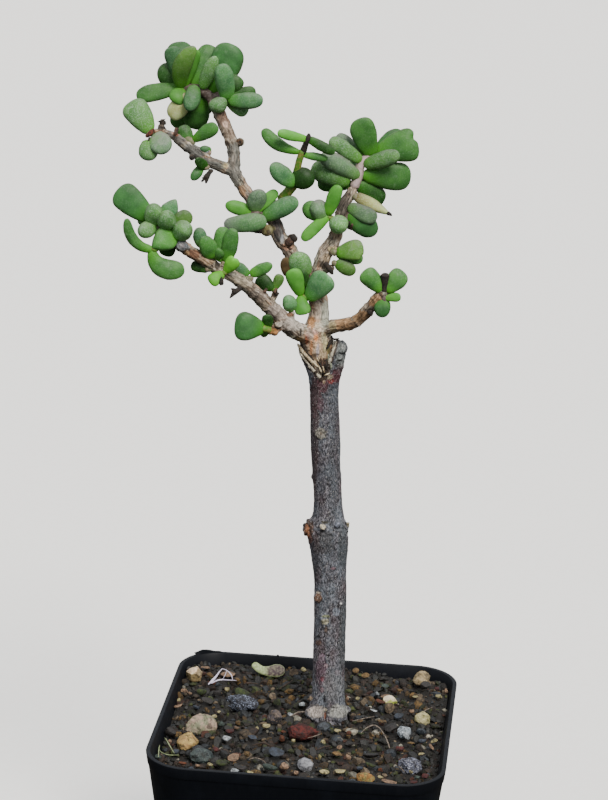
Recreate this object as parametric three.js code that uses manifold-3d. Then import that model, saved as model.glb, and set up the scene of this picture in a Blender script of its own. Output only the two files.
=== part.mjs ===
// Potted dwarf succulent tree: a small-leaved branching scion, cleft-grafted on a tall bare rootstock,
// standing in gravelly soil in a square plastic nursery pot.
// Millimetres, +Z up. The origin is the middle of the pot's underside, and the pot's sides face X and Y.

import * as THREE from 'three';
import { mergeVertices } from 'three/addons/utils/BufferGeometryUtils.js';
import Module from 'manifold-3d';

// Pot
const potWidth = 76;
const potHeight = 76;
const potCorner = 11.5;
const potTaper = 0.13; // how far each side leans in for each millimetre down
const rimHeight = 3;
const rimStep = 0.5; // how far the rim band stands out from the wall
const wallThickness = 1.1;
const rimThickness = 1.7;
const floorThickness = 1.4;
const drainHoleRadius = 4;
const drainHoleOffset = 17;
const tabPlace = [-31, 36.3];
const tabSize = [5.5, 1, 0.8];

// Soil
const gap = 0.3; // clearance between pieces that touch
const soilTop = 72;
const soilCells = 22;
const grainPitch = 6.2;
const grainDome = 1.5;
const grainTopSpread = 1.3;
const soilInset = rimStep + wallThickness + gap;

// The plant stands at this place in the pot, turned to face the view it was measured from.
const stemPlace = new THREE.Vector3(5, 9, soilTop);
const plantTurn = THREE.MathUtils.degToRad(5.587);

// Places on the plant are given as [right, up, depth]: right and up as seen from the front, in the upright
// plane through the stem's foot, and how far behind that plane the place lies. The eye looks from there.
const eye = new THREE.Vector3(-9.2, -623.2, 281.7);
// The crown spreads in depth too: what grows low and to a side leans forward, what grows high leans back.
const leanRate = 0.014;
const leanUp = 140;
const leanRight = -6;
const footBottom = -14; // how deep the stem's plain foot goes into the soil
const footTop = -0.5;
const flareTop = 6;
const footDiameter = 10.8;
const stemSides = 12;
const stemRing = 5; // most height between rings of the stem
const limbStep = 3.6;
const limbSides = 6;
const bigLeafSides = 8;
const smallLeafSides = 6;
const bigLeafWidth = 6.2;
const leafPlump = 0.52; // thickness as a share of width

const wasm = await Module();
wasm.setup();

// The point that is seen at (right, up) and lies at a depth behind the stem's plane.
function seen([right, up, depth]) {
  const flat = new THREE.Vector3(right, 0, up);
  return flat.sub(eye).multiplyScalar(1 - depth / eye.y).add(eye);
}

const lean = ([right, up]) => leanRate * (up - leanUp) * Math.abs(right - leanRight);

// The place of a wooden part, or with a root the place of a leaf's point, with the crown's lean added.
const leaning = (place, root = place) => seen([place[0], place[1], place[2] + lean(root)]);

// A number between 0 and 1 that belongs to a pair of numbers.
function chance(first, second = 0) {
  const wave = Math.sin(first * 127.1 + second * 311.7) * 43758.5453;
  return wave - Math.floor(wave);
}

// A geometry with each vertex carried to a new place.
function carried(geometry, place) {
  const position = geometry.getAttribute('position');
  for (let i = 0; i < position.count; i++) {
    const to = place(position.getX(i), position.getY(i), position.getZ(i));
    position.setXYZ(i, to.x, to.y, to.z);
  }
  return geometry;
}

// A closed geometry as a solid that can be joined and cut.
function solidOf(geometry) {
  const bare = geometry.clone();
  bare.deleteAttribute('normal');
  bare.deleteAttribute('uv');
  const merged = mergeVertices(bare, 1e-4);
  const corners = merged.index.array;
  const kept = [];
  for (let i = 0; i < corners.length; i += 3) {
    const [a, b, c] = [corners[i], corners[i + 1], corners[i + 2]];
    if (a !== b && b !== c && c !== a) kept.push(a, b, c);
  }
  const shape = new wasm.Mesh({
    numProp: 3,
    vertProperties: merged.getAttribute('position').array,
    triVerts: new Uint32Array(kept),
  });
  return new wasm.Manifold(shape);
}

// A solid as a geometry again.
function geometryOf(solid) {
  const mesh = solid.getMesh();
  const geometry = new THREE.BufferGeometry();
  const places = new Float32Array(mesh.vertProperties);
  geometry.setAttribute('position', new THREE.BufferAttribute(places, 3));
  geometry.setIndex(new THREE.BufferAttribute(new Uint32Array(mesh.triVerts), 1));
  geometry.computeVertexNormals();
  return geometry;
}

const joined = (solids) => solids.reduce((sum, solid) => sum.add(solid));

// The largest body of a solid, without the scraps that cutting leaves.
function mainBody(solid) {
  const bodies = solid.decompose();
  return bodies.reduce((best, body) => (body.volume() > best.volume() ? body : best));
}

function meshOf(name, solid, color, roughness) {
  const material = new THREE.MeshStandardMaterial({ color, roughness, metalness: 0 });
  const made = new THREE.Mesh(geometryOf(solid), material);
  made.name = name;
  return made;
}

// Pot: a square cup with round corners and leaning sides, all its outlines scaled by height.
const potScale = (z) => 1 - (potTaper * (potHeight - z)) / (potWidth / 2);

function roundedSquare(half, corner) {
  const straight = half - corner;
  const outline = new THREE.Shape();
  outline.absarc(straight, straight, corner, 0, Math.PI / 2);
  outline.absarc(-straight, straight, corner, Math.PI / 2, Math.PI);
  outline.absarc(-straight, -straight, corner, Math.PI, Math.PI * 1.5);
  outline.absarc(straight, -straight, corner, Math.PI * 1.5, Math.PI * 2);
  return outline;
}

function potLayer(inset, bottom, top) {
  const outline = roundedSquare(potWidth / 2 - inset, potCorner - inset);
  const depth = top - bottom;
  const layer = new THREE.ExtrudeGeometry(outline, { depth, bevelEnabled: false, curveSegments: 4 });
  layer.translate(0, 0, bottom);
  return solidOf(carried(layer, (x, y, z) => new THREE.Vector3(x * potScale(z), y * potScale(z), z)));
}

function makePot() {
  const rimBottom = potHeight - rimHeight;
  const outside = potLayer(rimStep, 0, potHeight).add(potLayer(0, rimBottom, potHeight));
  const hollow = potLayer(rimStep + wallThickness, floorThickness, rimBottom);
  const mouth = potLayer(rimThickness, rimBottom, potHeight + 1);
  const drains = [];
  for (const x of [-drainHoleOffset, drainHoleOffset]) {
    for (const y of [-drainHoleOffset, drainHoleOffset]) {
      const drain = new THREE.CylinderGeometry(drainHoleRadius, drainHoleRadius, 4, 10);
      drains.push(solidOf(drain.rotateX(Math.PI / 2).translate(x, y, 0)));
    }
  }
  const tab = new THREE.BoxGeometry(...tabSize, 4, 1, 1);
  const tornTop = (x, z) => (z > 0 ? z * (0.3 + 0.7 * chance(x)) : z - gap);
  carried(tab, (x, y, z) => new THREE.Vector3(x, y, tornTop(x, z)));
  tab.translate(tabPlace[0], tabPlace[1], potHeight + tabSize[2] / 2);
  return outside.subtract(hollow).subtract(mouth).subtract(joined(drains)).add(solidOf(tab));
}

// Soil: its relief is a bed of round-topped grains, each round its own jittered middle.
function grainHeight(x, y) {
  const column = Math.round(x / grainPitch);
  const row = Math.round(y / grainPitch);
  let height = -grainDome;
  for (let i = column - 1; i <= column + 1; i++) {
    for (let j = row - 1; j <= row + 1; j++) {
      const middleX = (i + 0.8 * (chance(i, j) - 0.5)) * grainPitch;
      const middleY = (j + 0.8 * (chance(j + 31, i) - 0.5)) * grainPitch;
      const away = Math.hypot(x - middleX, y - middleY) / (grainPitch / 2);
      const top = (chance(i + 7, j + 13) - 0.5) * grainTopSpread;
      height = Math.max(height, top - grainDome * away * away);
    }
  }
  return height;
}

function makeSoil(buried) {
  const block = potLayer(soilInset, floorThickness + gap, potHeight);
  const lidHeight = 10;
  const lid = new THREE.BoxGeometry(potWidth, potWidth, lidHeight, soilCells, soilCells, 1);
  carried(lid, (x, y, z) => new THREE.Vector3(x, y, soilTop + (z > 0 ? lidHeight : grainHeight(x, y))));
  return mainBody(block.subtract(solidOf(lid)).subtract(buried));
}

// Limbs: each station is [right, up, depth, diameter], and a limb is a turned body carried onto the curve
// through them.
function limb(stations, { sides = limbSides, step = limbStep, grow = 0 } = {}) {
  const places = stations.map((station) => leaning(station));
  const curve = new THREE.CatmullRomCurve3(places, false, 'centripetal');
  const steps = Math.max(2, Math.round(curve.getLength() / step));
  const frames = curve.computeFrenetFrames(steps);
  const radiusAt = (share) => {
    const place = curve.getUtoTmapping(share) * (stations.length - 1);
    const before = Math.min(Math.floor(place), stations.length - 2);
    const [from, to] = [stations[before][3], stations[before + 1][3]];
    return THREE.MathUtils.lerp(from, to, place - before) / 2 + grow;
  };
  const profile = [new THREE.Vector2(0, -0.5 * radiusAt(0) - grow)];
  for (let i = 0; i <= steps; i++) profile.push(new THREE.Vector2(radiusAt(i / steps), i));
  profile.push(new THREE.Vector2(0, steps + 0.5 * radiusAt(1) + grow));
  const place = (x, y, z) => {
    const i = THREE.MathUtils.clamp(Math.round(y), 0, steps);
    const point = curve.getPointAt(i / steps);
    point.addScaledVector(frames.binormals[i], x).addScaledVector(frames.normals[i], z);
    return point.addScaledVector(frames.tangents[i], y - i);
  };
  return solidOf(carried(new THREE.LatheGeometry(profile, sides), place));
}

function knob([right, up, depth, diameter], { grow = 0, onStem = false } = {}) {
  const ball = new THREE.SphereGeometry(diameter / 2 + grow, 6, 3);
  const middle = onStem ? seen([right, up, depth]) : leaning([right, up, depth]);
  return solidOf(ball.translate(middle.x, middle.y, middle.z));
}

// Leaves: a fat spoon outline, widest past its middle. The profiles give [share of length, share of width].
const bigLeafProfile = [[0, 0], [0.02, 0.34], [0.34, 0.85], [0.7, 1], [0.93, 0.68], [1, 0]];
const smallLeafProfile = [[0, 0], [0.03, 0.42], [0.4, 0.95], [0.86, 0.88], [1, 0]];

// A leaf shape one unit long and two wide, with an edge on each side.
function leafBlank(wide) {
  const big = wide >= bigLeafWidth;
  const outline = big ? bigLeafProfile : smallLeafProfile;
  const profile = outline.map(([along, across]) => new THREE.Vector2(across, along));
  return new THREE.LatheGeometry(profile, big ? bigLeafSides : smallLeafSides, Math.PI / 2);
}

// A leaf runs from root to tip, faces the eye, and is turned about its length by roll degrees. It may pass
// through a point on the way.
function leaf(root, tip, wide, { thick = leafPlump, roll = 0, via = null } = {}) {
  return { root, tip, wide, thick, roll, via };
}

function leafSolid({ root, tip, wide, thick, roll, via }, grow = 0) {
  const from = leaning(root);
  const to = leaning(tip, root);
  const middle = via ? leaning(via, root) : from.clone().lerp(to, 0.5);
  const bow = middle.clone().multiplyScalar(2).addScaledVector(from, -0.5).addScaledVector(to, -0.5);
  const curve = new THREE.QuadraticBezierCurve3(from, bow, to);
  const toEye = eye.clone().sub(middle).normalize();
  const place = (x, y, z) => {
    const tangent = curve.getTangent(y);
    const side = tangent.clone().cross(toEye).normalize();
    const face = side.clone().cross(tangent);
    side.applyAxisAngle(tangent, THREE.MathUtils.degToRad(roll));
    face.applyAxisAngle(tangent, THREE.MathUtils.degToRad(roll));
    const point = curve.getPoint(y).addScaledVector(side, x * (wide / 2 + grow));
    point.addScaledVector(face, z * ((wide * thick) / 2 + grow));
    return point.addScaledVector(tangent, (2 * y - 1) * grow);
  };
  return solidOf(carried(leafBlank(wide), place));
}

// Rootstock: [up, right, diameter] from the foot to the cleft, with an uneven ring where it was cut once.
const stemStations = [
  [footBottom, 0, footDiameter],
  [footTop, 0, footDiameter],
  [1.6, -0.4, 11.4],
  [3.4, -0.4, 10.6],
  [4.8, -0.3, 9],
  [10, -0.3, 8.2],
  [20, -0.45, 8.1],
  [30, -0.5, 8.2],
  [40, -1, 8.2],
  [45, -1.3, 9.4],
  [50, -1.8, 10.7],
  [53, -2.3, 11],
  [57, -1.9, 7.8],
  [60, -2.2, 7.2],
  [70, -2.95, 7.4],
  [78.5, -3.5, 7.8],
  [85, -3.85, 7.3],
  [90, -4.15, 7.4],
  [95, -4.7, 9.5],
  [97.5, -4.8, 10.8],
  [100, -5, 12.6],
  [102.2, -5, 12.6],
];
const stemKnobs = [
  [-6.6, 52.6, -0.5, 3.6],
  [2.4, 53.4, 0.5, 2.6],
  [-3.3, 53.6, -5, 2.4],
  [-4.6, 78.6, -3.4, 2.2],
  [-4.2, 34, -2.6, 1.8],
  [-2.4, 28.5, -3.6, 2.4],
];
const cleftDepthDiameter = 9.6; // the stem's size from front to back where it widens at the cleft
// The cleft is a wedge cut from front to back. Its corners are [right, up].
const cleftBottom = [-4.8, 94.3];
const cleftLeft = [-11.3, 101.3];
const cleftRight = [-0.9, 102.6];
const cleftReach = 3; // how much further than the lips its sides are drawn

function stemAt(up) {
  let i = 1;
  while (i < stemStations.length - 1 && stemStations[i][0] < up) i++;
  const [low, high] = [stemStations[i - 1], stemStations[i]];
  const share = (up - low[0]) / (high[0] - low[0]);
  return [THREE.MathUtils.lerp(low[1], high[1], share), THREE.MathUtils.lerp(low[2], high[2], share)];
}

function cleftWedge(inset) {
  const spread = ([right, up]) => [
    right + (cleftReach * (right - cleftBottom[0])) / 2,
    up + (cleftReach * (up - cleftBottom[1])) / 2,
  ];
  const [leftRight, leftUp] = spread(cleftLeft);
  const [rightRight, rightUp] = spread(cleftRight);
  const outline = new THREE.Shape();
  outline.moveTo(cleftBottom[0], cleftBottom[1] + 1.6 * inset);
  outline.lineTo(rightRight - inset, rightUp + inset);
  outline.lineTo(leftRight + inset, leftUp + inset);
  const wedge = new THREE.ExtrudeGeometry(outline, { depth: 30, bevelEnabled: false });
  return solidOf(wedge.rotateX(Math.PI / 2).translate(0, 15, 0));
}

function makeRootstock() {
  const bottom = stemStations[0][0];
  const top = stemStations[stemStations.length - 1][0];
  const profile = [[0, bottom], [1, bottom], [1, footTop]].map((place) => new THREE.Vector2(...place));
  for (let i = 2; i < stemStations.length; i++) {
    const [low, high] = [stemStations[i - 1][0], stemStations[i][0]];
    const rings = Math.ceil((high - low) / stemRing);
    for (let ring = 1; ring <= rings; ring++) {
      profile.push(new THREE.Vector2(1, THREE.MathUtils.lerp(low, high, ring / rings)));
    }
  }
  profile.push(new THREE.Vector2(0, top + 0.6));
  const place = (x, y, z) => {
    const [right, diameter] = stemAt(y);
    const angle = Math.atan2(z, x);
    const flare = y > footTop && y < flareTop ? 0.05 * Math.cos(2 * angle + 0.6) : 0;
    const lumps = y > footTop ? 0.02 * Math.sin(3 * angle + 0.21 * y) : 0;
    const wide = (diameter / 2) * (1 + flare + lumps);
    const deep = y > cleftBottom[1] - 2 ? Math.min(wide, cleftDepthDiameter / 2) : wide;
    return new THREE.Vector3(right + x * wide, -z * deep, y);
  };
  const trunk = solidOf(carried(new THREE.LatheGeometry(profile, stemSides), place));
  const knobs = stemKnobs.map((each) => knob(each, { onStem: true }));
  return mainBody(joined([trunk, ...knobs]).subtract(cleftWedge(0)));
}

// Scion wood: each limb starts inside the one that bears it.
const wedgeLimb = [
  [-5.2, 95.4, 0, 2.6],
  [-5.9, 97, 0, 4.6],
  [-6.4, 100, 0, 7],
  [-6.8, 103.4, 0, 8.2],
];
const trunkLimb = [
  [-6.7, 102.4, 0, 8],
  [-6.8, 104, 0, 8.2],
  [-6.5, 106.5, 0, 7],
  [-6.3, 108.6, 0.2, 5.6],
  [-6.1, 111.4, 0.4, 4.9],
  [-6.8, 115, 0.6, 4.9],
  [-8.4, 118, 1, 4.5],
  [-10.5, 120.5, 1.5, 4.3],
  [-12.8, 124.7, 2.2, 4],
  [-14.4, 127.1, 2.8, 3.8],
  [-16.8, 130.4, 3.4, 3.9],
  [-17.9, 133.6, 4, 3.5],
  [-21.5, 137, 4.6, 3.3],
  [-24.5, 140.3, 5, 3.3],
  [-26.7, 143.2, 5.4, 3.1],
  [-28.5, 146.8, 5.8, 3.3],
  [-28.5, 150, 6.2, 3.1],
  [-29.1, 153.5, 6.6, 3.2],
  [-30.4, 156.5, 7, 3.2],
  [-31.8, 159.5, 7.4, 3.3],
  [-33, 162, 7.8, 3.2],
];
const lowLeftLimb = [
  [-7, 104.4, -0.2, 5],
  [-9.4, 105, -1, 4.8],
  [-12.2, 106, -2, 4.7],
  [-15, 108.3, -3, 4.5],
  [-18.8, 112, -4.4, 4],
  [-23.5, 116.3, -6, 3.6],
  [-26.1, 118.3, -7, 3.3],
  [-29, 119.9, -8, 3.1],
  [-33.2, 122, -9.4, 3],
  [-35.5, 123.5, -10.2, 2.9],
  [-39.1, 125.6, -11.4, 3],
  [-41.2, 127.1, -12.1, 3.3],
];
const highLeftLimb = [
  [-28.4, 146.3, 5.8, 2.6],
  [-30.5, 147, 5.4, 3],
  [-32.5, 147.8, 4.6, 2.9],
  [-35, 148.7, 3.6, 2.9],
  [-38, 150.9, 2.4, 3],
  [-40.3, 152.5, 1.6, 2.9],
  [-42.2, 153.8, 1, 2.6],
  [-44.2, 155, 0.5, 1.9],
  [-46.3, 155.6, 0, 1.7],
  [-48.3, 155.7, -0.5, 1.6],
];
const rightLimb = [
  [-6.8, 115, 0.7, 4.2],
  [-6.9, 117.5, 0.8, 4.1],
  [-7, 120, 1.4, 3.9],
  [-6.4, 122.6, 2, 3.8],
  [-4.9, 126.7, 3, 4.1],
  [-3.1, 129.4, 3.6, 3.6],
  [-1.9, 134, 4.4, 3.1],
  [-1, 138.3, 5.2, 2.9],
  [0.5, 141.2, 5.8, 2.8],
  [1.2, 142.8, 6, 2.7],
];
const lowRightLimb = [
  [-5.4, 106.2, -0.4, 3.2],
  [-3.3, 107, -1, 2.9],
  [-2.1, 107.5, -1.4, 2.8],
  [3, 108.8, -3, 2.7],
  [5.6, 111.2, -4, 2.8],
  [7.8, 114, -5, 2.8],
  [9, 115.6, -5.5, 2.6],
];
const sideStubs = [
  [[-19, 134.6, 4, 2.4], [-17.8, 137.2, 3.4, 2.1], [-16.9, 138.8, 2.8, 2.1]],
  [[-15, 108, -3, 2.8], [-16.2, 106.9, -3.2, 2.6], [-17, 106.3, -3.3, 2.4]],
  [[-18.4, 112.2, -4.3, 1.8], [-17.7, 114.4, -4, 1.5], [-17.3, 115.6, -3.9, 1.7]],
  [[-13, 107.6, -2.2, 2], [-13.1, 109.4, -2.3, 1.6], [-13.1, 110.4, -2.4, 1.7]],
  [[-6.2, 121.4, 1.6, 2], [-4.4, 122, 1.4, 1.9], [-3.4, 122.5, 1.2, 1.8]],
];
const woodKnobs = [
  [-27.1, 153.8, 6.4, 2.1],
  [-46.6, 156.9, -0.1, 1.9],
  [-38.9, 149.8, 2, 1.7],
  [-35.4, 151, 3.2, 2.8],
  [-31, 118.9, -8.7, 1.8],
  [-13.7, 129.8, 3, 2.2],
  [6.7, 111, -4.2, 1.9],
  [-3.4, 127.6, 2.4, 2.4],
];

function woodSolid(grow) {
  const foot = limb(wedgeLimb, { sides: 10, grow }).intersect(cleftWedge(gap - grow));
  const limbs = [trunkLimb, lowLeftLimb, highLeftLimb, rightLimb, lowRightLimb];
  const stubs = sideStubs.map((stations) => limb(stations, { sides: 5, step: 2, grow }));
  const knobs = woodKnobs.map((each) => knob(each, { grow }));
  return joined([foot, ...limbs.map((stations) => limb(stations, { grow })), ...stubs, ...knobs]);
}

// Leafy shoots: each has the young stems or leaf bases that its leaves spring from, and its leaves.
const shoots = {
  crown_leaves: {
    stems: [
      [[-33.4, 162.9, 8, 3], [-34.8, 165, 8.4, 2.8], [-38, 166.6, 8.4, 2.8], [-42.4, 166.5, 8.2, 2.4]],
      [[-34.4, 164.4, 8.2, 2.6], [-32, 165, 8, 2.6], [-29.4, 165.3, 8, 2.2]],
    ],
    leaves: [
      leaf([-40, 166.6, 9], [-42, 179, 13], 6),
      leaf([-41.3, 166.6, 8.6], [-44.2, 176.7, 8], 5.5, { roll: -15 }),
      leaf([-42, 166.5, 9], [-47.8, 171.4, 11], 6.5),
      leaf([-41.7, 166.8, 7.6], [-38.8, 177.1, 4.6], 4, { roll: 12 }),
      leaf([-41.9, 166.8, 7.4], [-42.2, 173.8, 2.6], 4.3),
      leaf([-42.2, 166.4, 8], [-52.8, 164.5, 7], 4.5, { roll: 15 }),
      leaf([-41, 166.2, 7.6], [-44.3, 163.2, 4.6], 4),
      leaf([-38.2, 166.4, 7.4], [-40.7, 161.2, 3.2], 3.7),
      leaf([-38.6, 165.8, 8.8], [-43.9, 159.7, 10.5], 3.9),
      leaf([-36.5, 165.2, 9.2], [-39.6, 156.8, 12], 6),
      leaf([-38, 165.6, 9.4], [-44, 156.8, 15], 5),
      leaf([-38.6, 166.8, 9.2], [-34.6, 178.1, 13], 5.5),
      leaf([-34.4, 165.6, 8.8], [-28.4, 178.6, 10.5], 7.5, { roll: -10 }),
      leaf([-37.2, 166.6, 7.4], [-34.6, 174.4, 3.2], 3.2),
      leaf([-30.9, 165, 7.4], [-31.7, 173.1, 3.8], 4.7, { roll: 10 }),
      leaf([-29.8, 165.4, 8.2], [-27.3, 170.4, 8], 4),
      leaf([-29.6, 165.3, 8.3], [-23.5, 166.5, 9.5], 3.5),
      leaf([-30.2, 164.9, 7.6], [-21.7, 164.3, 5.6], 4),
      leaf([-31, 164.6, 8], [-26.2, 160.5, 9], 3.5),
      leaf([-33, 164, 7], [-32.4, 162.3, 2.4], 5, { thick: 0.8 }),
      leaf([-31.4, 165.2, 9], [-30.4, 171, 13], 3.8),
      leaf([-37, 166.2, 9.4], [-37.4, 171.5, 16], 5),
      leaf([-33, 165.2, 9.2], [-30, 169.4, 15.5], 5),
      leaf([-41, 166.4, 9.4], [-44.5, 168.5, 15.5], 4.5),
      leaf([-35.4, 165, 9.4], [-36.6, 160.6, 15], 4.5),
    ],
  },
  high_left_tip_leaves: {
    stems: [[[-48.9, 155.6, -0.7, 1.8], [-49.5, 155.4, -0.9, 2.2], [-49.9, 154.9, -1.1, 1.6]]],
    leaves: [
      leaf([-49.5, 155.6, -0.9], [-55.1, 163.8, 0.4], 6.6),
      leaf([-49.2, 155.1, -1.2], [-44.8, 150.9, -4.6], 5.9, { thick: 0.4 }),
      leaf([-49.7, 155, -1.1], [-49.5, 148.3, -2.6], 5.3, { thick: 0.45 }),
    ],
  },
  high_left_upper_leaves: {
    stems: [[[-40.8, 153.9, 1.4, 1.8], [-39.6, 153.8, 1.4, 2], [-38.7, 153, 1.8, 1.8]]],
    leaves: [
      leaf([-40.6, 154, 1.6], [-42.7, 158, 3.4], 3.4, { roll: 15 }),
      leaf([-39, 153.5, 1.4], [-32.8, 158.1, -0.2], 3.8),
    ],
  },
  high_left_lower_leaves: {
    stems: [[[-34.9, 147, 3.2, 1.7], [-35.9, 147, 2.6, 1.9]]],
    leaves: [
      leaf([-35.2, 147, 3], [-38.4, 149.6, 0.2], 2.5),
      leaf([-35.6, 147.2, 2.8], [-38.9, 143.6, 1], 2.4),
    ],
  },
  low_left_tip_leaves: {
    stems: [
      [[-41.9, 127.6, -12.3, 3], [-44.4, 129.4, -12.9, 2.8], [-47, 131.4, -13.4, 2.6],
        [-49, 133.6, -13.4, 2.2]],
      [[-44.4, 129.6, -12.9, 2.4], [-44.2, 131.8, -12.8, 2.2], [-43.6, 133, -12.4, 1.8]],
    ],
    leaves: [
      leaf([-48.6, 133.1, -13.2], [-57.8, 140.5, -12], 6.2),
      leaf([-47.6, 131.9, -13.4], [-48.3, 137.2, -16.4], 4.4),
      leaf([-44.1, 132.6, -12.6], [-43, 138.9, -11.4], 3.5),
      leaf([-44.6, 131.6, -13.6], [-44.8, 134.4, -18], 4.4, { thick: 0.7 }),
      leaf([-43.6, 131.6, -12.4], [-39.8, 136.1, -11.6], 4),
      leaf([-43.2, 129.4, -13.2], [-39.8, 131.9, -16.8], 4.8, { thick: 0.7 }),
      leaf([-47.2, 131.2, -13.8], [-51.3, 129.6, -17], 4, { thick: 0.7 }),
      leaf([-45.4, 130.6, -13.8], [-45.6, 125.6, -18], 5.3),
      leaf([-43.8, 128.8, -12.6], [-45.2, 123.9, -10.6], 4),
      leaf([-45.8, 130.6, -12.8], [-46.6, 133.4, -6], 4.8),
      leaf([-43.9, 129.2, -12.4], [-42.2, 129.4, -5.6], 4.5),
      leaf([-48.4, 132.8, -12.4], [-51.4, 134.6, -7.4], 4.5),
    ],
  },
  low_left_hanging_leaves: {
    stems: [[[-45.6, 128.2, -13.4, 2], [-47, 126.6, -13.8, 1.8], [-48.2, 125.4, -14, 1.8]]],
    leaves: [
      leaf([-48, 125.6, -14], [-54.6, 133.6, -15], 2.8, { via: [-52.9, 128.4, -14.6] }),
      leaf([-48.2, 125.4, -14], [-40.8, 120.7, -14.4], 3.6, { via: [-46, 121.9, -14.4] }),
    ],
  },
  low_left_top_leaves: {
    stems: [[[-33.4, 123.6, -10.2, 2], [-35, 124.8, -10.8, 2.4], [-36.2, 126.4, -10.6, 2]]],
    leaves: [
      leaf([-36.2, 126.2, -10.4], [-37.3, 131.9, -9.2], 3.1, { thick: 0.8 }),
      leaf([-35.1, 124.9, -11.2], [-35.4, 130, -13.4], 4.3),
      leaf([-33.9, 123.9, -10.8], [-32.4, 127.3, -13], 3.5),
    ],
  },
  low_left_under_leaf: {
    stems: [[[-33.8, 121.1, -9.4, 1.8], [-34.9, 121.1, -9.4, 1.8]]],
    leaves: [leaf([-34.2, 121, -9.4], [-38.8, 122.3, -8.6], 2.7)],
  },
  low_left_paired_leaves: {
    stems: [[[-30.8, 122, -8.4, 2], [-29.6, 122.2, -8.4, 2]]],
    leaves: [
      leaf([-30.6, 122.2, -8.2], [-30.9, 132.6, -7.4], 3.4),
      leaf([-29.8, 122.2, -8.8], [-27.7, 130.8, -10.2], 3.4),
    ],
  },
  low_left_new_leaves: {
    stems: [[[-30.1, 120.3, -9.6, 2], [-30.2, 120.3, -10.4, 2]]],
    leaves: [
      leaf([-30, 120.6, -10], [-27.3, 124.6, -12.2], 2.8),
      leaf([-30.4, 120.2, -10], [-33.8, 117.2, -12.2], 2.9),
    ],
  },
  low_left_middle_leaves: {
    stems: [[[-24.8, 118.6, -6.8, 1.9], [-23.4, 118.6, -6.6, 1.9]]],
    leaves: [
      leaf([-24.6, 118.9, -6.9], [-27.9, 122.7, -7.6], 2.8),
      leaf([-23.6, 118.8, -6.8], [-18.7, 123.2, -7.8], 3),
    ],
  },
  middle_leaves: {
    stems: [[[-20.6, 135.6, 2.9, 2.4], [-22.4, 136, 1.4, 2.4], [-24.2, 134.6, 0, 2]]],
    leaves: [
      leaf([-22.8, 136.2, 1], [-22.1, 142.1, -0.6], 4.3),
      leaf([-22.2, 136.1, 1.6], [-17.3, 142, 1.8], 2.7),
      leaf([-23.2, 136, 1], [-30.4, 138.2, 0.4], 3.3),
      leaf([-21, 135.5, 2], [-12.4, 140.1, -0.8], 3.8),
      leaf([-24.1, 134.7, 0], [-30.3, 132.5, -1], 4.2),
      leaf([-24, 134.4, -0.2], [-20.1, 133.7, -4], 4.4),
      leaf([-21.6, 135.2, 1.8], [-19, 131.4, 0.2], 2.6),
    ],
  },
  twig_leaves: {
    stems: [
      [[-16.5, 139.6, 2.6, 2.2], [-14.7, 141.8, 1.6, 2.2], [-13.6, 143.2, 1, 2.1], [-12.7, 147, -0.2, 1.6],
        [-12.2, 150, -1, 1.6], [-11.6, 152, -1.4, 1.7], [-10.2, 154.7, -2.2, 1.6]],
    ],
    leaves: [
      leaf([-13.7, 143.3, 1], [-19.3, 148.4, 0.4], 4.2),
      leaf([-13.4, 143.5, 1.2], [-8.7, 145.5, 3], 5.4, { thick: 0.6 }),
      leaf([-11.9, 151.5, -1.2], [-21.3, 157.2, -0.2], 2.7, { via: [-15.9, 155, -0.8] }),
      leaf([-10.5, 154.5, -2.2], [-18, 156.7, -4.6], 2.4),
      leaf([-10.3, 154.6, -2.2], [-2.8, 152.2, -2.8], 2.4),
      leaf([-11.8, 151.2, -1.2], [-5.1, 150.1, -1.6], 2.1),
    ],
  },
  right_crown_leaves: {
    stems: [
      [[1.5, 143.6, 6.2, 2.6], [2.2, 145.4, 6.4, 2.5], [3.3, 149.6, 7, 2.4], [5, 151.3, 7.2, 2.4],
        [6.8, 152.3, 7.2, 2]],
    ],
    leaves: [
      leaf([3.6, 150.1, 7.6], [-3.6, 156.4, 10.4], 2.9),
      leaf([3.4, 149.8, 6.6], [-5, 154.9, 4.4], 2.9),
      leaf([5.1, 151.3, 6.8], [2.1, 160.6, 4.8], 6),
      leaf([5, 151.3, 8], [3.6, 158.2, 13], 4.8),
      leaf([6.3, 152, 7.6], [14.4, 158.2, 9.4], 6.3, { roll: 12 }),
      leaf([6.6, 152, 7], [17.9, 153.2, 4.8], 6.2, { roll: -12 }),
      leaf([4.2, 150.2, 6.2], [12.7, 151.8, 2], 3.8),
      leaf([3.1, 147, 6.8], [15.4, 146.6, 8.8], 6.6, { roll: 10 }),
      leaf([2.5, 145.2, 7], [8.8, 139.4, 9], 4.7),
      leaf([2.6, 146.9, 5.8], [-7.2, 151.2, 3], 3.5),
      leaf([1.9, 144.4, 5.8], [-9.3, 147.9, 6.4], 5, { roll: -12 }),
      leaf([1.7, 144, 6.8], [-7.6, 143.3, 9], 4),
      leaf([4.4, 150.6, 8], [7.4, 153.8, 14], 5),
      leaf([3.4, 148.2, 7.8], [0.4, 147.6, 13.5], 5),
      leaf([2.6, 145.8, 7.4], [6, 144.4, 13.4], 4.2),
    ],
  },
  right_limb_left_leaves: {
    stems: [[[-3.5, 134.7, 3.8, 2], [-4.9, 135.3, 3.4, 1.9]]],
    leaves: [
      leaf([-4.7, 135.4, 4], [-10.6, 139.7, 5.6], 5),
      leaf([-4.4, 135.4, 3], [-1.7, 143.8, 1.4], 3),
      leaf([-4.8, 135, 3.2], [-11, 129.2, 2.2], 2.9),
    ],
  },
  right_limb_front_leaf: {
    stems: [[[-2.1, 134.6, 3, 2.2], [-2.1, 134.6, 2, 2.2]]],
    leaves: [leaf([-2.1, 134.6, 2.4], [-1.7, 133, -2], 4.5, { thick: 0.85 })],
  },
  right_limb_right_leaves: {
    stems: [[[-0.4, 135, 4.2, 2.2], [0.6, 136.4, 4.4, 2.2], [0.9, 137.6, 4.8, 2]]],
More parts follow.
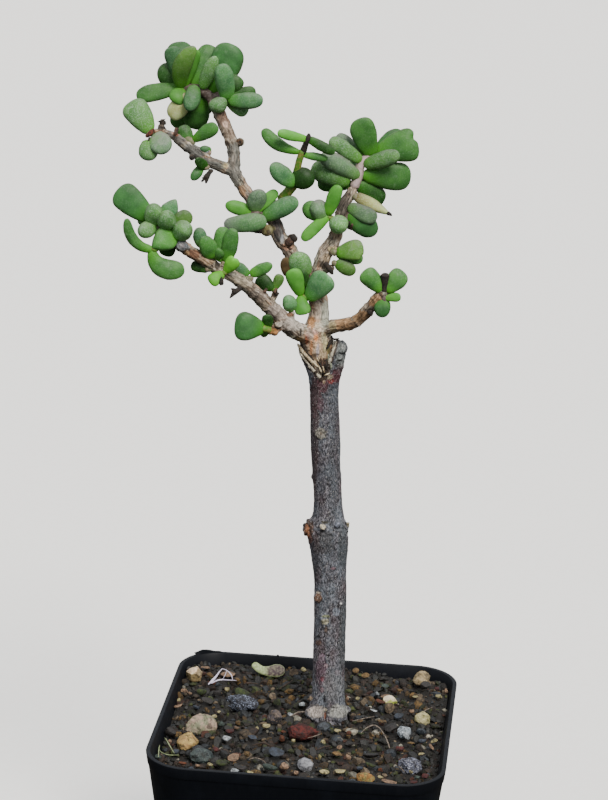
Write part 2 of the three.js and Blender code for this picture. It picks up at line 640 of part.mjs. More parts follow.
    leaves: [
      leaf([0.7, 137.2, 4.2], [7, 135.1, 2.6], 3.7),
      leaf([0, 135.2, 4.4], [7.4, 131.7, 5.4], 4.6),
    ],
  },
  right_limb_pale_leaf: {
    stems: [[[1.7, 140.6, 5.2, 2], [2.2, 140.4, 5, 1.8]]],
    leaves: [leaf([1.9, 140.5, 5], [10.6, 136.7, 4.2], 3)],
  },
  right_limb_low_leaves: {
    stems: [[[-3.4, 126.6, 1.6, 2.2], [-2.6, 126.2, 1.2, 2]]],
    leaves: [
      leaf([-3, 126.6, 1.4], [4.7, 127.8, 0.2], 4.8, { roll: -12 }),
      leaf([-2.7, 126.2, 1.8], [4.3, 124.4, 2.6], 3.3),
    ],
  },
  right_limb_short_leaf: {
    stems: [[[-3, 122.8, 1.1, 1.7], [-2.4, 122.9, 0.8, 1.7]]],
    leaves: [leaf([-2.8, 122.9, 0.9], [2.9, 121.4, 0.2], 2.9)],
  },
  trunk_front_leaf: {
    stems: [[[-12.2, 121.6, 0.4, 2.2], [-12.6, 122, -0.8, 2.2]]],
    leaves: [
      leaf([-12.4, 121, -0.2], [-11.2, 126.6, -3.6], 6.3),
      leaf([-12.8, 122.1, -0.4], [-17.3, 123, -0.2], 1.9),
    ],
  },
  trunk_leaves: {
    stems: [[[-9.4, 114.4, -0.8, 2.4], [-10.3, 114.9, 0.2, 2.4], [-9.8, 115.4, 2, 2]]],
    leaves: [
      leaf([-10.4, 114.9, -0.6], [-14, 122.2, -3.8], 3.7),
      leaf([-10.3, 114.8, -0.6], [-9.7, 109.9, -3.2], 3.7),
      leaf([-9.8, 115.4, 1.6], [-11.2, 120.6, 6.6], 4.2),
      leaf([-9.8, 114.5, -1], [-3.4, 120.7, -5.2], 7, { thick: 0.4 }),
    ],
  },
  stub_leaf: {
    stems: [],
    leaves: [leaf([-13.1, 110.9, -2.4], [-14.3, 114.9, -4.6], 3.7, { thick: 0.8 })],
  },
  fork_leaves: {
    stems: [[[-17.5, 116, -4, 1.8], [-17.4, 116.8, -3.9, 1.8]]],
    leaves: [
      leaf([-17.5, 116.4, -4], [-22.4, 118.9, -3], 3.7),
      leaf([-17.4, 116.5, -3.9], [-16.1, 120.4, -3.4], 2.3),
    ],
  },
  trunk_left_leaves: {
    stems: [[[-17.4, 106, -3.4, 2.2], [-19.4, 105.8, -3.8, 2.2]]],
    leaves: [
      leaf([-19, 105.9, -3.8], [-27.2, 106.2, -5], 6.7),
      leaf([-18.4, 106.2, -4], [-20, 110, -6.4], 2.9),
      leaf([-18.6, 105.6, -3.8], [-20.4, 102.6, -5], 2.4),
    ],
  },
  low_right_tip_leaves: {
    stems: [
      [[9.3, 116, -5.6, 2.2], [10.2, 116.6, -5.7, 2.2]],
      [[10, 116.2, -5.6, 2], [10.3, 114.4, -5.4, 1.9]],
    ],
    leaves: [
      leaf([9.8, 116.6, -5.8], [4.7, 122.3, -6.4], 4.6),
      leaf([10.3, 116.6, -5.6], [14.9, 122.3, -4.8], 4.7),
      leaf([10.2, 115, -5.8], [14.3, 115.5, -7.4], 2.3),
      leaf([10.2, 114.7, -5.6], [9.7, 109.8, -6.4], 3.9),
      leaf([10.1, 116.6, -6], [10.1, 121, -7], 1.9),
      leaf([10.2, 116.2, -4.8], [10.6, 119, 0], 4),
    ],
  },
  back_low_leaves: {
    stems: [[[-12.2, 123.8, 4.4, 2], [-12.2, 123.9, 5, 2]]],
    leaves: [leaf([-12.2, 123.9, 4.6], [-11.6, 125, 9.6], 4.6)],
  },
  back_middle_leaves: {
    stems: [[[-21.4, 136.8, 6.4, 2], [-20.9, 136.9, 7, 2]]],
    leaves: [
      leaf([-21.4, 136.9, 6.6], [-22, 140.4, 12], 4.4),
      leaf([-21, 136.8, 6.6], [-17.2, 138.1, 11.6], 3.8),
    ],
  },
  back_right_leaves: {
    stems: [[[-2, 134.6, 6, 2], [-1.6, 135, 6.6, 2]]],
    leaves: [
      leaf([-2, 134.7, 6.2], [-2.2, 133.6, 11.6], 4.2),
      leaf([-1.6, 135, 6.4], [3.6, 134, 11.4], 4.2),
    ],
  },
  back_trunk_leaf: {
    stems: [[[-7.2, 116.4, 3.2, 2], [-7.2, 116.5, 3.8, 2]]],
    leaves: [leaf([-7.2, 116.5, 3.4], [-6.4, 118.4, 9], 4.6)],
  },
};

function shootSolid({ stems, leaves }, grow) {
  const young = stems.map((stations) => limb(stations, { sides: 5, step: 2.8, grow }));
  return joined([...young, ...leaves.map((each) => leafSolid(each, grow))]);
}

// Stones that lie on the soil: place in the pot, size across, front to back and up, and turn.
const stones = [
  ['stone_pink', -27.2, -4.4, [9, 7, 5.5], 20, '#8d7a6e'],
  ['stone_ochre', -29.4, -14.2, [5, 7.6, 4.6], -12, '#a8925c'],
  ['stone_green_grey', -24.4, -21.6, [6.4, 4.6, 4], 15, '#474e50'],
  ['stone_blue_grey', -17.9, 9.6, [10, 5.6, 4.2], -14, '#59657a'],
  ['stone_red', -1, -3.6, [9, 6, 4.6], 5, '#5f2a24'],
  ['stone_dark', -8.6, 2.6, [4.8, 4.4, 4.6], 30, '#3f3b3e'],
  ['stone_tan', 27.4, 29.4, [4.8, 4.4, 4.2], 10, '#a5977e'],
  ['stone_cream', 30, 8.4, [4.2, 4, 3.4], -20, '#b3a878'],
  ['stone_white', 25.6, 0.6, [3.8, 3.4, 3.4], 0, '#b9bcba'],
  ['stone_pale', 20.6, 16.6, [4.4, 3.2, 3], 12, '#c0b8a8'],
  ['stone_speckled', 28.6, -18.6, [6.2, 5.2, 4.2], -10, '#8c8f9c'],
  ['stone_light_grey', 2.4, -22.2, [4.8, 4, 3.2], 0, '#9c9894'],
  ['stone_orange', 18, -27.2, [5, 3.8, 3], -8, '#94703e'],
  ['stone_peach', -31.6, 23, [5, 4.2, 4], 25, '#b09678'],
];
const stoneSink = 0.42; // share of a stone's height that lies below the soil's middle level
const stoneFacets = 14;
const stoneSpread = 0.54; // reach of the ball before it is cut, as a share of the stone's size

// A stone is what is left of a ball inside a few planes.
function stoneSolid(index, [, x, y, size, turn], grow) {
  const planes = [];
  for (let i = 0; i < stoneFacets; i++) {
    const up = 1 - (2 * (i + 0.5)) / stoneFacets;
    const round = Math.sqrt(1 - up * up);
    const angle = i * 2.4 + chance(index, i) * 0.9;
    const normal = new THREE.Vector3(round * Math.cos(angle), round * Math.sin(angle), up);
    planes.push({ normal, reach: 0.8 + 0.2 * chance(i, index + 5) });
  }
  const ball = new THREE.IcosahedronGeometry(1, 1);
  carried(ball, (bx, by, bz) => {
    const way = new THREE.Vector3(bx, by, bz).normalize();
    const reaches = planes.map(({ normal, reach }) => reach / Math.max(normal.dot(way), 0.01));
    const radius = Math.min(1.05, ...reaches);
    return new THREE.Vector3(
      way.x * (radius * size[0] * stoneSpread + grow),
      way.y * (radius * size[1] * stoneSpread + grow),
      way.z * (radius * size[2] * stoneSpread + grow),
    );
  });
  ball.rotateZ(THREE.MathUtils.degToRad(turn));
  ball.translate(x, y, soilTop + size[2] * (0.5 - stoneSink));
  return solidOf(ball);
}

// A leaf that has dropped on the soil. It lies level, bowed to the front.
const fallenLeafRoot = [-18.4, 32.6, 72.4];
const fallenLeafTip = [-9.4, 31, 72];
const fallenLeafWidth = 4.6;
const fallenLeafThickness = 2;
const fallenLeafBow = 1.6;

function fallenLeafSolid(grow) {
  const from = new THREE.Vector3(...fallenLeafRoot);
  const to = new THREE.Vector3(...fallenLeafTip);
  const bow = from.clone().lerp(to, 0.5).add(new THREE.Vector3(0, -2 * fallenLeafBow, 0));
  const curve = new THREE.QuadraticBezierCurve3(from, bow, to);
  const up = new THREE.Vector3(0, 0, 1);
  const place = (x, y, z) => {
    const tangent = curve.getTangent(y);
    const side = tangent.clone().cross(up).normalize();
    const face = side.clone().cross(tangent);
    const point = curve.getPoint(y).addScaledVector(side, x * (fallenLeafWidth / 2 + grow));
    point.addScaledVector(face, z * (fallenLeafThickness / 2 + grow));
    return point.addScaledVector(tangent, (2 * y - 1) * grow);
  };
  return solidOf(carried(leafBlank(bigLeafWidth), place));
}

// Assembly
const plant = new THREE.Group();
plant.position.copy(stemPlace);
plant.rotation.z = plantTurn;
const barkColor = '#8f8579';
const leafColor = '#4f7a3a';
const wood = woodSolid(0);
const grownWood = woodSolid(gap);
plant.add(meshOf('rootstock', makeRootstock(), '#6e6468', 0.85));
plant.add(meshOf('scion_wood', wood, barkColor, 0.8));
let taken = grownWood;
for (const [name, shoot] of Object.entries(shoots)) {
  plant.add(meshOf(name, mainBody(shootSolid(shoot, 0).subtract(taken)), leafColor, 0.45));
  taken = taken.add(shootSolid(shoot, gap));
}

const part = new THREE.Group();
part.add(plant);
part.add(meshOf('pot', makePot(), '#15171a', 0.42));
const hole = new THREE.CylinderGeometry(footDiameter / 2 + gap, footDiameter / 2 + gap, 40, 24);
hole.rotateX(Math.PI / 2).translate(stemPlace.x, stemPlace.y, soilTop + footBottom - gap + 20);
const sockets = [solidOf(hole), fallenLeafSolid(gap)];
stones.forEach((stone, index) => {
  sockets.push(stoneSolid(index, stone, gap));
  part.add(meshOf(stone[0], stoneSolid(index, stone, 0), stone[5], 0.85));
});
part.add(meshOf('soil', makeSoil(joined(sockets)), '#2b2724', 0.95));
part.add(meshOf('fallen_leaf', fallenLeafSolid(0), '#8fa072', 0.5));

export default part;
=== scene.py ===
"""Looks of a potted dwarf succulent tree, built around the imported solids.

A branching crown of fat leaves is cleft-grafted on a tall bare rootstock. It stands in gravelly soil in a
square plastic nursery pot. Pieces are modelled in millimetres and turned to metres when they are settled.
"""

import logging
import math
import random
from dataclasses import dataclass, field
from enum import Enum
from typing import Any, Callable, Iterator, Optional, Sequence, Union

import bpy
import numpy as np
from mathutils import Matrix, Vector, kdtree, noise
from mathutils.bvhtree import BVHTree


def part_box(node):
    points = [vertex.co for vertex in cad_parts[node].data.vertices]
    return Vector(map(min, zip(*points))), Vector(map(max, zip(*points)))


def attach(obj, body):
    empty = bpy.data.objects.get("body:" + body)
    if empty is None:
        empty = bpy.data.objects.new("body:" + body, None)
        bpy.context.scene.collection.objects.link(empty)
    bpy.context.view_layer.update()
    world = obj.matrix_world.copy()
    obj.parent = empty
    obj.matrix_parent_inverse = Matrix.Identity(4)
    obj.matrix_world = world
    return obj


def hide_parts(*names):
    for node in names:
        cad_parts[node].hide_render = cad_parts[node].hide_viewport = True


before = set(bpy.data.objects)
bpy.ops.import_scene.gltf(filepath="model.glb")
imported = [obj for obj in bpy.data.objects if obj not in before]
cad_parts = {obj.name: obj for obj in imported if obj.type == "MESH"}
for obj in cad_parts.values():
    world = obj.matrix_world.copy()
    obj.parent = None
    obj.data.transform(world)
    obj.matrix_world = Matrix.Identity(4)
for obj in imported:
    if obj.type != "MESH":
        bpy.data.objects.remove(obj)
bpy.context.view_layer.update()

log = logging.getLogger("succulent")

MM = 0.001

SOIL_TOP = 72.0

# The plant's own frame, in millimetres: right, back and up from the stem's foot, as seen from the front. The
# eye is the viewer's place in it.
STEM_PLACE = Vector((5.0, 9.0, SOIL_TOP))
VIEW_TURN = 5.587
PLANT_TO_POT = Matrix.Translation(STEM_PLACE) @ Matrix.Rotation(math.radians(VIEW_TURN), 4, "Z")
EYE = Vector((-9.2, -623.2, 281.7))

# How far the soil rises towards the pot's back wall, and between which places it does.
SOIL_RISE = 2.4
RISE_START = -14.0
RISE_END = 30.0

# The crown spreads in depth: what grows low and to a side leans forward, what grows high leans back.
LEAN_RATE = 0.014
LEAN_UP = 140.0
LEAN_RIGHT = -6.0

Place = tuple[float, float, float]
Station = tuple[float, float, float, float]
Shape = tuple[np.ndarray, list[list[int]]]
Piece = bpy.types.Object


def seen(place: Place) -> Vector:
    """Finds the point of the plant that is seen at a place of the stem's upright plane.

    Args:
        place: How far right of the stem's foot and above the soil it is seen, and how far behind the stem's
            plane it lies, in millimetres.

    Returns:
        The point in the plant's frame.
    """
    right, up, depth = place
    flat = Vector((right, 0.0, up))
    return EYE + (flat - EYE) * (1.0 - depth / EYE.y)


def leaning(place: Place, root: Optional[Place] = None) -> Vector:
    """Adds the crown's lean to a place, or to a leaf's point by the lean of the leaf's root.

    Args:
        place: Right, up and depth.
        root: The place whose lean is used, where it isn't the place's own.

    Returns:
        The point in the plant's frame.
    """
    right, up = (root or place)[:2]
    lean = LEAN_RATE * (up - LEAN_UP) * abs(right - LEAN_RIGHT)
    return seen((place[0], place[1], place[2] + lean))


def rise_at(back: Union[float, np.ndarray]) -> Union[float, np.ndarray]:
    """Gives how far the soil rises at a distance towards the pot's back wall, in millimetres."""
    share = np.clip((back - RISE_START) / (RISE_END - RISE_START), 0.0, 1.0)
    return SOIL_RISE * share ** 2 * (3.0 - 2.0 * share)


def linear(colour: str) -> tuple[float, float, float, float]:
    """Turns a colour into the numbers that Blender's materials take.

    Args:
        colour: An sRGB hex colour.

    Returns:
        Its linear RGBA.
    """
    shares = (int(colour[i:i + 2], 16) / 255.0 for i in (1, 3, 5))
    red, green, blue = (s / 12.92 if s <= 0.04045 else ((s + 0.055) / 1.055) ** 2.4 for s in shares)
    return red, green, blue, 1.0


# Mesh work

def fresh(operator: Callable[..., Any], **settings: Any) -> Piece:
    """Runs an operator that adds a primitive, with nothing else selected.

    Args:
        operator: The bpy operator.
        settings: Its settings.

    Returns:
        The new object.
    """
    bpy.ops.object.select_all(action="DESELECT")
    operator(**settings)
    return bpy.context.active_object


def choose(*pieces: Piece) -> None:
    """Selects objects.

    Args:
        pieces: The only ones to be selected, with the first one active.
    """
    bpy.ops.object.select_all(action="DESELECT")
    for piece in pieces:
        piece.select_set(True)
    bpy.context.view_layer.objects.active = pieces[0]


def edit(piece: Piece, mode: str = "FACE", action: str = "DESELECT") -> None:
    """Opens a piece in edit mode.

    Args:
        piece: The object.
        mode: What is selected in it: FACE, EDGE or VERT.
        action: SELECT or DESELECT, for all of it or nothing.
    """
    choose(piece)
    bpy.ops.object.mode_set(mode="EDIT")
    bpy.ops.mesh.select_mode(type=mode)
    bpy.ops.mesh.select_all(action=action)


def pick(piece: Piece, chosen: Callable[[Vector, Vector], bool]) -> None:
    """Selects the faces of a piece in edit mode that a test accepts.

    Args:
        piece: The object in edit mode.
        chosen: Gets a face's middle and normal.
    """
    bpy.ops.mesh.select_all(action="DESELECT")
    bpy.ops.object.mode_set(mode="OBJECT")
    for face in piece.data.polygons:
        face.select = chosen(face.center, face.normal)
    bpy.ops.object.mode_set(mode="EDIT")


def modify(piece: Piece, kind: str, **settings: Any) -> None:
    """Adds a modifier to a piece and applies it.

    Args:
        piece: The object.
        kind: The modifier's type.
        settings: Its settings.
    """
    choose(piece)
    bpy.ops.object.modifier_add(type=kind)
    modifier = piece.modifiers[-1]
    for name, value in settings.items():
        setattr(modifier, name, value)
    bpy.ops.object.modifier_apply(modifier=modifier.name)


def joined(pieces: Sequence[Piece]) -> Piece:
    """Joins objects.

    Args:
        pieces: The objects.

    Returns:
        The first one, with the others in it.
    """
    choose(*pieces)
    if len(pieces) > 1:
        bpy.ops.object.join()
    return bpy.context.active_object


def outward(piece: Piece) -> None:
    """Turns all the faces of a piece outwards.

    Args:
        piece: The closed piece.
    """
    edit(piece, action="SELECT")
    bpy.ops.mesh.normals_make_consistent(inside=False)
    bpy.ops.object.mode_set(mode="OBJECT")


def points_of(piece: Piece) -> np.ndarray:
    """Reads where the vertices of a piece are.

    Args:
        piece: The piece.

    Returns:
        Rows of x, y, z.
    """
    flat = np.empty(len(piece.data.vertices) * 3)
    piece.data.vertices.foreach_get("co", flat)
    return flat.reshape(-1, 3)


def normals_of(piece: Piece) -> np.ndarray:
    """Reads the vertex normals of a piece.

    Args:
        piece: The piece.

    Returns:
        Rows of x, y, z.
    """
    flat = np.empty(len(piece.data.vertices) * 3, np.float32)
    piece.data.vertex_normals.foreach_get("vector", flat)
    return flat.reshape(-1, 3).astype(float)


def put_points(piece: Piece, points: np.ndarray) -> None:
    """Moves the vertices of a piece to new places."""
    piece.data.vertices.foreach_set("co", points.ravel())
    piece.data.update()


def put_values(piece: Piece, name: str, values: np.ndarray) -> None:
    """Stores a number, a vector or a colour for each vertex of a piece.

    Args:
        piece: The object.
        name: The attribute's name.
        values: One row a vertex, of one, three or four numbers.
    """
    kind, key = {1: ("FLOAT", "value"), 3: ("FLOAT_VECTOR", "vector"), 4: ("FLOAT_COLOR", "color")}[
        1 if values.ndim == 1 else values.shape[1]
    ]
    found = piece.data.attributes.get(name) or piece.data.attributes.new(name, kind, "POINT")
    found.data.foreach_set(key, values.astype(np.float32).ravel())


def added(name: str, data: bpy.types.ID) -> Piece:
    """Adds an object to the scene.

    Args:
        name: Its name.
        data: Its mesh, camera or light.

    Returns:
        The object.
    """
    made = bpy.data.objects.new(name, data)
    bpy.context.scene.collection.objects.link(made)
    return made


def solid_copy(node: str, name: str) -> Piece:
    """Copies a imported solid, to be refined.

    Args:
        node: The solid's name.
        name: The copy's name.

    Returns:
        The copy in millimetres, with its doubles merged.
    """
    copy = added(name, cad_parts[node].data.copy())
    copy.data.transform(Matrix.Scale(1 / MM, 4))
    edit(copy, action="SELECT")
    bpy.ops.mesh.remove_doubles(threshold=0.005)
    bpy.ops.object.mode_set(mode="OBJECT")
    return copy


def ball(place: Sequence[float], width: float) -> Piece:
    """Models a knob as a plain ball.

    Args:
        place: Its middle.
        width: Its diameter.

    Returns:
        The ball, with its place in its mesh.
    """
    made = fresh(bpy.ops.mesh.primitive_ico_sphere_add, subdivisions=3, radius=width / 2, location=place)
    bpy.ops.object.transform_apply(location=True, rotation=False, scale=False)
    return made


def taken_apart(piece: Piece) -> Shape:
    """Removes a piece that was modelled to be copied.

    Args:
        piece: The piece.

    Returns:
        Its points and faces.
    """
    shape = points_of(piece), [list(face.vertices) for face in piece.data.polygons]
    bpy.data.objects.remove(piece)
    return shape


def ripple(points: np.ndarray, size: Union[float, Sequence[float]], seed: float = 0.0) -> np.ndarray:
    """Gives smooth noise from about -1 to 1 at each point.

    Args:
        points: Rows of x, y, z in millimetres.
        size: The width of a wave, the same all ways or along x, y and z.
        seed: A shift that makes the noise another one.

    Returns:
        One number a point.
    """
    return np.array([noise.noise(place) for place in (points / np.asarray(size) + seed).tolist()])


def cleaved(points: np.ndarray, draw: random.Random, cuts: int, low: float, high: float) -> np.ndarray:
    """Breaks a rounded form to flat faces.

    Args:
        points: The form's points.
        draw: The random draw.
        cuts: How many flat faces it gets.
        low: The least share of its reach at which a face lies.
        high: The greatest.

    Returns:
        The points, with those beyond a face brought back to it.
    """
    middle = (points.max(axis=0) + points.min(axis=0)) / 2
    points = points - middle
    for _ in range(cuts):
        way = np.array([draw.gauss(0, 1) for _ in range(3)])
        way /= np.linalg.norm(way)
        reach = points @ way
        beyond = np.clip(reach - reach.max() * draw.uniform(low, high), 0.0, None)
        points = points - beyond[:, None] * way
    return points + middle


def swept(line: Sequence[Vector], radii: Sequence[float], sides: int) -> Piece:
    """Sweeps a round section of changing radius along a line.

    Args:
        line: The points that it follows, in millimetres.
        radii: The radius at each point.
        sides: How many sides the section has, a multiple of four.

    Returns:
        A closed mesh.
    """
    curve = fresh(bpy.ops.curve.primitive_bezier_curve_add)
    shape = curve.data
    shape.splines.clear()
    spline = shape.splines.new("POLY")
    spline.points.add(len(line) - 1)
    for point, place, radius in zip(spline.points, line, radii):
        point.co = (*place, 1.0)
        point.radius = radius
    shape.bevel_depth = 1.0
    shape.bevel_resolution = sides // 4 - 1
    shape.use_fill_caps = True
    bpy.ops.object.convert(target="MESH")
    return bpy.context.active_object


def settle(piece: Piece, name: str, slot: str, skins: Sequence[bpy.types.Material] = (),
           stands_for: Sequence[str] = (), on_plant: bool = False, sharp: float = 180.0) -> Piece:
    """Names a finished piece, brings it to metres and parents it to the root body.

    Args:
        piece: The piece in millimetres.
        name: Its plain name.
        slot: The record's material slot; not used.
        skins: Its materials, where it has none yet.
        stands_for: The solids that it replaces.
        on_plant: Whether it was modelled in the plant's frame and not the pot's.
        sharp: The angle in degrees above which an edge stays sharp.

    Returns:
        The piece.
    """
    choose(piece)
    bpy.ops.object.shade_smooth_by_angle(angle=math.radians(sharp))
    piece.data.transform(Matrix.Scale(MM, 4) @ (PLANT_TO_POT if on_plant else Matrix.Identity(4)))
    piece.name = name
    piece.data.name = name
    if skins:
        piece.data.materials.clear()
    for skin in skins:
        piece.data.materials.append(skin)
    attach(piece, "root")
    if stands_for:
        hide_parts(*stands_for)
    log.info("%s: %d faces", name, len(piece.data.polygons))
    return piece


# Lines through given stations

@dataclass
class GrownLine:
    """The middle line of a limb: a smooth curve through its stations, with its radius along it.

    Attributes:
        places: Points along the line, in the plant's frame.
        radii: The radius at each of them.
    """

    places: list[Vector]
    radii: list[float]

    @classmethod
    def through(cls, stations: Sequence[Station], step: float = 0.5,
                placed: Callable[[Place], Vector] = leaning) -> "GrownLine":
        """Draws the curve through stations of right, up, depth and diameter.

        Args:
            stations: At least two stations.
            step: The space between the line's points, in millimetres.
            placed: Turns a station's place into a point. Vector takes it as x, y, z.

        Returns:
            The line.
        """
        knots = [placed(station[:3]) for station in stations]
        knots = [knots[0] * 2 - knots[1], *knots, knots[-1] * 2 - knots[-2]]
        places: list[Vector] = []
        radii: list[float] = []
        for i in range(len(stations) - 1):
            before, start, end, after = knots[i:i + 4]
            count = max(1, round((end - start).length / step))
            gaps = [math.sqrt((b - a).length) for a, b in ((before, start), (start, end), (end, after))]
            leave = _slope(before, start, end, gaps[0], gaps[1]) * gaps[1]
            arrive = _slope(start, end, after, gaps[1], gaps[2]) * gaps[1]
            last = i == len(stations) - 2
            for k in range(count + last):
                share = k / count
                places.append(_hermite(start, end, leave, arrive, share))
                radii.append((stations[i][3] * (1 - share) + stations[i + 1][3] * share) / 2)
        return cls(places, radii)

    def body(self, sides: int = 16) -> Piece:
        """Gives the line its thickness, with domed ends.

        Args:
            sides: How many sides its section has, a multiple of four.

        Returns:
            A closed mesh.
        """
        first, last = self.radii[0], self.radii[-1]
        head = (self.places[0] - self.places[1]).normalized()
        tail = (self.places[-1] - self.places[-2]).normalized()
        line = [self.places[0] + head * first * 0.4, *self.places, self.places[-1] + tail * last * 0.4]
        return swept(line, [first * 0.6, *self.radii, last * 0.6], sides)


def _slope(a: Vector, b: Vector, c: Vector, gap_ab: float, gap_bc: float) -> Vector:
    """Gives the slope at the middle one of three unevenly spaced points."""
    return (b - a) / gap_ab - (c - a) / (gap_ab + gap_bc) + (c - b) / gap_bc


def _hermite(start: Vector, end: Vector, leave: Vector, arrive: Vector, share: float) -> Vector:
    """Gives a point of the cubic between two places.

    Args:
        start: Where it starts.
        end: Where it ends.
        leave: Its slope at the start.
        arrive: Its slope at the end.
        share: How far along it the point is, from 0 to 1.

    Returns:
        The point.
    """
    square, cube = share ** 2, share ** 3
    return (
        start * (2 * cube - 3 * square + 1)
        + leave * (cube - 2 * square + share)
        + end * (3 * square - 2 * cube)
        + arrive * (cube - square)
    )


# Materials

Input = Union[bpy.types.Node, bpy.types.NodeSocket, float, Sequence[float]]
Inputs = dict[Union[str, int], Input]


def fill(tree: bpy.types.NodeTree, node: bpy.types.Node, inputs: Inputs) -> None:
    """Fills a node's inputs.

    Args:
        tree: The node tree.
        node: The node.
        inputs: For each input, by name or number, a value, the socket that feeds it, or the node whose first
            output does.
    """
    for name, value in inputs.items():
        if isinstance(value, bpy.types.Node):
            value = value.outputs[0]
        if isinstance(value, bpy.types.NodeSocket):
            tree.links.new(value, node.inputs[name])
        else:
            node.inputs[name].default_value = value


def add_node(tree: bpy.types.NodeTree, kind: str, inputs: Optional[Inputs] = None,
             **settings: Any) -> bpy.types.Node:
    """Adds a node to a tree, with its settings and links.

    Args:
        tree: The node tree.
        kind: The node's type name, without the leading ShaderNode.
        inputs: What fills its inputs.
        settings: Values for the node's own properties.

    Returns:
        The node.
    """
    made = tree.nodes.new("ShaderNode" + kind)
    for name, value in settings.items():
        setattr(made, name, value)
    fill(tree, made, inputs or {})
    return made


def colour_stops(ramp: bpy.types.Node, stops: Sequence[tuple[float, str]]) -> None:
    """Gives a colour ramp its stops.

    Args:
        ramp: The ramp node.
        stops: Places from 0 to 1 with sRGB hex colours, in rising order.
    """
    elements = ramp.color_ramp.elements
    while len(elements) < len(stops):
        elements.new(1.0)
    for element, (place, colour) in zip(elements, stops):
        element.position = place
        element.color = linear(colour)


@dataclass
class Skin:
    """A material under construction, with its shader and the place on the piece in millimetres."""

    name: str

    def __post_init__(self) -> None:
        """Starts the material with its output, its shader and its coordinates."""
        self.material = bpy.data.materials.new(self.name)
        self.material.use_nodes = True
        self.tree = self.material.node_tree
        self.tree.nodes.clear()
        self.shader = self.add("BsdfPrincipled")
        self.add("OutputMaterial", {"Surface": self.shader})
        coordinates = self.add("TexCoord").outputs["Object"]
        self.place = self.add("Mapping", {"Vector": coordinates, "Scale": (1 / MM,) * 3})

    def add(self, kind: str, inputs: Optional[Inputs] = None, **settings: Any) -> bpy.types.Node:
        """Adds a node to this material."""
        return add_node(self.tree, kind, inputs, **settings)

    def tinted(self, under: Input, share: Input, colour: Input, relief: Optional[Input] = None) -> Input:
        """Lays a colour over another by a share, with the surface's relief still showing in it.

        Args:
            under: The colour that shows elsewhere.
            share: Where the new colour shows, from 0 to 1.
            colour: The new colour.
            relief: How light each spot of the relief is, where it shows.

        Returns:
            The mixed colour's socket.
        """
        if relief:
            flat = colour[:3] if isinstance(colour, tuple) else colour
            colour = self.add("VectorMath", {0: flat, "Scale": relief}, operation="SCALE")
        return self.add("Mix", {0: share, 6: under, 7: colour}, data_type="RGBA").outputs[2]

    def finished(self, **inputs: Input) -> bpy.types.Material:
        """Fills the shader's inputs, with underscores for blanks in their names, and gives the material."""
        fill(self.tree, self.shader, {name.replace("_", " "): value for name, value in inputs.items()})
        return self.material


